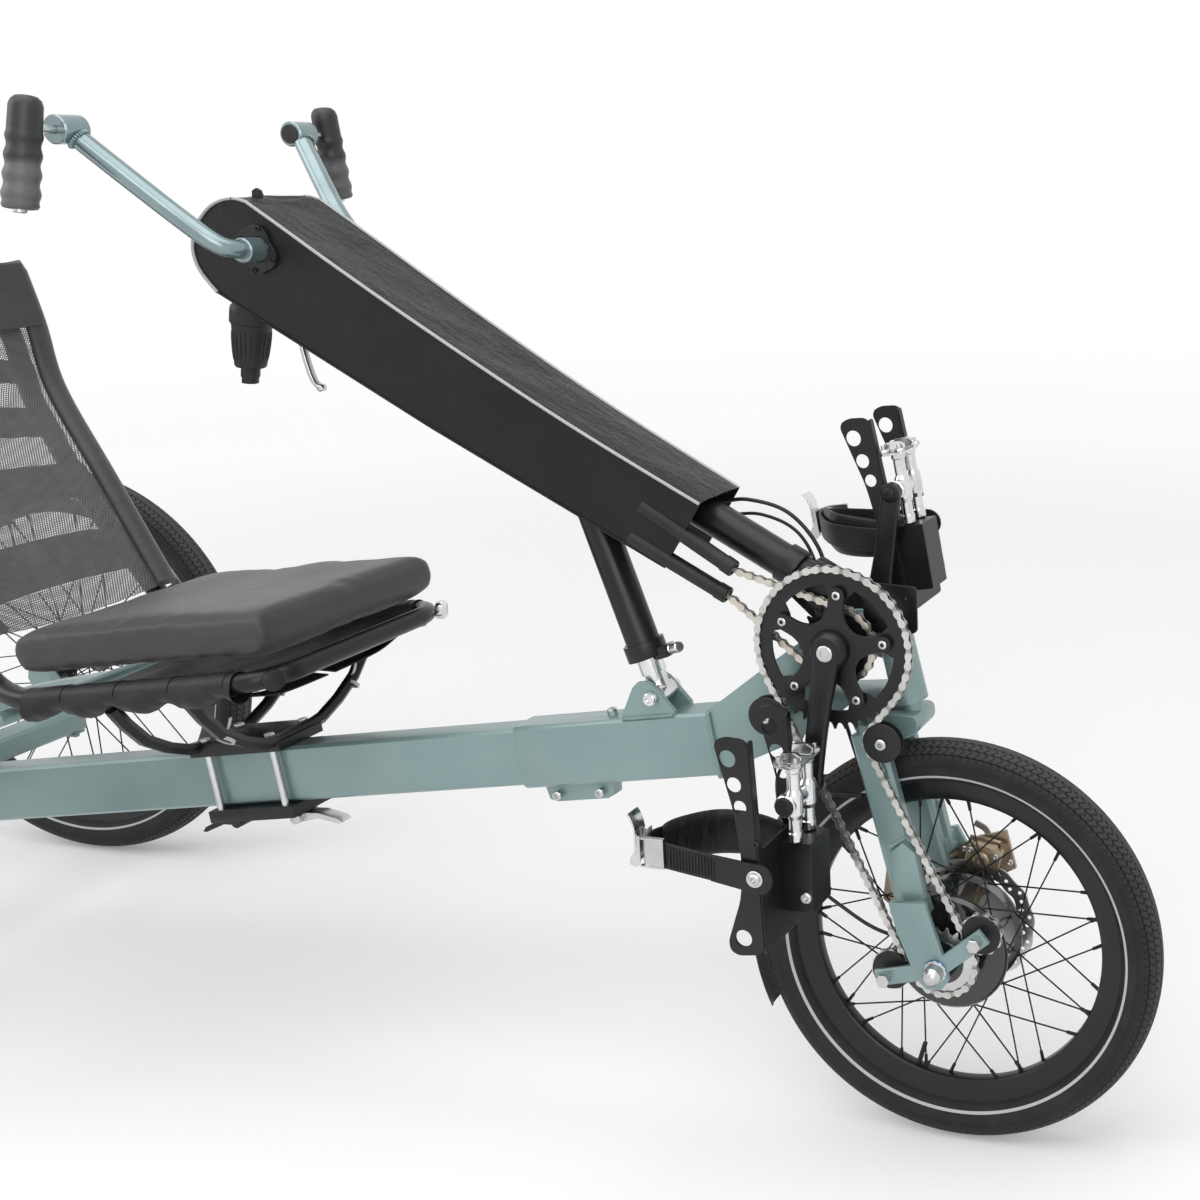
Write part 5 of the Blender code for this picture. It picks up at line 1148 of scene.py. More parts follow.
# %% Chainring
TOOTH_FORM = ((-0.26, -0.0016), (-0.14, -0.0035), (0.0, -0.004), (0.14, -0.0035), (0.26, -0.0016))
SPIDER_ARMS = [0.169 + angle for angle in turns(5)]
CRANK_CAP = mm((0, 9.8), (2.6, 9.6), (3.4, 8.5), (3.4, 5), (1.8, 4.5))


def tooth_outline(teeth, tip=0.0036):
    radius = pitch_radius(teeth)
    form = TOOTH_FORM + ((0.42, tip), (0.58, tip))
    step = 2 * math.pi / teeth
    return [polar(radius + rise, tooth * step + share * step)
            for tooth in range(teeth) for share, rise in form]


def chainring():
    centre = CRANK + Y_AXIS * CHAIN_PLANE
    window = []
    for angle in turns(150):
        nearest = min(abs((angle - arm + math.pi) % (2 * math.pi) - math.pi) for arm in SPIDER_ARMS)
        window.append(polar(0.0745 - 0.0165 * max(0.0, 1 - (nearest / 0.23) ** 2) ** 0.5, angle))
    plate = cut_piece("chainring_plate", [tooth_outline(46), window], centre, X_AXIS, Z_AXIS, 0.0024, 0.0004,
                      "black_paint", "foot_crank")
    replaces(plate, "chainring")
    places = [centre + about_y(angle) * 0.065 for angle in SPIDER_ARMS]
    heads("chainring_bolts", [(place - Y_AXIS * 0.006, -Y_AXIS) for place in places], 0.005, 0.0026,
          "bright_steel", "foot_crank")
    stand("chainring_nuts", drum(0.0048, 0.0018, 12),
          [(place + Y_AXIS * 0.0012, Y_AXIS) for place in places], "bright_steel", "foot_crank")
    turned_piece("crank_cap", CRANK_CAP, CRANK - Y_AXIS * 0.0712, -Y_AXIS, "bright_steel", "foot_crank", 32)


def sprocket():
    centre = FRONT_AXLE + Y_AXIS * CHAIN_PLANE
    plate = cut_piece("hub_sprocket_plate", [tooth_outline(20, 0.003), circle(0.015, 36)], centre, X_AXIS,
                      Z_AXIS, 0.0022, 0.0003, "bright_steel", "hub_sprocket")
    replaces(plate, "hub_sprocket")
    carrier = mm((-2.2, 12.4), (-2.2, 25.5), (-1.6, 26.2), (6.4, 26.2), (6.8, 25.5), (6.8, 12.4))
    turned_piece("hub_sprocket_carrier", carrier, centre, Y_AXIS, "gloss_black", "hub_sprocket", 36, True)


def chain_rollers():
    half = mm((6, 3.6), (6, 21), (5.4, 22.8), (4.4, 23.5), (3.7, 22.8), (3.4, 17.6), (2.6, 16.8))
    profile = half + [(-y, r) for y, r in reversed(half)]
    for name, centre in ROLLERS.items():
        item = turned_piece(name + "_wheel", profile, centre, Y_AXIS, "black_plastic", name, 40, True)
        replaces(item, name)
        if "upper" in name:
            holder = "front_frame" if name == "roller_upper_rear" else "fork"
            heads(name + "_screw", [(centre - Y_AXIS * 0.0068, -Y_AXIS)], 0.0066, 0.0042, "bright_steel",
                  holder)


chainring()
sprocket()
chain_rollers()
print("chainring, sprocket and rollers in place")

# %% [markdown]
# ## Weld beads
# Aluminium frames are TIG welded, and the bead is a row of overlapping ripples the size of a lentil. One
# flattened bead is repeated along each seam: round the neck's foot, up the fork legs and at the cross beam.

# %% Weld beads
BEAD_PITCH = 0.0023


def bead_places(route, closed, size):
    places = []
    for a, b in zip(route, route[1:] + route[:1] if closed else route[1:]):
        along = b - a
        steps = max(1, round(along.length / BEAD_PITCH))
        for step in range(steps):
            places.append((a + along * (step / steps), facing(along), Vector((size, size, size * 0.55))))
    return places


def weld(name, route, body, closed=True, size=0.0034):
    bead = bmesh.new()
    bmesh.ops.create_icosphere(bead, subdivisions=2, radius=1.0)
    keep_repeated(name, bead, bead_places(route, closed, size), "teal_paint", body)


def weld_tube(name, x, width, height, body):
    weld(name, [on_tube(x, side, rise) for side, rise in oblong(width / 2, height / 2)], body)


def frame_welds():
    weld_tube("weld_neck_foot", -0.298, 0.044, 0.08, "front_frame")
    for side, label in SIDES:
        weld("weld_crank_shell_" + label, circle_about(CRANK + Y_AXIS * (0.0215 * side), Y_AXIS, 0.0212),
             "front_frame")
        ear = [on_tube(-0.378 + shift, 0.0212 * side, 0.0404) for shift in (-0.035, 0.035)]
        weld(f"weld_ear_{side + 1}", ear, "front_frame", closed=False, size=0.0026)
        beam = [at(-1.66 + x, side * 0.3125, 0.256 + z) for x, z in oblong(0.018, 0.025)]
        weld(f"weld_beam_{side + 1}", beam, "rear_frame")
    foot = [at(-0.056, -0.0472, 0.322), at(-0.048, -0.0472, 0.3), at(-0.015, -0.0472, 0.309)]
    weld("weld_fork_foot", foot, "fork", closed=False)
    channel = [at(-0.064, -0.0448, 0.384), at(-0.045, -0.0448, 0.398), at(-0.028, -0.0448, 0.386)]
    weld("weld_fork_channel", channel, "fork", closed=False)
    weld_tube("weld_rear_collar", -1.628, 0.05, 0.086, "rear_frame")


frame_welds()
print("welds laid")

# %% [markdown]
# ## Bolts, washers and nuts
# Small bright fasteners tell the eye how a machine is put together. Each list below names where real ones
# sit: on the strut's ears, the clamp tab, the wheel's axle ends, the foot plates and the seat clamps.

# %% Fasteners
STEERER_WAY = unit(-0.222, 0, 0.975)
STEERER = at(-0.07, 0, 0.62)


def fasteners():
    steel = "bright_steel"
    for side in (-1, 1):
        out = Y_AXIS * side
        heads(f"strut_bolt_{side + 1}", [(STRUT_PIVOT + out * 0.0262, out)], 0.0078, 0.004, "chrome",
              "strut_lower")
        washer = mm((0, 6.6), (0, 13.6), (1.2, 14), (1.6, 13.2), (1.6, 6.6))
        turned_piece(f"axle_washer_{side + 1}", washer, FRONT_AXLE + out * 0.0734, out, "blue_washer",
                     "fork", 32, True)
        dome = mm((0, 10.8), (3, 11.2), (10, 10.8), (15, 8.6), (17.8, 5), (18.6, 1))
        turned_piece(f"axle_dome_{side + 1}", dome, FRONT_AXLE + out * 0.0752, out, steel, "fork", 32)
    tab = on_tube(-0.5, 0, -0.0401)
    clamp = [tab + TUBE_AXIS * shift - TUBE_UP * 0.014 - Y_AXIS * 0.0128 for shift in (-0.03, 0.03)]
    heads("sleeve_clamp_bolts", [(place, -Y_AXIS) for place in clamp], 0.006, 0.004, steel, "front_frame")
    heads("sleeve_top_bolt", [(on_tube(-0.44, 0, 0.045), TUBE_UP)], 0.0058, 0.0034, steel, "front_frame")
    for name in ("roller_lower_rear", "roller_lower_front"):
        end = Vector((ROLLERS[name].x, -0.078, ROLLERS[name].z))
        stand(name + "_nut", hex_nut(0.0084, 0.0048), [(end, -Y_AXIS)], steel, "fork")
    heads("steerer_cap_bolt", [(STEERER + STEERER_WAY * 0.05, STEERER_WAY)], 0.006, 0.003, steel, "fork")


LOOKS["blue_washer"] = bright_metal("blue_washer", (0.06, 0.22, 0.5), 0.3)
fasteners()
print("fasteners set")

# %% [markdown]
# ## Brake calipers
# Each caliper is a machined block that bridges the disc, with a round adjuster for its pads, two mounting
# bolts and a cable arm. The warm grey is an anodised finish.

# %% Brake calipers
CALIPER_PLACES = ((0.018, 0.345), (-0.104, 0.278))


def calipers():
    knobs = []
    bolts = []
    for index, (x, z) in enumerate(CALIPER_PLACES):
        outward = Vector((x, 0, z - FRONT_AXLE_Z)).normalized()
        along = outward.cross(Y_AXIS)
        middle = FRONT_AXLE + outward * 0.087
        knobs += [(middle + Y_AXIS * 0.0362, -Y_AXIS), (middle + Y_AXIS * 0.0655, Y_AXIS)]
        for end in (-1, 1):
            bolts.append((middle + along * (0.016 * end) + outward * 0.008 + Y_AXIS * 0.037, -Y_AXIS))
            bolts.append((middle + along * (0.03 * end) - outward * 0.006 + Y_AXIS * 0.0588, -Y_AXIS))
        arm = [middle + Y_AXIS * 0.068 + outward * 0.004,
               middle + Y_AXIS * 0.07 + outward * 0.02 + along * 0.01,
               middle + Y_AXIS * 0.069 + outward * 0.026 + along * 0.026]
        swept_piece(f"caliper_arm_{index}", smooth_path(arm, 5), oblong(0.004, 0.0012), "bright_steel",
                    "fork", outward)
        fins = [(middle + outward * 0.0168 + along * shift + Y_AXIS * 0.0495, facing(outward),
                 Vector((0.0012, 0.011, 0.0028))) for shift in (-0.012, -0.006, 0.0, 0.006, 0.012)]
        box = bmesh.new()
        bmesh.ops.create_cube(box, size=2.0)
        keep_repeated(f"caliper_fins_{index}", box, fins, "champagne_metal", "fork")
    heads("caliper_knobs", knobs, 0.0105, 0.0052, "champagne_metal", "fork")
    heads("caliper_bolts", bolts, 0.0038, 0.003, "bright_steel", "fork")


calipers()
print("calipers detailed")

# %% [markdown]
# ## Hand cranks and grips
# The crank arms are bent round tube, so one smooth sweep along the bend makes each. A grip hangs on the
# crank's pin and turns freely: hard rubber with finger waves, a darker strip along its front and a steel
# screw.

# %% Hand cranks
HAND_BOSS = at(-0.976, 0, 1.198)


def tube(name, points, radius, look, body, steps=8, sides=16, hint=Z_AXIS):
    return swept_piece(name, smooth_path(points, steps), circle(radius, sides), look, body, hint, 60)


def hand_crank(side, label):
    bend = [HAND + Y_AXIS * 0.06 * side, at(-0.844, 0.086 * side, 1.063), at(-0.856, 0.103 * side, 1.072),
            at(-0.896, 0.12 * side, 1.11), at(-0.974, 0.16 * side, 1.196)]
    item = tube("hand_crank_arm_" + label, bend, 0.011, "teal_gloss", "hand_crank")
    replaces(item, "hand_crank_" + label)
    out = Y_AXIS * side
    boss = mm((146, 5.2), (146, 15), (147.5, 16.6), (175, 16.6), (176.4, 15.2), (176.4, 5.2))
    turned_piece("hand_boss_" + label, boss, HAND_BOSS, out, "teal_gloss", "hand_crank", 40, True)
    cap = mm((144.6, 1), (144.6, 12), (146.2, 12.8))
    turned_piece("hand_boss_cap_" + label, cap, HAND_BOSS, out, "black_plastic", "hand_crank", 32)
    turned_piece("hand_pin_" + label, mm((150, 4.9), (208, 4.9)), HAND_BOSS, out, "bright_steel",
                 "hand_crank", 20)
    hub = mm((57.5, 10.4), (57.5, 13.4), (59, 14.8), (78.5, 14.8), (80, 13.4), (80, 10.4))
    turned_piece("hand_hub_" + label, hub, HAND, out, "teal_gloss", "hand_crank", 40, True)
    seam = circle_about(HAND_BOSS + out * 0.158 + unit(0.72, 0, -0.69) * 0.015,
                        unit(0.72, -0.37 * side, -0.69), 0.0112)
    weld("weld_hand_boss_" + label, seam, "hand_crank", size=0.0026)


def grip(side, label):
    top = at(-0.975, 0.2035 * side, 1.234)
    foot = at(-0.978, 0.2225 * side, 1.112)
    axis = (foot - top).normalized()
    length = (foot - top).length
    profile = mm((0, 6), (1, 10), (5, 13.8), (11, 15.6))
    for step in range(29):
        along = 0.018 + (length - 0.026) * step / 28
        wave = 0.001 * math.sin((along - 0.018) * 2 * math.pi / 0.021) if along > 0.036 else 0.0
        profile.append((along, 0.0154 + 0.0016 * along / length + wave))
    profile += [(length - 0.003, 0.017), (length, 0.015), (length + 0.0008, 0.011)]
    bm = bmesh.new()
    turn_into(bm, profile, top, axis, 40)
    replaces(keep("grip_body_" + label, bm, "grip_two_tone", "grip_" + label, 50), "grip_" + label)
    heads("grip_screw_" + label, [(foot + axis * 0.0006, axis)], 0.0066, 0.0042, "bright_steel",
          "grip_" + label)
    heads("grip_side_screw_" + label, [(HAND_BOSS + Y_AXIS * 0.2095 * side, Y_AXIS * side)], 0.004, 0.01,
          "bright_steel", "grip_" + label)


def grip_material():
    look = Finish("grip_two_tone", (0.024, 0.024, 0.026), 0.46)
    shade = look.noise(6.0, 2.0)
    height = look.axis("Z")
    strip = height.ramp(1.168, 1.16)
    look.tone(strip, (0.016, 0.016, 0.018), (0.105, 0.106, 0.11))
    grain = look.noise(1400.0, 3.0, 0.6)
    look.drive("Roughness", grain * 0.25 + shade * 0.1 + 0.24)
    look.bump(grain, 0.00012)
    return look.material


LOOKS["grip_two_tone"] = grip_material()
for side, label in SIDES:
    hand_crank(side, label)
    grip(side, label)
print("hand cranks and grips in place")

# %% [markdown]
# ## Mast cover
# A sewn vinyl cover keeps the hand chain's grease away. Two firm side panels carry a softer top strip, and a
# pale cord is sewn into each top seam. The strip is a grid that sags a little and folds across its length.

# %% Mast cover
COVER_EDGE = mm((-289, 780), (-467, 877), (-656, 990.5), (-830, 1101), (-860, 1118), (-885, 1119),
                (-909, 1108), (-928, 1086), (-936, 1060), (-929, 1034), (-907, 1008))
COVER_LOW = mm((-627, 856), (-337, 702))
COVER_HALF = 0.0542


def cover_half(share):
    """Half width of the top strip, narrower at its front end."""
    return COVER_HALF * (0.8 + 0.2 * min(1.0, share * 4.0))


def cover_edge(steps=10):
    return smooth_path([at(x, 0, z) for x, z in COVER_EDGE], steps)


def fold(share, across):
    """Height of the folds in the top strip, from a few waves that don't repeat."""
    ripple = math.sin(share * 61.0 + 2.2 * math.sin(across * 2.3 + share * 9.0))
    ripple += 0.6 * math.sin(share * 113.0 + across * 3.1) + 0.5 * math.sin(share * 29.0 - across * 2.0)
    middle = 1 - across * across
    fade = min(1.0, share * 14.0) * min(1.0, max(0.0, (0.66 - share) * 9.0))
    return ripple * 0.0011 * middle * fade


def top_strip():
    route = cover_edge(14)
    bm = bmesh.new()
    rows = []
    widths = 18
    total = len(route) - 1
    for index, point in enumerate(route):
        share = index / total
        along = (route[min(index + 1, total)] - route[max(index - 1, 0)]).normalized()
        outward = Vector((along.z, 0, -along.x))
        sag = 0.005 * math.sin(math.pi * min(1.0, share / 0.62)) ** 2
        row = []
        for step in range(widths + 1):
            across = 2 * step / widths - 1
            crown = 0.003 * (1 - across ** 4) - sag * (1 - across * across)
            place = point + outward * (fold(share, across) + crown)
            row.append(bm.verts.new(place + Y_AXIS * across * cover_half(share)))
        rows.append(row)
    join_rows(bm, rows)
    thicken(bm, 0.0016)
    return keep("mast_cover_top", bm, "vinyl_top", "mast", 70)


def side_panel(side):
    route = cover_edge(6)
    low = [at(x, 0, z) for x, z in COVER_LOW]
    total = len(route) - 1
    edge = [point + Y_AXIS * side * cover_half(index / total) for index, point in enumerate(route)]
    base = [low[0] + Y_AXIS * side * COVER_HALF, low[1] + Y_AXIS * side * COVER_HALF * 0.82]
    bm = bmesh.new()
    face = bm.faces.new([bm.verts.new(point) for point in edge + base])
    bmesh.ops.inset_individual(bm, faces=[face], thickness=0.006, depth=0.0006 * side)
    bmesh.ops.triangulate(bm, faces=[f for f in bm.faces if len(f.verts) > 4])
    bmesh.ops.recalc_face_normals(bm, faces=bm.faces)
    if (sum((f.normal for f in bm.faces), Vector()).y > 0) != (side > 0):
        bmesh.ops.reverse_faces(bm, faces=bm.faces)
    bmesh.ops.solidify(bm, geom=bm.faces[:], thickness=0.0016)
    keep(f"mast_cover_side_{side + 1}", bm, "vinyl_side", "mast", 30)
    piping = [point + Y_AXIS * side * 0.0008 for point in edge]
    tube(f"mast_cover_piping_{side + 1}", piping, 0.0019, "pale_piping", "mast", 2, 10, X_AXIS)
    hem = [edge[-1], base[0].lerp(edge[-1], 0.5), base[0], base[0].lerp(base[1], 0.5), base[1], edge[0]]
    seam = [point + Y_AXIS * side * 0.0004 for point in hem]
    swept_piece(f"mast_cover_hem_{side + 1}", seam, circle(0.0014, 8), "vinyl_side", "mast", Y_AXIS, 60)


def bearing_plate(side):
    out = Y_AXIS * side
    centre = HAND + out * 0.0558
    turn_u = unit(-0.42, 0, 0.9)
    outline = []
    for angle in turns(40):
        swell = abs(math.sin(2 * angle))
        outline.append((0.02 * math.cos(angle) * (1 + 0.22 * swell),
                        0.027 * math.sin(angle) * (1 + 0.16 * swell)))
    cut_piece(f"crank_bearing_plate_{side + 1}", [outline, circle(0.0152, 32)], centre, turn_u.cross(Y_AXIS),
              turn_u, 0.004, 0.0007, "black_plastic", "mast")
    ring = mm((-6, 10.4), (-6, 14.8), (0.8, 14.8), (1.4, 14), (1.4, 10.4))
    turned_piece(f"crank_bearing_{side + 1}", ring, centre, out, "gloss_black", "mast", 40, True)
    bolts = [(centre + turn_u.cross(Y_AXIS) * u + turn_u * v + out * 0.002, out)
             for u, v in oblong(0.015, 0.0205)]
    heads(f"crank_bearing_bolts_{side + 1}", bolts, 0.0032, 0.0026, "black_paint", "mast")


def top_tabs():
    outline = mm((-7, 0), (7, 0), (5.5, 12), (0, 15), (-5.5, 12))
    for index, root in enumerate((at(-0.872, -0.02, 1.117), at(-0.9, 0.01, 1.112))):
        cut_piece(f"mast_cover_tab_{index}", [outline], root, X_AXIS, Z_AXIS, 0.005, 0.0009, "black_plastic",
                  "mast")


def vinyl(name, roughness, depth):
    look = Finish(name, (0.005, 0.005, 0.006), roughness, Specular_IOR_Level=0.27)
    leather = look.cells(620.0)
    crease = look.noise(34.0, 4.0, 0.6, (1.0, 2.5, 1.0))
    cloud = look.noise(11.0, 3.0)
    look.tone(cloud.ramp(0.35, 0.75), (0.0035, 0.0035, 0.004), (0.0075, 0.0075, 0.008))
    look.drive("Roughness", leather * 0.12 + cloud * 0.18 + roughness - 0.14)
    look.bump(crease, depth)
    look.bump(leather, 0.0002)
    return look.material


LOOKS["vinyl_top"] = vinyl("vinyl_top", 0.26, 0.0042)
LOOKS["vinyl_side"] = vinyl("vinyl_side", 0.4, 0.001)
LOOKS["pale_piping"] = Finish("pale_piping", (0.42, 0.43, 0.45), 0.42).material
replaces(top_strip(), "mast_cover")
for cover_side in (-1, 1):
    side_panel(cover_side)
    bearing_plate(cover_side)
top_tabs()
print("mast cover sewn")

# %% [markdown]
# ## Seat cushion
# The cushion is foam in a stretch cover. Its block is remeshed, then blown up a little with the cloth
# solver, which rounds it as foam pushes a cover out. Movement is capped so that the seat keeps its size,
# and the seam round its side is sewn on afterwards.

# %% Seat cushion
CUSHION_SIDE = mm((-801, 590.5), (-795, 608), (-799, 626), (-810, 634), (-950, 618), (-1100, 594.5),
                  (-1176, 579), (-1181, 560), (-1171, 537), (-1000, 562), (-812, 588.5))
SEAT_HALF = 0.15
CUSHION_CAP = 0.007


def cushion_block():
    bm = bmesh.new()
    outline = [at(x, 0, z) for x, z in CUSHION_SIDE]
    centre = sum(outline, Vector()) / len(outline)
    rows = []
    for share in (-1.0, -0.985, -0.93, -0.6, 0.0, 0.6, 0.93, 0.985, 1.0):
        shrink = {1.0: 0.9, 0.985: 0.955, 0.93: 0.985}.get(abs(share), 1.0)
        row = []
        for point in outline:
            pulled = centre + Vector(((point.x - centre.x) * (0.5 + shrink / 2), 0,
                                      (point.z - centre.z) * shrink))
            row.append(bm.verts.new(pulled + Y_AXIS * (SEAT_HALF - 0.0055) * share))
        rows.append(row)
    join_rows(bm, rows, True)
    bm.faces.new(rows[0])
    bm.faces.new(rows[-1])
    return to_mesh("cushion", bm)


def blow_up(item, pressure, cap, frames=20):
    """Cloth with pressure, its movement capped, written back into the mesh."""
    rest = [vertex.co.copy() for vertex in item.data.vertices]
    modifier = item.modifiers.new("foam", "CLOTH")
    settings = modifier.settings
    for setting, value in (("quality", 5), ("tension_stiffness", 30.0), ("compression_stiffness", 30.0),
                           ("bending_stiffness", 4.0), ("use_pressure", True),
                           ("uniform_pressure_force", pressure)):
        setattr(settings, setting, value)
    settings.effector_weights.gravity = 0.0
    modifier.collision_settings.use_self_collision = False
    modifier.point_cache.frame_start = 1
    modifier.point_cache.frame_end = frames
    scene = bpy.context.scene
    for frame_number in range(1, frames + 1):
        scene.frame_set(frame_number)
    graph = bpy.context.evaluated_depsgraph_get()
    blown = bpy.data.meshes.new_from_object(item.evaluated_get(graph))
    item.modifiers.remove(modifier)
    for vertex, before, after in zip(item.data.vertices, rest, [v.co.copy() for v in blown.vertices]):
        move = after - before
        if move.length > cap:
            move = move.normalized() * cap
        vertex.co = before + move
    bpy.data.meshes.remove(blown)
    scene.frame_set(1)


def apply_modifiers(item):
    graph = bpy.context.evaluated_depsgraph_get()
    mesh = bpy.data.meshes.new_from_object(item.evaluated_get(graph))
    item.modifiers.clear()
    item.data = mesh
    return item


def cushion():
    item = add_object("seat_cushion_cover", cushion_block())
    remesh = item.modifiers.new("remesh", "REMESH")
    remesh.mode = "VOXEL"
    remesh.voxel_size = 0.0055
    apply_modifiers(item)
    blow_up(item, 4.0, CUSHION_CAP)
    smooth = item.modifiers.new("smooth", "SMOOTH")
    smooth.factor = 0.5
    smooth.iterations = 4
    finer = item.modifiers.new("finer", "SUBSURF")
    finer.levels = 1
    finer.render_levels = 1
    apply_modifiers(item)
    tuck_and_sag(item.data)
    item.data.materials.clear()
    item.data.materials.append(LOOKS["seat_neoprene"])
    item.data.shade_smooth()
    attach(item, "seat")
    replaces(item, "seat_cushion")
    return item


def tuck_and_sag(mesh):
    """Presses the hollow that a rider leaves, and draws the side's seam in."""
    for vertex in mesh.vertices:
        place = vertex.co
        x = place.x - FRONT_AXLE_X
        slope = 0.5905 + (x + 0.801) * 0.142
        rise = place.z - slope
        if rise > 0.018:
            hollow = math.exp(-((x + 1.02) / 0.13) ** 2 - (place.y / 0.1) ** 2)
            place.z -= 0.006 * hollow
            place.z += 0.001 * math.sin(x * 37.0 + place.y * 21.0) * math.sin(place.y * 29.0 + 1.0)
        if abs(place.y) > SEAT_HALF * 0.93:
            crease = math.exp(-((rise - 0.022) / 0.0035) ** 2)
            place.y *= 1 - 0.01 * crease


def neoprene():
    look = Finish("seat_neoprene", (0.028, 0.026, 0.025), 0.5, Sheen_Weight=0.2, Sheen_Roughness=0.4)
    weave = look.noise(2300.0, 2.0, 0.5)
    cloud = look.noise(5.0, 4.0, 0.55)
    stretch = look.noise(26.0, 2.0, 0.5, (0.5, 1.0, 3.0))
    look.tone(cloud.ramp(0.3, 0.75), (0.022, 0.02, 0.019), (0.04, 0.037, 0.035))
    look.drive("Roughness", weave * 0.18 + cloud * 0.12 + 0.32)
    look.bump(stretch, 0.0016)
    look.bump(weave, 0.00016)
    return look.material


LOOKS["seat_neoprene"] = neoprene()
seat_cushion = cushion()
print("cushion vertices:", len(seat_cushion.data.vertices))

# %% [markdown]
# ## Seat back
# The seat back is open mesh stretched over the frame's hoop. A padded binding folds round its edge, firm
# fabric covers its top, and wide bands behind the mesh carry the rider. The mesh's holes are in the
# material: its threads are opaque, and between them the surface is see-through.

# %% Seat back shape
BACK_STATIONS = ((-1.223, 0.56, 0.12), (-1.343, 0.706, 0.15), (-1.445, 0.83, 0.176),
                 (-1.47, 0.925, 0.178), (-1.485, 1.01, 0.168))
BACK_STEPS = 12
MESH_PITCH = 0.003
RUNG_PITCH = 0.0034


def back_point(share, across, depth=0.0):
    """A place on the seat back: share of its height, -1 to 1 across, and depth in front of it."""
    whole = smooth_path([Vector((x, z, half)) for x, z, half in BACK_STATIONS], BACK_STEPS)
    spans = len(whole) - 1
    index = min(int(share * spans), spans - 1)
    part = share * spans - index
    here = whole[index].lerp(whole[index + 1], part)
    along = (whole[index + 1] - whole[index]).normalized()
    normal = unit(along.y, 0, -along.x)
    bow = 0.022 * (across * across - 0.45)
    return at(here.x, here.z * across, here.y) + normal * (depth + bow)


def back_grid(name, low, high, edge, depth, look, rows=40, columns=24, thickness=0.0012):
    bm = bmesh.new()
    grid = []
    for row in range(rows + 1):
        share = low + (high - low) * row / rows
        grid.append([bm.verts.new(back_point(share, edge * (2 * c / columns - 1), depth))
                     for c in range(columns + 1)])
    join_rows(bm, grid)
    thicken(bm, thickness)
    return keep(name, bm, look, "seat", 70)


def mesh_cloth():
    """Threads in three directions, opaque where they lie and see-through between them."""
    look = Finish("open_mesh", grey(0.125), 0.72)
    across = look.axis("Y")
    up = look.axis("Z")
    lean = look.axis("X")
    slope = up * 0.55
    first = abs(((across + slope) / MESH_PITCH).fraction() - 0.5).below(0.15)
    second = abs(((across - slope) / MESH_PITCH).fraction() - 0.5).below(0.15)
    rung = abs(((up - lean * 0.6) / RUNG_PITCH).fraction() - 0.5).below(0.11)
    look.drive("Alpha", first.most(second).most(rung))
    look.tone(look.noise(60.0, 2.0), grey(0.095), grey(0.165))
    return look.material


def binding():
    rise = [(0.02 + 0.96 * step / 30, 0.965) for step in range(31)]
    over = [(0.985, 0.965 - 1.93 * step / 12) for step in range(1, 12)]
    fall = [(0.98 - 0.96 * step / 30, -0.965) for step in range(31)]
    route = [back_point(share, across, 0.004) for share, across in rise + over + fall]
    section = [(0.0145 * math.cos(a), 0.0082 * math.sin(a)) for a in turns(14)]
    item = swept_piece("backrest_binding", route, section, "seat_neoprene", "seat", Y_AXIS, 60)


def sheet_size(low, high, edge):
    """Widest width of the stretched mesh, and its length measured along its middle."""
    middle = [back_point(low + (high - low) * s / 20, 0) for s in range(21)]
    length = sum((b - a).length for a, b in zip(middle, middle[1:]))
    return max(2 * edge * half for _, _, half in BACK_STATIONS), length


def seat_back():
    panel = back_grid("backrest_mesh", 0.02, 0.8, 0.93, 0.003, "open_mesh", thickness=0.0006)
    replaces(panel, "backrest_cover")
    area = sum(face.area for face in panel.data.polygons) / 2
    width, length = sheet_size(0.02, 0.8, 0.93)
    cap = back_grid("backrest_cap", 0.74, 1.0, 0.985, 0.005, "seat_neoprene", 14, 24, 0.01)
    for index, middle in enumerate((0.12, 0.27, 0.43, 0.59)):
        band = back_grid(f"backrest_band_{index}", middle - 0.042, middle + 0.042, 0.93, -0.008,
                         "band_webbing", 6, 16)
        sag_band(band.data)
    binding()
    return width, length, area


def sag_band(mesh):
    for vertex in mesh.vertices:
        across = vertex.co.y / 0.16
        vertex.co.z += 0.03 * (1 - across * across) - 0.012


LOOKS["open_mesh"] = mesh_cloth()
LOOKS["band_webbing"] = rubber("band_webbing", grey(0.06), 0.78)
print("seat back mesh, flat width, length and area:", [round(value, 3) for value in seat_back()])

# %% [markdown]
# ## Seat frame, straps and lacing
# Under the cushion a sling is laced over the frame tube, and its cloth turns round the side tubes. The
# lacing is red cord in a zigzag, black webbing wraps the tube every few centimetres, and white ties hold
# the cables. The tube's front corners end in plugs, a bright one and a black one.

# %% Seat frame
def back_normal(index):
    first = BACK_STATIONS[max(index - 1, 0)]
    last = BACK_STATIONS[min(index + 1, len(BACK_STATIONS) - 1)]
    along = unit(last[0] - first[0], 0, last[1] - first[1])
    return Vector((along.z, 0, -along.x))


def rail_route():
    half = [at(-0.8, 0.0, 0.56), at(-0.8, 0.115, 0.56), at(-0.826, 0.146, 0.556),
            at(-1.16, 0.142, 0.504), at(-1.215, 0.13, 0.512)]
    for index, (x, z, width) in enumerate(BACK_STATIONS[1:4]):
        half.append(at(x, width - 0.014, z) - back_normal(index + 1) * 0.0235)
    last = BACK_STATIONS[4]
    corner = at(last[0], 0, last[1]) - back_normal(4) * 0.0235
    half.append(corner + Y_AXIS * 0.125 - Z_AXIS * 0.006)
    half.append(corner)
    return half


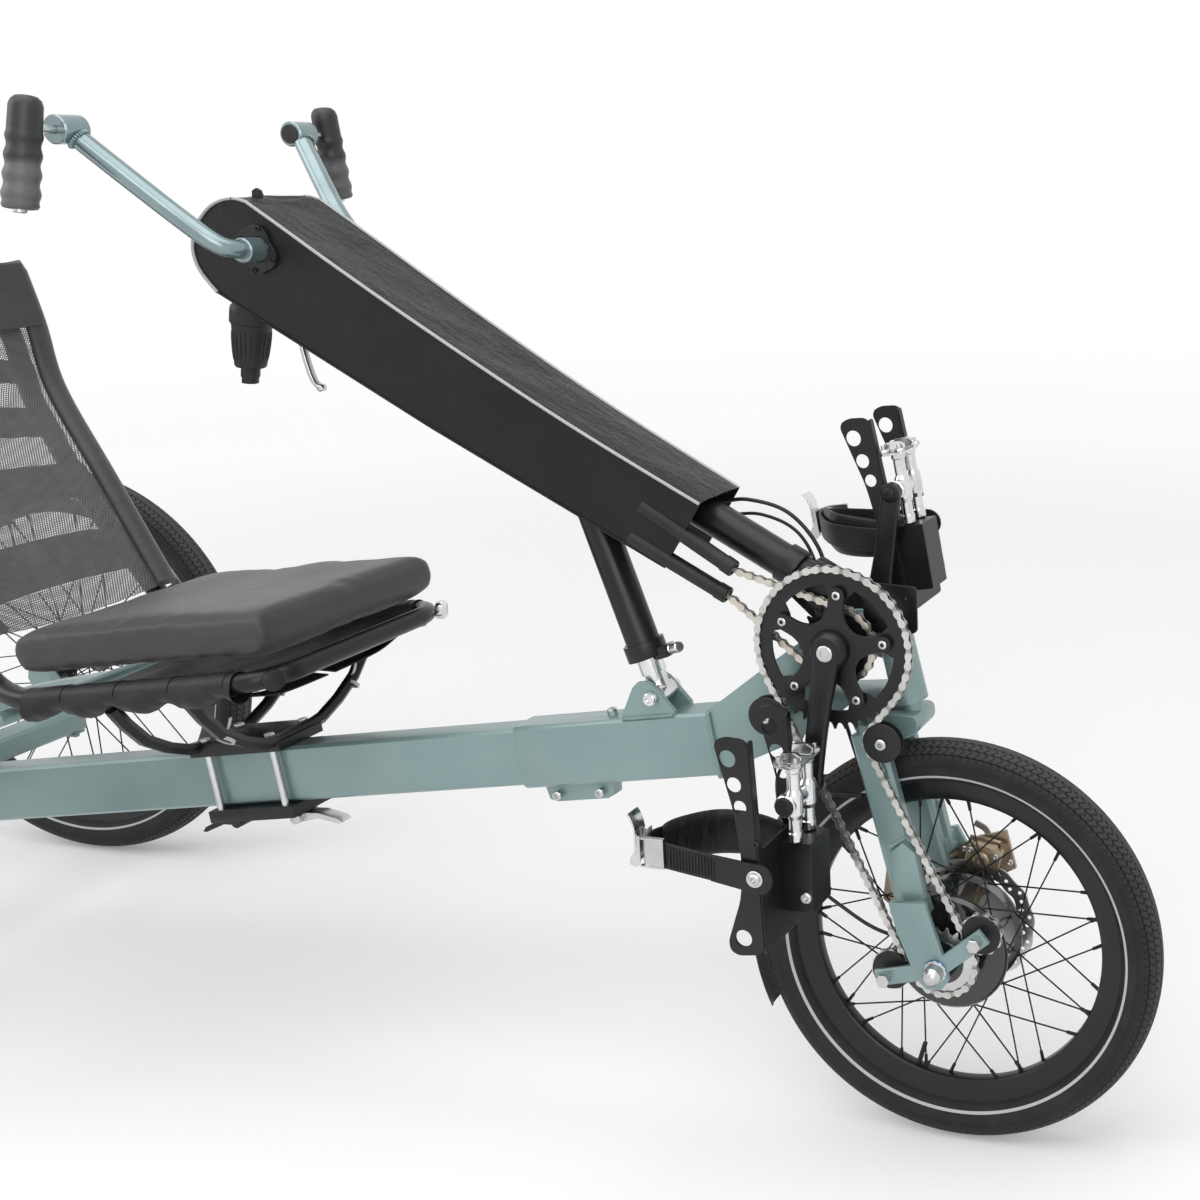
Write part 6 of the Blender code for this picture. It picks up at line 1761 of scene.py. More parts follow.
def rounded(points, radius=0.022, steps=5):
    """The same line with each corner cut round by a short curve."""
    result = [points[0]]
    for before, corner, after in zip(points, points[1:], points[2:]):
        reach = min(radius, (corner - before).length * 0.45, (after - corner).length * 0.45)
        start = corner + (before - corner).normalized() * reach
        end = corner + (after - corner).normalized() * reach
        for step in range(steps + 1):
            t = step / steps
            result.append(start * (1 - t) ** 2 + corner * 2 * t * (1 - t) + end * t * t)
    result.append(points[-1])
    return result


def seat_rail():
    half = rail_route()
    ring = half + [Vector((p.x, -p.y, p.z)) for p in reversed(half[1:-1])]
    line = rounded([ring[-1]] + ring + [ring[0]], 0.024)[1:-1]
    item = swept_piece("seat_rail", line, circle(0.0125, 16), "black_paint", "seat", Z_AXIS, 60, True)
    replaces(item, "seat_frame")


def web_loop(name, place, along, wide, reach, look):
    """A flat strap wrapped once round the frame tube."""
    ring = circle_about(place, along, reach, 20)
    swept_piece(name, ring, oblong(wide / 2, 0.0009), look, "seat", along, 40, True)


STRAP_SHARES = (0.1, 0.34, 0.58, 0.82)
SIDE_RAIL = (at(-0.826, 0.146, 0.556), at(-1.16, 0.142, 0.504))
WRAP_ROWS = 60
WRAP_COLUMNS = 18


def rail_wrap(side):
    """The sling's cloth turns round the side tube and bags a little between the straps."""
    start, end = SIDE_RAIL
    up, out = cross_axes((end - start).normalized(), Z_AXIS)
    bm = bmesh.new()
    grid = []
    for row in range(WRAP_ROWS + 1):
        share = 0.03 + 0.93 * row / WRAP_ROWS
        middle = start.lerp(end, share)
        slack = abs(math.sin(math.pi * (share - STRAP_SHARES[0]) / 0.24))
        line = []
        for column in range(WRAP_COLUMNS + 1):
            angle = math.radians(-70 + 310 * column / WRAP_COLUMNS)
            hang = max(0.0, -math.cos(angle))
            ripple = 0.0011 * math.sin(74 * share + 2.3 * angle) * (0.3 + hang)
            reach = 0.0136 + slack * (0.0012 + 0.012 * hang + ripple)
            point = middle + up * (reach * math.cos(angle)) + out * (reach * math.sin(angle))
            point.y *= side
            line.append(bm.verts.new(point))
        grid.append(line)
    widest = max(sum((b.co - a.co).length for a, b in zip(line, line[1:])) for line in grid)
    run = (end - start).length * 0.93
    join_rows(bm, grid)
    area = sum(face.calc_area() for face in bm.faces)
    thicken(bm, 0.0007)
    item = keep(f"seat_rail_wrap_{side + 1}", bm, "strap_webbing", "seat", 60)
    width = max(widest, area / run) * 1.002
    print("rail wrap, flat width and length:", round(width, 3), round(run, 3), "area", round(area, 4))


def seat_straps(side):
    """Webbing round the side tube, each with a strap that leads under the cushion."""
    start, end = SIDE_RAIL
    for index, share in enumerate(STRAP_SHARES):
        place = start.lerp(end, share)
        place.y *= side
        web_loop(f"seat_strap_{side + 1}_{index}", place, (end - start).normalized(), 0.026, 0.0142,
                 "strap_webbing")
        low = [place - Z_AXIS * 0.0135, place - Z_AXIS * 0.024 - Y_AXIS * side * 0.03,
               place - Z_AXIS * 0.034 - Y_AXIS * side * 0.07, place - Z_AXIS * 0.036 - Y_AXIS * side * 0.14]
        swept_piece(f"seat_sling_strap_{side + 1}_{index}", smooth_path(low, 6), oblong(0.013, 0.0009),
                    "strap_webbing", "seat", X_AXIS, 40)


def seat_lacing(side):
    points = []
    for step in range(15):
        place = SIDE_RAIL[0].lerp(SIDE_RAIL[1], 0.06 + 0.8 * step / 14)
        inward, drop = (0.01, 0.015) if step % 2 else (0.034, 0.02)
        place.y = (place.y - inward) * side
        place.z -= drop
        points.append(place)
    tube(f"seat_lacing_{side + 1}", points, 0.0016, "red_lacing", "seat", 4, 8, Z_AXIS)
    plug = mm((-4, 12), (0, 13), (4.8, 12.8), (6.4, 10.5))
    turned_piece(f"seat_plug_{side + 1}", plug, at(-0.7955, 0.1385 * side, 0.56) - X_AXIS * 0.001,
                 unit(0.92, 0.38 * side, 0), "chrome" if side > 0 else "black_plastic", "seat", 32)


def cable_ties():
    for index, (x, y) in enumerate(((-0.905, 0.1), (-1.02, 0.094), (-0.905, -0.1))):
        foot = on_tube(x, 0, 0.05)
        place = Vector((foot.x, y, foot.z + 0.03))
        web_loop(f"cable_tie_{index}", place, unit(0, 0.7, 0.7), 0.004, 0.0098, "white_tie")
        tail = [place + Z_AXIS * 0.01, place + Z_AXIS * 0.018 + X_AXIS * 0.006,
                place + Z_AXIS * 0.03 + X_AXIS * 0.01]
        swept_piece(f"cable_tie_tail_{index}", smooth_path(tail, 4), oblong(0.0018, 0.0006), "white_tie",
                    "seat", Y_AXIS, 40)


def sling_pan():
    """The sling under the cushion: a dish of cloth that hangs between the rails."""
    bm = bmesh.new()
    rows = []
    for row in range(25):
        share = row / 24
        middle = at(-0.83, 0, 0.566).lerp(at(-1.17, 0, 0.514), share)
        depth = 0.03 + 0.01 * math.sin(math.pi * share)
        points = []
        for column in range(25):
            across = column / 12 - 1
            drop = depth * (1 - across ** 4)
            drop += 0.0012 * math.sin(share * 40 + across * 5) * (1 - across * across)
            points.append(bm.verts.new(middle + Y_AXIS * 0.131 * across - Z_AXIS * drop))
        rows.append(points)
    join_rows(bm, rows)
    thicken(bm, 0.003)
    replaces(keep("seat_sling", bm, "vinyl_side", "seat", 60), "seat_pan")


LOOKS["red_lacing"] = rubber("red_lacing", (0.42, 0.03, 0.022), 0.6)
LOOKS["white_tie"] = rubber("white_tie", grey(0.62), 0.45)
seat_rail()
for side in (-1, 1):
    rail_wrap(side)
    seat_straps(side)
    seat_lacing(side)
cable_ties()
sling_pan()
print("seat frame, straps and lacing in place")

# %% [markdown]
# ## Foot plates
# Each pedal is a bent steel cradle: two side walls with lightening holes, a sole between them, and a folded
# box that takes the link's posts. Sheet is punched and then folded, so outlines have rounded corners and
# true round holes; here each wall is a filled outline with its holes, given thickness and a fine edge.

# %% Foot plates
CRANK_WAY = unit(-0.122, 0, -0.9925)
CRANK_LENGTH = 0.155
WALL_IN = 0.0885
WALL_OUT = 0.1815
PLATE_WALL = 0.0028


def on_pedal(side, forward, out, up):
    """A place on a pedal: forwards, outwards and up from its axle. The left one leans back a little."""
    lean = math.radians(9) if side > 0 else 0.0
    x = forward * math.cos(lean) - up * math.sin(lean)
    z = forward * math.sin(lean) + up * math.cos(lean)
    return CRANK - CRANK_WAY * (CRANK_LENGTH * side) + Vector((x, out * side, z))


def pedal_axes(side):
    here = on_pedal(side, 0, 0, 0)
    return on_pedal(side, 1, 0, 0) - here, Y_AXIS * side, on_pedal(side, 0, 0, 1) - here


def eased(outline, radius, steps=5):
    """A closed outline with its corners rounded."""
    result = []
    for index, corner in enumerate(outline):
        corner = Vector(corner)
        before = Vector(outline[index - 1]) - corner
        after = Vector(outline[(index + 1) % len(outline)]) - corner
        reach = min(radius, before.length * 0.48, after.length * 0.48)
        first = corner + before.normalized() * reach
        last = corner + after.normalized() * reach
        for step in range(steps + 1):
            t = step / steps
            result.append(tuple(first * (1 - t) ** 2 + corner * (2 * t * (1 - t)) + last * t * t))
    return result


def foot_plate(side, label):
    fore, out, up = pedal_axes(side)
    wall = mm((-57.5, 83), (-54.5, 90), (-44.5, 94), (-18, 92.5), (-7.5, -154), (-39, -158), (-48, -153),
              (-50, -142), (-33, -90), (-30.5, -45), (-37.5, 10))
    holes = [hole(-0.0425, 0.069, 0.0098), hole(-0.036, 0.04, 0.0087), hole(-0.03, 0.015, 0.0077),
             hole(-0.032, -0.137, 0.0098)]
    bm = bmesh.new()
    for reach in (WALL_IN, WALL_OUT):
        plate_into(bm, [eased(wall, 0.012), *holes], on_pedal(side, 0, reach, 0), fore, up, PLATE_WALL)
    heel = on_pedal(side, -0.0071, 0, -0.154)
    rise = (on_pedal(side, -0.0186, 0, 0.092) - heel).normalized()
    open_top = [(WALL_IN, 0.0), (WALL_OUT, 0.0), (WALL_OUT, 0.244), (WALL_OUT - 0.009, 0.244),
                (WALL_OUT - 0.009, 0.118), (WALL_IN + 0.009, 0.118), (WALL_IN + 0.009, 0.244),
                (WALL_IN, 0.244)]
    plate_into(bm, [eased(open_top, 0.006)], heel, out, rise, PLATE_WALL)
    cheek = mm((-11.8, -45.2), (25.8, -45.2), (25.8, -126.8), (-8, -126.8))
    for reach in (0.0914, 0.1326):
        plate_into(bm, [eased(cheek, 0.004)], on_pedal(side, 0, reach, 0), fore, up, PLATE_WALL)
    front = eased(oblong(0.0218, 0.0408), 0.002)
    plate_into(bm, [front], on_pedal(side, 0.0247, 0.112, -0.086), out, up, PLATE_WALL)
    lid = eased(mm((-19, -21.8), (17.6, -21.8), (17.6, 21.8), (-19, 21.8)), 0.003)
    plate_into(bm, [lid], on_pedal(side, 0.008, 0.112, -0.0464), fore, out, PLATE_WALL)
    replaces(keep("pedal_plate_" + label, bm, "black_paint", "pedal_" + label), "foot_plate_" + label)
    bolts = [(on_pedal(side, 0.019, 0.134, -0.108), out),
             (on_pedal(side, -0.013, WALL_OUT + 0.0056, -0.063), out)]
    heads("pedal_bolts_" + label, bolts, 0.0066, 0.0044, "bright_steel", "pedal_" + label)
    heads("pedal_stay_bolt_" + label, [(on_pedal(side, -0.012, WALL_OUT + 0.0014, -0.025), out)],
          0.0036, 0.002, "black_paint", "pedal_" + label)


for side, label in SIDES:
    foot_plate(side, label)
print("foot plates folded")

# %% [markdown]
# ## Pedal links
# A cast and chromed link joins the cradle to the crank: a cross boss turns on the pedal spindle, two posts
# go down into the folded box, and a clamp plate with four nuts holds their tops. Turned profiles give each
# post the collars that a casting leaves. The boss is closed by a black cap.

# %% Pedal links
def pedal_link(side, label):
    fore, out, up = pedal_axes(side)
    body = "pedal_" + label
    bm = bmesh.new()
    boss = mm((84, 10.4), (85.2, 12.1), (90, 12.2), (107, 11.4), (122.5, 11.4), (126, 12.6), (140.8, 12.6),
              (142, 11.4))
    turn_into(bm, boss, on_pedal(side, 0, 0, 0), out, 40)
    turn_into(bm, mm((70, 4.4), (70.8, 5), (86, 5)), on_pedal(side, 0, 0, 0), out, 24)
    post = mm((-44, 6.8), (-43, 8), (-34, 8.2), (-32.2, 7.3), (-17.5, 7.2), (-12, 9.8), (12, 9.8),
              (17, 7.2), (36, 7.3), (37.8, 8.6), (44, 8.6), (45.2, 7.4))
    for reach in (0.0985, 0.13):
        turn_into(bm, post, on_pedal(side, 0.006, reach, 0), up, 32)
    lid = eased(oblong(0.015, 0.025), 0.005)
    plate_into(bm, [lid], on_pedal(side, 0.0022, 0.114, 0.044), fore, out, 0.003)
    for reach in (0.1, 0.128):
        jaw = eased(mm((-12, -4.5), (12, -4.5), (15, 3), (7, 8.5), (-11, 7)), 0.003)
        plate_into(bm, [jaw], on_pedal(side, 0.002, reach, 0.05), fore, up, 0.006, 0.0008)
    replaces(keep("pedal_link_cast_" + label, bm, "chrome", body, 24), "pedal_link_" + label)
    feet = [on_pedal(side, forward, reach, 0.0455) for forward in (-0.008, 0.0125)
            for reach in (0.0915, 0.1365)]
    stand("pedal_nuts_" + label, hex_nut(0.0062, 0.0048), [(foot, up) for foot in feet], "bright_steel",
          body)
    stand("pedal_studs_" + label, drum(0.0026, 0.006, 12), [(foot + up * 0.004, up) for foot in feet],
          "bright_steel", body)
    cap = mm((0, 10.6), (1.4, 10.8), (3, 9.8), (3.4, 6), (3.5, 0))
    turned_piece("pedal_cap_" + label, cap, on_pedal(side, 0, 0.142, 0), out, "black_plastic", body, 36)


for side, label in SIDES:
    pedal_link(side, label)
print("pedal links cast")

# %% [markdown]
# ## Foot straps
# A moulded ratchet strap runs round each heel: a tongue bolted to the outer wall, a toothed run that the
# buckle grips, and a plain run to the inner wall. The heel rests on a stuffed pad sewn inside it. The pad is
# a crowned form swept along the strap and swollen between its two ends, where stitching pulls it thin.

# %% Foot straps
STRAP_WAY = mm((-20, 92.5), (-60, 94), (-102, 108), (-132, 140), (-146, 168), (-138, 183), (-110, 185.6),
               (-45, 185.6))
PAD_WAY = mm((-26, 99.7), (-60, 101.2), (-97.6, 114.6), (-125.2, 144.6), (-137, 165))


def strap_rise(forward):
    return -0.063 - (forward + 0.013) * 0.135


def along_strap(side, way, steps):
    return smooth_path([on_pedal(side, forward, out, strap_rise(forward)) for forward, out in way], steps)


def bar_section(half_width, half_depth, corner):
    return eased(oblong(half_width, half_depth), corner, 3)


def foot_strap(side, label):
    fore, out, up = pedal_axes(side)
    body = "pedal_" + label
    bm = bmesh.new()
    sweep_into(bm, along_strap(side, STRAP_WAY, 7), bar_section(0.0148, 0.0016, 0.0012), up)
    tongue = mm((-64, -15), (-30, -16))
    tongue += [(-0.01 + 0.0172 * math.sin(a), -0.0172 * math.cos(a)) for a in half_turn(14)]
    tongue += mm((-30, 16), (-64, 15))
    lean_back = (fore - up * 0.135).normalized()
    plate_into(bm, [tongue], on_pedal(side, 0, 0.1862, strap_rise(0)), lean_back,
               lean_back.cross(out) * -side, 0.0032)
    replaces(keep("strap_band_" + label, bm, "strap_webbing", body), "foot_strap_" + label)
    rib = bmesh.new()
    bmesh.ops.create_cube(rib, size=1.0, matrix=Matrix.Diagonal((0.0019, 0.0235, 0.0018, 1.0)))
    bmesh.ops.bevel(rib, geom=rib.edges[:], offset=0.0004, segments=1, affect="EDGES")
    ribs = []
    for tooth in range(15):
        forward = -0.113 + tooth * 0.0037
        ribs.append((on_pedal(side, forward, 0.1878, strap_rise(forward)), out))
    stand("strap_teeth_" + label, rib, ribs, "strap_webbing", body)
    washer = mm((0, 4.4), (0, 9.2), (0.8, 9.6), (1.4, 9), (1.4, 4.4))
    turned_piece("strap_washer_" + label, washer, on_pedal(side, -0.013, WALL_OUT + 0.0062, -0.063), out,
                 "bright_steel", body, 28, True)


def heel_pad(side, label):
    up = pedal_axes(side)[2]
    way = along_strap(side, PAD_WAY, 9)
    sides = 22
    section = [(0.023 * math.copysign(abs(math.cos(a)) ** 0.7, math.cos(a)), 0.0052 * math.sin(a))
               for a in turns(sides)]
    bm = bmesh.new()
    sweep_into(bm, way, section, up)
    bm.verts.ensure_lookup_table()
    for index, middle in enumerate(way):
        share = index / (len(way) - 1)
        full = math.sin(math.pi * min(max(share, 0.02), 0.98)) ** 0.32
        ripple = 1 + 0.05 * math.sin(index * 1.9)
        for vertex in bm.verts[index * sides:(index + 1) * sides]:
            away = vertex.co - middle
            tall = up * away.dot(up)
            swell = 0.3 + 0.7 * full * ripple * (1 - 0.16 * math.exp(-(away.dot(up) / 0.0035) ** 2))
            vertex.co = middle + tall * (0.66 + 0.5 * full) + (away - tall) * swell
    item = keep("heel_pad_" + label, bm, "pad_leather", "pedal_" + label, 60)


def buckle(side, label):
    fore, out, up = pedal_axes(side)
    bm = bmesh.new()
    base = [on_pedal(side, forward, reach, -0.0452)
            for forward, reach in ((-0.1512, 0.161), (-0.15, 0.173), (-0.1455, 0.185), (-0.136, 0.1893),
                                   (-0.119, 0.1898))]
    sweep_into(bm, smooth_path(base, 5), bar_section(0.0172, 0.0009, 0.0006), up)
    for reach in (0.1622, 0.1858):
        cheek = eased(mm((-150, -29), (-150, -61), (-156, -66.5), (-163.5, -63), (-162, -54), (-154.5, -45),
                         (-153.5, -29)), 0.003)
        plate_into(bm, [cheek], on_pedal(side, 0, reach, 0), fore, up, 0.0014)
    for height in (-0.029, -0.0614):
        rim = eased(mm((-15, -3), (14, -3), (14, 3), (-15, 3)), 0.002)
        plate_into(bm, [rim], on_pedal(side, -0.133, 0.1884, height), fore, out, 0.0018)
    keep("buckle_body_" + label, bm, "bright_steel", "pedal_" + label)
    lever = bmesh.new()
    way = [on_pedal(side, -0.158 + forward, 0.174, height)
           for forward, height in ((0.0, -0.063), (0.0008, -0.05), (0.0006, -0.034), (-0.0002, -0.023),
                                   (-0.0034, -0.013), (-0.0076, -0.0065))]
    sweep_into(lever, smooth_path(way, 5), bar_section(0.01, 0.0011, 0.0008), out)
    turn_into(lever, mm((-10.6, 3), (10.6, 3)), on_pedal(side, -0.158, 0.174, -0.06), out, 20)
    for reach in (0.1655, 0.1825):
        flange = eased(mm((-160, -64), (-154.8, -64), (-155.2, -30), (-159, -25)), 0.002)
        plate_into(lever, [flange], on_pedal(side, 0, reach, 0), fore, up, 0.0014)
    replaces(keep("buckle_tab_" + label, lever, "chrome", "buckle_" + label), "buckle_lever_" + label)


LOOKS["pad_leather"] = vinyl("pad_leather", 0.36, 0.0016)
for side, label in SIDES:
    foot_strap(side, label)
    heel_pad(side, label)
    buckle(side, label)
print("straps, pads and buckles fitted")

# %% [markdown]
# ## Twist shifter and brake lever
# The shifter is a moulded barrel on the stem below the mast's head. Its collar stays still while the ribbed
# part turns. The lever beside it is forged flat at the pin, then bowed and rounded for the fingers.

# %% Twist shifter and brake lever
SHIFTER_TOP = at(-0.9135, 0, 0.99)
SHIFTER_WAY = (at(-0.927, 0, 0.896) - SHIFTER_TOP).normalized()
LEVER_PIN = at(-0.853, 0, 0.992)
SHIFTER_RIBS = 22


def twist_shifter():
    barrel = mm((0, 11.2), (0.4, 18), (2, 21.6), (5, 23.6), (10, 24.1), (24, 24.1), (25.6, 23.2),
                (26.4, 22.2), (27.6, 22.2), (28.8, 21.8), (44, 20.3), (60, 19), (74, 18), (79, 17.4),
                (81.4, 16), (82, 11.2))
    item = turned_piece("shifter_barrel", barrel, SHIFTER_TOP, SHIFTER_WAY, "grip_rubber", "twist_shifter",
                        56, True)
    replaces(item, "twist_shifter")
    first, second = cross_axes(SHIFTER_WAY, X_AXIS)
    bead = bmesh.new()
    bmesh.ops.create_icosphere(bead, subdivisions=2, radius=1.0)
    ribs = []
    for angle in turns(SHIFTER_RIBS):
        outward = first * math.cos(angle) + second * math.sin(angle)
        place = SHIFTER_TOP + SHIFTER_WAY * 0.054 + outward * 0.0196
        ribs.append((place, facing(SHIFTER_WAY - outward * 0.085), Vector((0.0013, 0.0013, 0.02))))
    keep_repeated("shifter_ribs", bead, ribs, "grip_rubber", "twist_shifter")
    plug = mm((80, 10.4), (93, 10.4), (95, 9.8), (95.6, 8))
    turned_piece("stem_plug", plug, SHIFTER_TOP, SHIFTER_WAY, "black_plastic", "mast", 36)
    outlet = unit(0.55, 0.6, 0.45)
    nose = SHIFTER_TOP + SHIFTER_WAY * 0.006 + Y_AXIS * 0.015 + X_AXIS * 0.01
    turned_piece("shifter_outlet", mm((0, 6.2), (14, 5.6), (16, 4.4)), nose, outlet, "black_plastic",
                 "twist_shifter", 24)


def brake_lever():
    bm = bmesh.new()
    hub = eased(mm((-8, 6), (5, 8), (8.5, 3), (7.2, -19), (-1.2, -19), (-6, -8)), 0.005)
    plate_into(bm, [hub, hole(0.0, 0.0, 0.0027, 20)], LEVER_PIN - Y_AXIS * 0.0002, X_AXIS, Z_AXIS, 0.0048,
               0.0007)
    way = [at(-0.8495, -0.0002, 0.98), at(-0.8482, -0.0002, 0.96), at(-0.8448, -0.0002, 0.936),
           at(-0.8395, -0.0002, 0.913), at(-0.833, -0.0002, 0.895), at(-0.824, -0.0002, 0.8868)]
    sweep_into(bm, smooth_path(way, 7), bar_section(0.0046, 0.0026, 0.0022), Y_AXIS)
    turn_into(bm, mm((-4.6, 3), (-3, 4.6), (3, 4.6), (4.6, 3)), way[-1], Y_AXIS, 24)
    replaces(keep("lever_blade", bm, "bright_steel", "brake_lever", 50), "brake_lever")
    heads("lever_pin_head", [(LEVER_PIN - Y_AXIS * 0.0032, -Y_AXIS)], 0.0044, 0.0022, "bright_steel", "mast")


twist_shifter()
brake_lever()
print("hand controls set")

# %% [markdown]
# ## Cables
# A control cable is a steel wire in a black sheath less than 5 mm thick. The sheaths leave the mast
# cover in an arch, so that the mast can tip and turn without kinking them, and run down to the fork. Each is
# built in three lengths, cut at the knots where it crosses the joints, and no length rides on a body.

# %% Cables
BRAKE_WAY = mm((-838, 16, 1012), (-800, 33, 1006), (-700, 37, 958), (-500, 37, 842), (-400, 37, 788),
               (-324, 36, 764), (-273, 36, 768), (-221, 36, 755), (-184, 37, 714), (-172, 38, 660),
               (-174, 40, 600), (-172, 44, 540), (-156, 50, 470), (-136, 54, 400), (-118, 54.5, 345),
               (-111, 54.5, 312))
SHIFT_WAY = mm((-880, 24, 1020), (-840, 44, 1008), (-700, 45.5, 936), (-500, 45.5, 826), (-400, 45.5, 772),
               (-324, 45.5, 746), (-262, 45.5, 748), (-214, 45.5, 728), (-190, 46, 680), (-188, 47, 610),
               (-196, 42, 540), (-208, 26, 478), (-216, 0, 458), (-214, -28, 444), (-202, -43, 410),
               (-184, -44, 366), (-162, -42, 325), (-124, -40.5, 296), (-90, -40, 277), (-52, -40, 267))
SHEATH_STEPS = 8


def cable_run(name, way, radius, bends, node):
    """One sheath, cut into lengths at the last knot of each bend but the final one; the bodies and first
    knot of each bend are not used.
    """
    knots = [at(*place) for place in way]
    route = smooth_path(knots, SHEATH_STEPS)
    cuts = [0] + [last * SHEATH_STEPS for a, b, first, last in bends[:-1]] + [len(route) - 1]
    for index, (a, b, first, last) in enumerate(bends):
        piece = swept_piece(f"{name}_{index}", route[cuts[index]:cuts[index + 1] + 1], circle(radius, 14),
                            "cable_sheath", None, Y_AXIS, 60)
        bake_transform(piece)
        if index == 0:
            replaces(piece, node)


def ferrule(name, place, toward, body, radius=0.0031):
    profile = [(0.0, radius * 0.7), (0.0006, radius), (0.01, radius), (0.0108, radius * 0.86),
               (0.0112, 0.0009), (0.026, 0.0009)]
    turned_piece(name, profile, place, toward, "bright_steel", body, 20)


def cables():
    for name, way, radius, turn_knot, last_knot, node in (
            ("brake_sheath", BRAKE_WAY, 0.0024, 10, 13, "brake_cable"),
            ("shift_sheath", SHIFT_WAY, 0.0021, 9, 13, "shift_cable")):
        bends = (("mast", "mast_yoke", 6, 8), ("mast_yoke", "front_frame", 8, turn_knot),
                 ("front_frame", "fork", turn_knot, last_knot))
        cable_run(name, way, radius, bends, node)
    ferrule("brake_ferrule", at(-0.1117, 0.0545, 0.316), unit(0.2, 0, -0.98), "fork")
    ferrule("shift_ferrule", at(-0.056, -0.04, 0.2683), unit(0.95, 0, -0.24), "fork", 0.0028)


cables()
print("cables led")

# %% [markdown]
# ## Crank arms and spider
# The right crank is one forging: five arms spread from its hub to the chainring's bolts, with a round
# hollow between each pair, and the long arm carries the pedal. The arm is skinned over soft-cornered
# sections that shrink towards the pedal. The left one has a plain hub.

# %% Cranks
def crank_arm(bm, side):
    way = CRANK_WAY * -side
    across = way.cross(Y_AXIS)
    knots = [Vector(knot) for knot in ((-0.006, 0.064, 1.1), (0.03, 0.068, 0.98), (0.08, 0.0735, 0.84),
                                       (0.13, 0.076, 0.8), (CRANK_LENGTH, 0.076, 0.82))]
    rings = []
    for along, lateral, size in smooth_path(knots, 6):
        middle = CRANK + way * along + Y_AXIS * (lateral * side)
        rings.append([middle + Y_AXIS * (u * size) + across * (v * size)
                      for u, v in bar_section(0.0066, 0.015, 0.0046)])
    skin(bm, rings)
    eye = mm((70.4, 11.2), (71.2, 12.4), (80.4, 12.4), (81.2, 11.2))
    turn_into(bm, eye, CRANK + way * CRANK_LENGTH, Y_AXIS * side, 36)


def spider_outline():
    outline = []
    for angle in SPIDER_ARMS:
        outward = Vector(polar(1, angle))
        across = Vector((-outward.y, outward.x))
        half = mm((32, -15.5), (45, -9.8), (64, -9.6))
        tip = [(0.065 + 0.0098 * math.sin(a), -0.0098 * math.cos(a)) for a in half_turn(8)]
        for reach, width in half + tip + [(r, -w) for r, w in reversed(half)]:
            outline.append(tuple(outward * reach + across * width))
    return eased(outline, 0.012, 5)


def cranks():
    bm = bmesh.new()
    plate_into(bm, [spider_outline()], CRANK - Y_AXIS * 0.0563, X_AXIS, Z_AXIS, 0.0054, 0.0014)
    hub = mm((54, 24), (60, 24), (65, 22.2), (70, 19), (71.2, 17.6))
    turn_into(bm, hub, CRANK, -Y_AXIS, 48)
    crank_arm(bm, -1)
    turn_into(bm, mm((38.5, 25), (39.5, 26.2), (54.5, 26.2)), CRANK, -Y_AXIS, 40)
    plate_into(bm, [tooth_outline(22, 0.003)], CRANK + Y_AXIS * HAND_PLANE, X_AXIS, Z_AXIS, 0.0022, 0.0003)
    replaces(keep("spider_and_crank", bm, "black_paint", "foot_crank", 38), "crank_right")
    bm = bmesh.new()
    turn_into(bm, mm((54, 16.8), (55.2, 18), (70, 18), (72.6, 16.8), (73.8, 14)), CRANK, Y_AXIS, 40)
    turn_into(bm, mm((-61.5, 8.5), (60, 8.5)), CRANK, Y_AXIS, 28)
    crank_arm(bm, 1)
    replaces(keep("crank_and_spindle", bm, "black_paint", "foot_crank", 38), "crank_left")
    turned_piece("crank_cap_left", CRANK_CAP, CRANK + Y_AXIS * 0.0734, Y_AXIS, "bright_steel", "foot_crank",
                 32)
    eyes = [(CRANK - CRANK_WAY * (CRANK_LENGTH * side) + Y_AXIS * (0.0694 * side), Y_AXIS * -side)
            for side in (-1, 1)]
    heads("pedal_eye_bolts", eyes, 0.007, 0.0026, "black_plastic", "foot_crank")


cranks()
print("cranks forged")

# %% [markdown]
# ## Chain guides, bracket, crown and mudguard
# Two hard tubes lead the hand chain out of the cover, with a collar where each ends. A black bracket stands
# beside the head tube. The fork's crown is one block, and the mudguard is a thin blade pressed with rolled
# edges and held by two wire stays.

# %% Guides, bracket, crown and mudguard
def chain_guides():
    bm = bmesh.new()
    for start, end in GUIDES.values():
        along = end - start
        length = along.length
        profile = [(-0.04, 0.0064), (-0.04, 0.0092), (length - 0.019, 0.0092), (length - 0.018, 0.0101),
                   (length - 0.0052, 0.0101), (length - 0.004, 0.009), (length - 0.004, 0.0064)]
        turn_into(bm, profile, start, along.normalized(), 32, True)
    matrix = Matrix.Translation(at(-0.336, -0.033, 0.742)) @ Matrix.Diagonal((0.014, 0.022, 0.036, 1.0))
    made = bmesh.ops.create_cube(bm, size=1.0, matrix=matrix)
    edges = list({edge for vertex in made["verts"] for edge in vertex.link_edges})
    bmesh.ops.bevel(bm, geom=edges, offset=0.002, segments=2, affect="EDGES")
    replaces(keep("guide_tubes", bm, "black_plastic", "mast", 40), "chain_guides")


def head_bracket():
    outline = eased(mm((-98, 638), (-98, 696), (-32, 694), (-32, 640), (-56, 634)), 0.006)
    cut_piece("head_bracket", [outline, hole(-0.044, 0.68, 0.0022, 16)], at(0, -0.0262, 0), X_AXIS, Z_AXIS,
              0.0026, 0.0006, "black_paint", "front_frame")


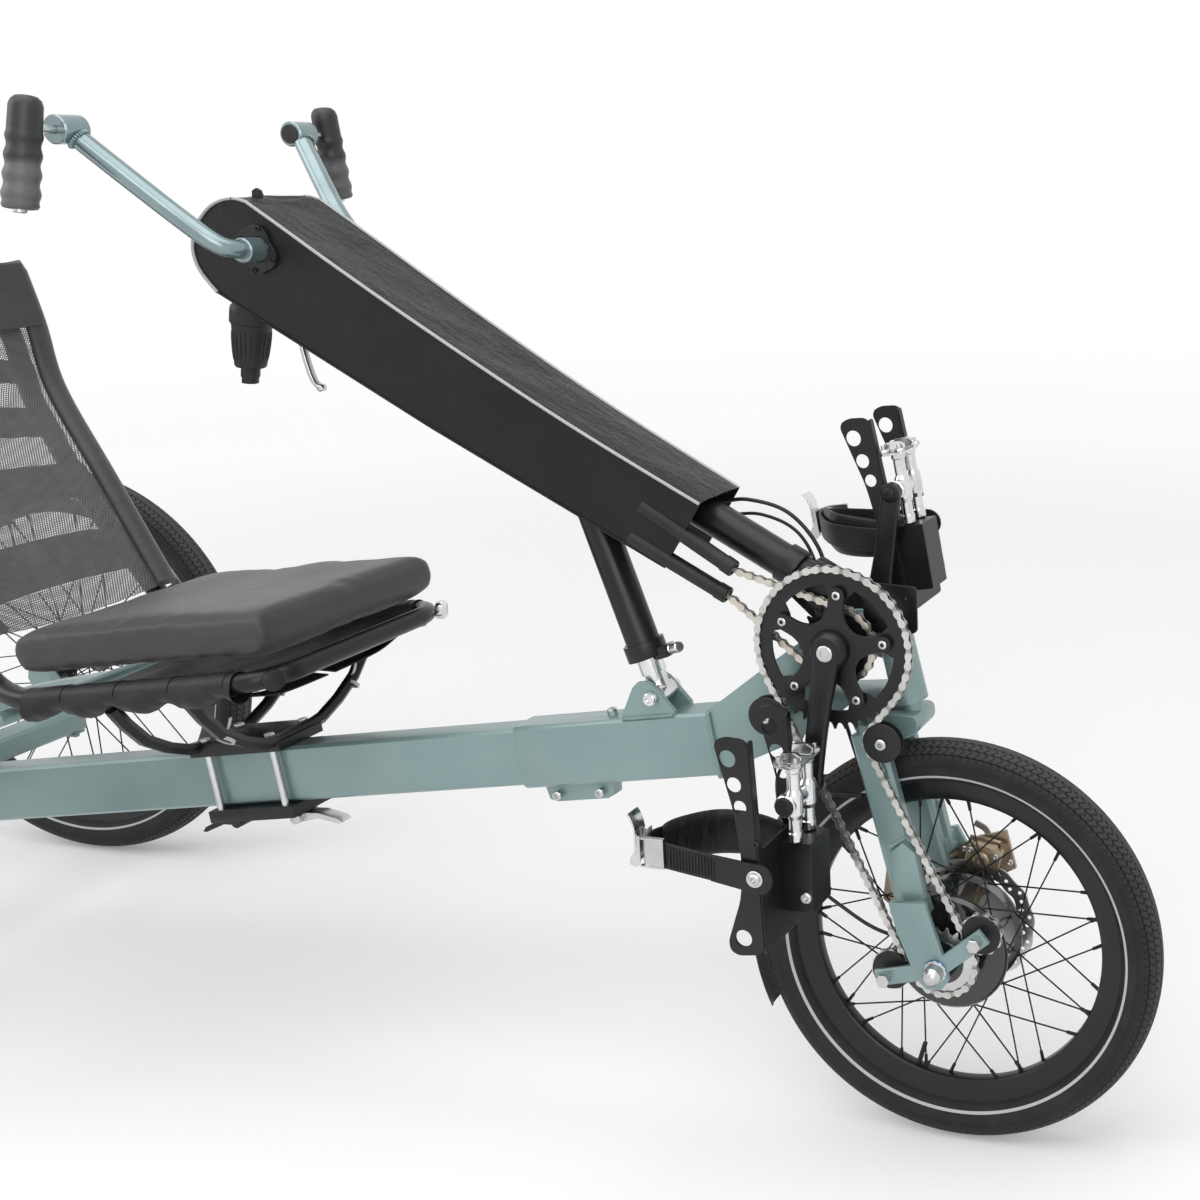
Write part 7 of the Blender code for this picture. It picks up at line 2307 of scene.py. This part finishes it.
def fork_crown():
    bm = bmesh.new()
    outline = eased(mm((-115, 513), (-96, 508), (-48, 510), (-34, 520), (-35.5, 539), (-116, 539)), 0.008)
    plate_into(bm, [outline], at(0, 0, 0), X_AXIS, Z_AXIS, 0.053, 0.0016)
    for low, high, radius in ((-0.092, 0.043, 0.0125), (0.0384, 0.0472, 0.02)):
        profile = [(low, radius - 0.0008), (low + 0.0008, radius), (high - 0.001, radius),
                   (high, radius - 0.001)]
        turn_into(bm, profile, STEERER, STEERER_WAY, 40)
    turn_into(bm, mm((46, 13), (55, 13.6), (56.2, 12.6)), STEERER, STEERER_WAY, 6)
    replaces(keep("crown_block", bm, "teal_paint", "fork", 40), "fork_crown")


def mudguard():
    radius = 0.253 + 0.0085
    bm = bmesh.new()
    path = [FRONT_AXLE + about_y(math.radians(138 + 66 * s / 44)) * radius for s in range(45)]
    outer = [(-0.024 + 0.048 * s / 12, 0.0052 * abs(-1 + 2 * s / 12) ** 3.5 - 0.001) for s in range(13)]
    inner = [(u * 0.985, v + 0.0017) for u, v in reversed(outer)]
    sweep_into(bm, path, outer + inner, Y_AXIS)
    for side in (-1, 1):
        start = FRONT_AXLE + Vector((-0.196, 0.0232 * side, 0.174))
        end = at(-0.109, 0.036 * side, 0.44)
        sweep_into(bm, [start, start.lerp(end, 0.5), end + X_AXIS * 0.008], circle(0.003, 12), Y_AXIS)
    replaces(keep("mudguard_blade", bm, "black_plastic", "fork", 40), "front_fender")


def clamp_nuts():
    for name, form, height in (("clamp_nuts", hex_nut(0.0062, 0.0046), 0.0552),
                               ("clamp_rods", drum(0.0043, 0.075, 16, 0.0003), -0.0376)):
        places = [(on_tube(-0.965 + shift, 0.0265 * side, height), TUBE_UP) for shift in (-0.05, 0.05)
                  for side in (-1, 1)]
        stand(name, form, places, "bright_steel", "seat")
    barrel = mm((0, 6.2), (8, 6.6), (9, 5.4), (12, 5.4), (13, 7), (21.5, 7), (23, 5.6))
    turned_piece("strut_lever_nut", barrel, on_strut(0.058) + X_AXIS * 0.03, unit(0.9, -0.3, 0.32), "chrome",
                 "strut_upper", 28)


chain_guides()
head_bracket()
fork_crown()
mudguard()
clamp_nuts()
print("guides, bracket, crown and mudguard in place")

# %% [markdown]
# ## Dress what is left
# Solids that no piece has replaced keep their CAD shape, and only their sharp edges are softened.

# %% Dress what is left
dress_rest()
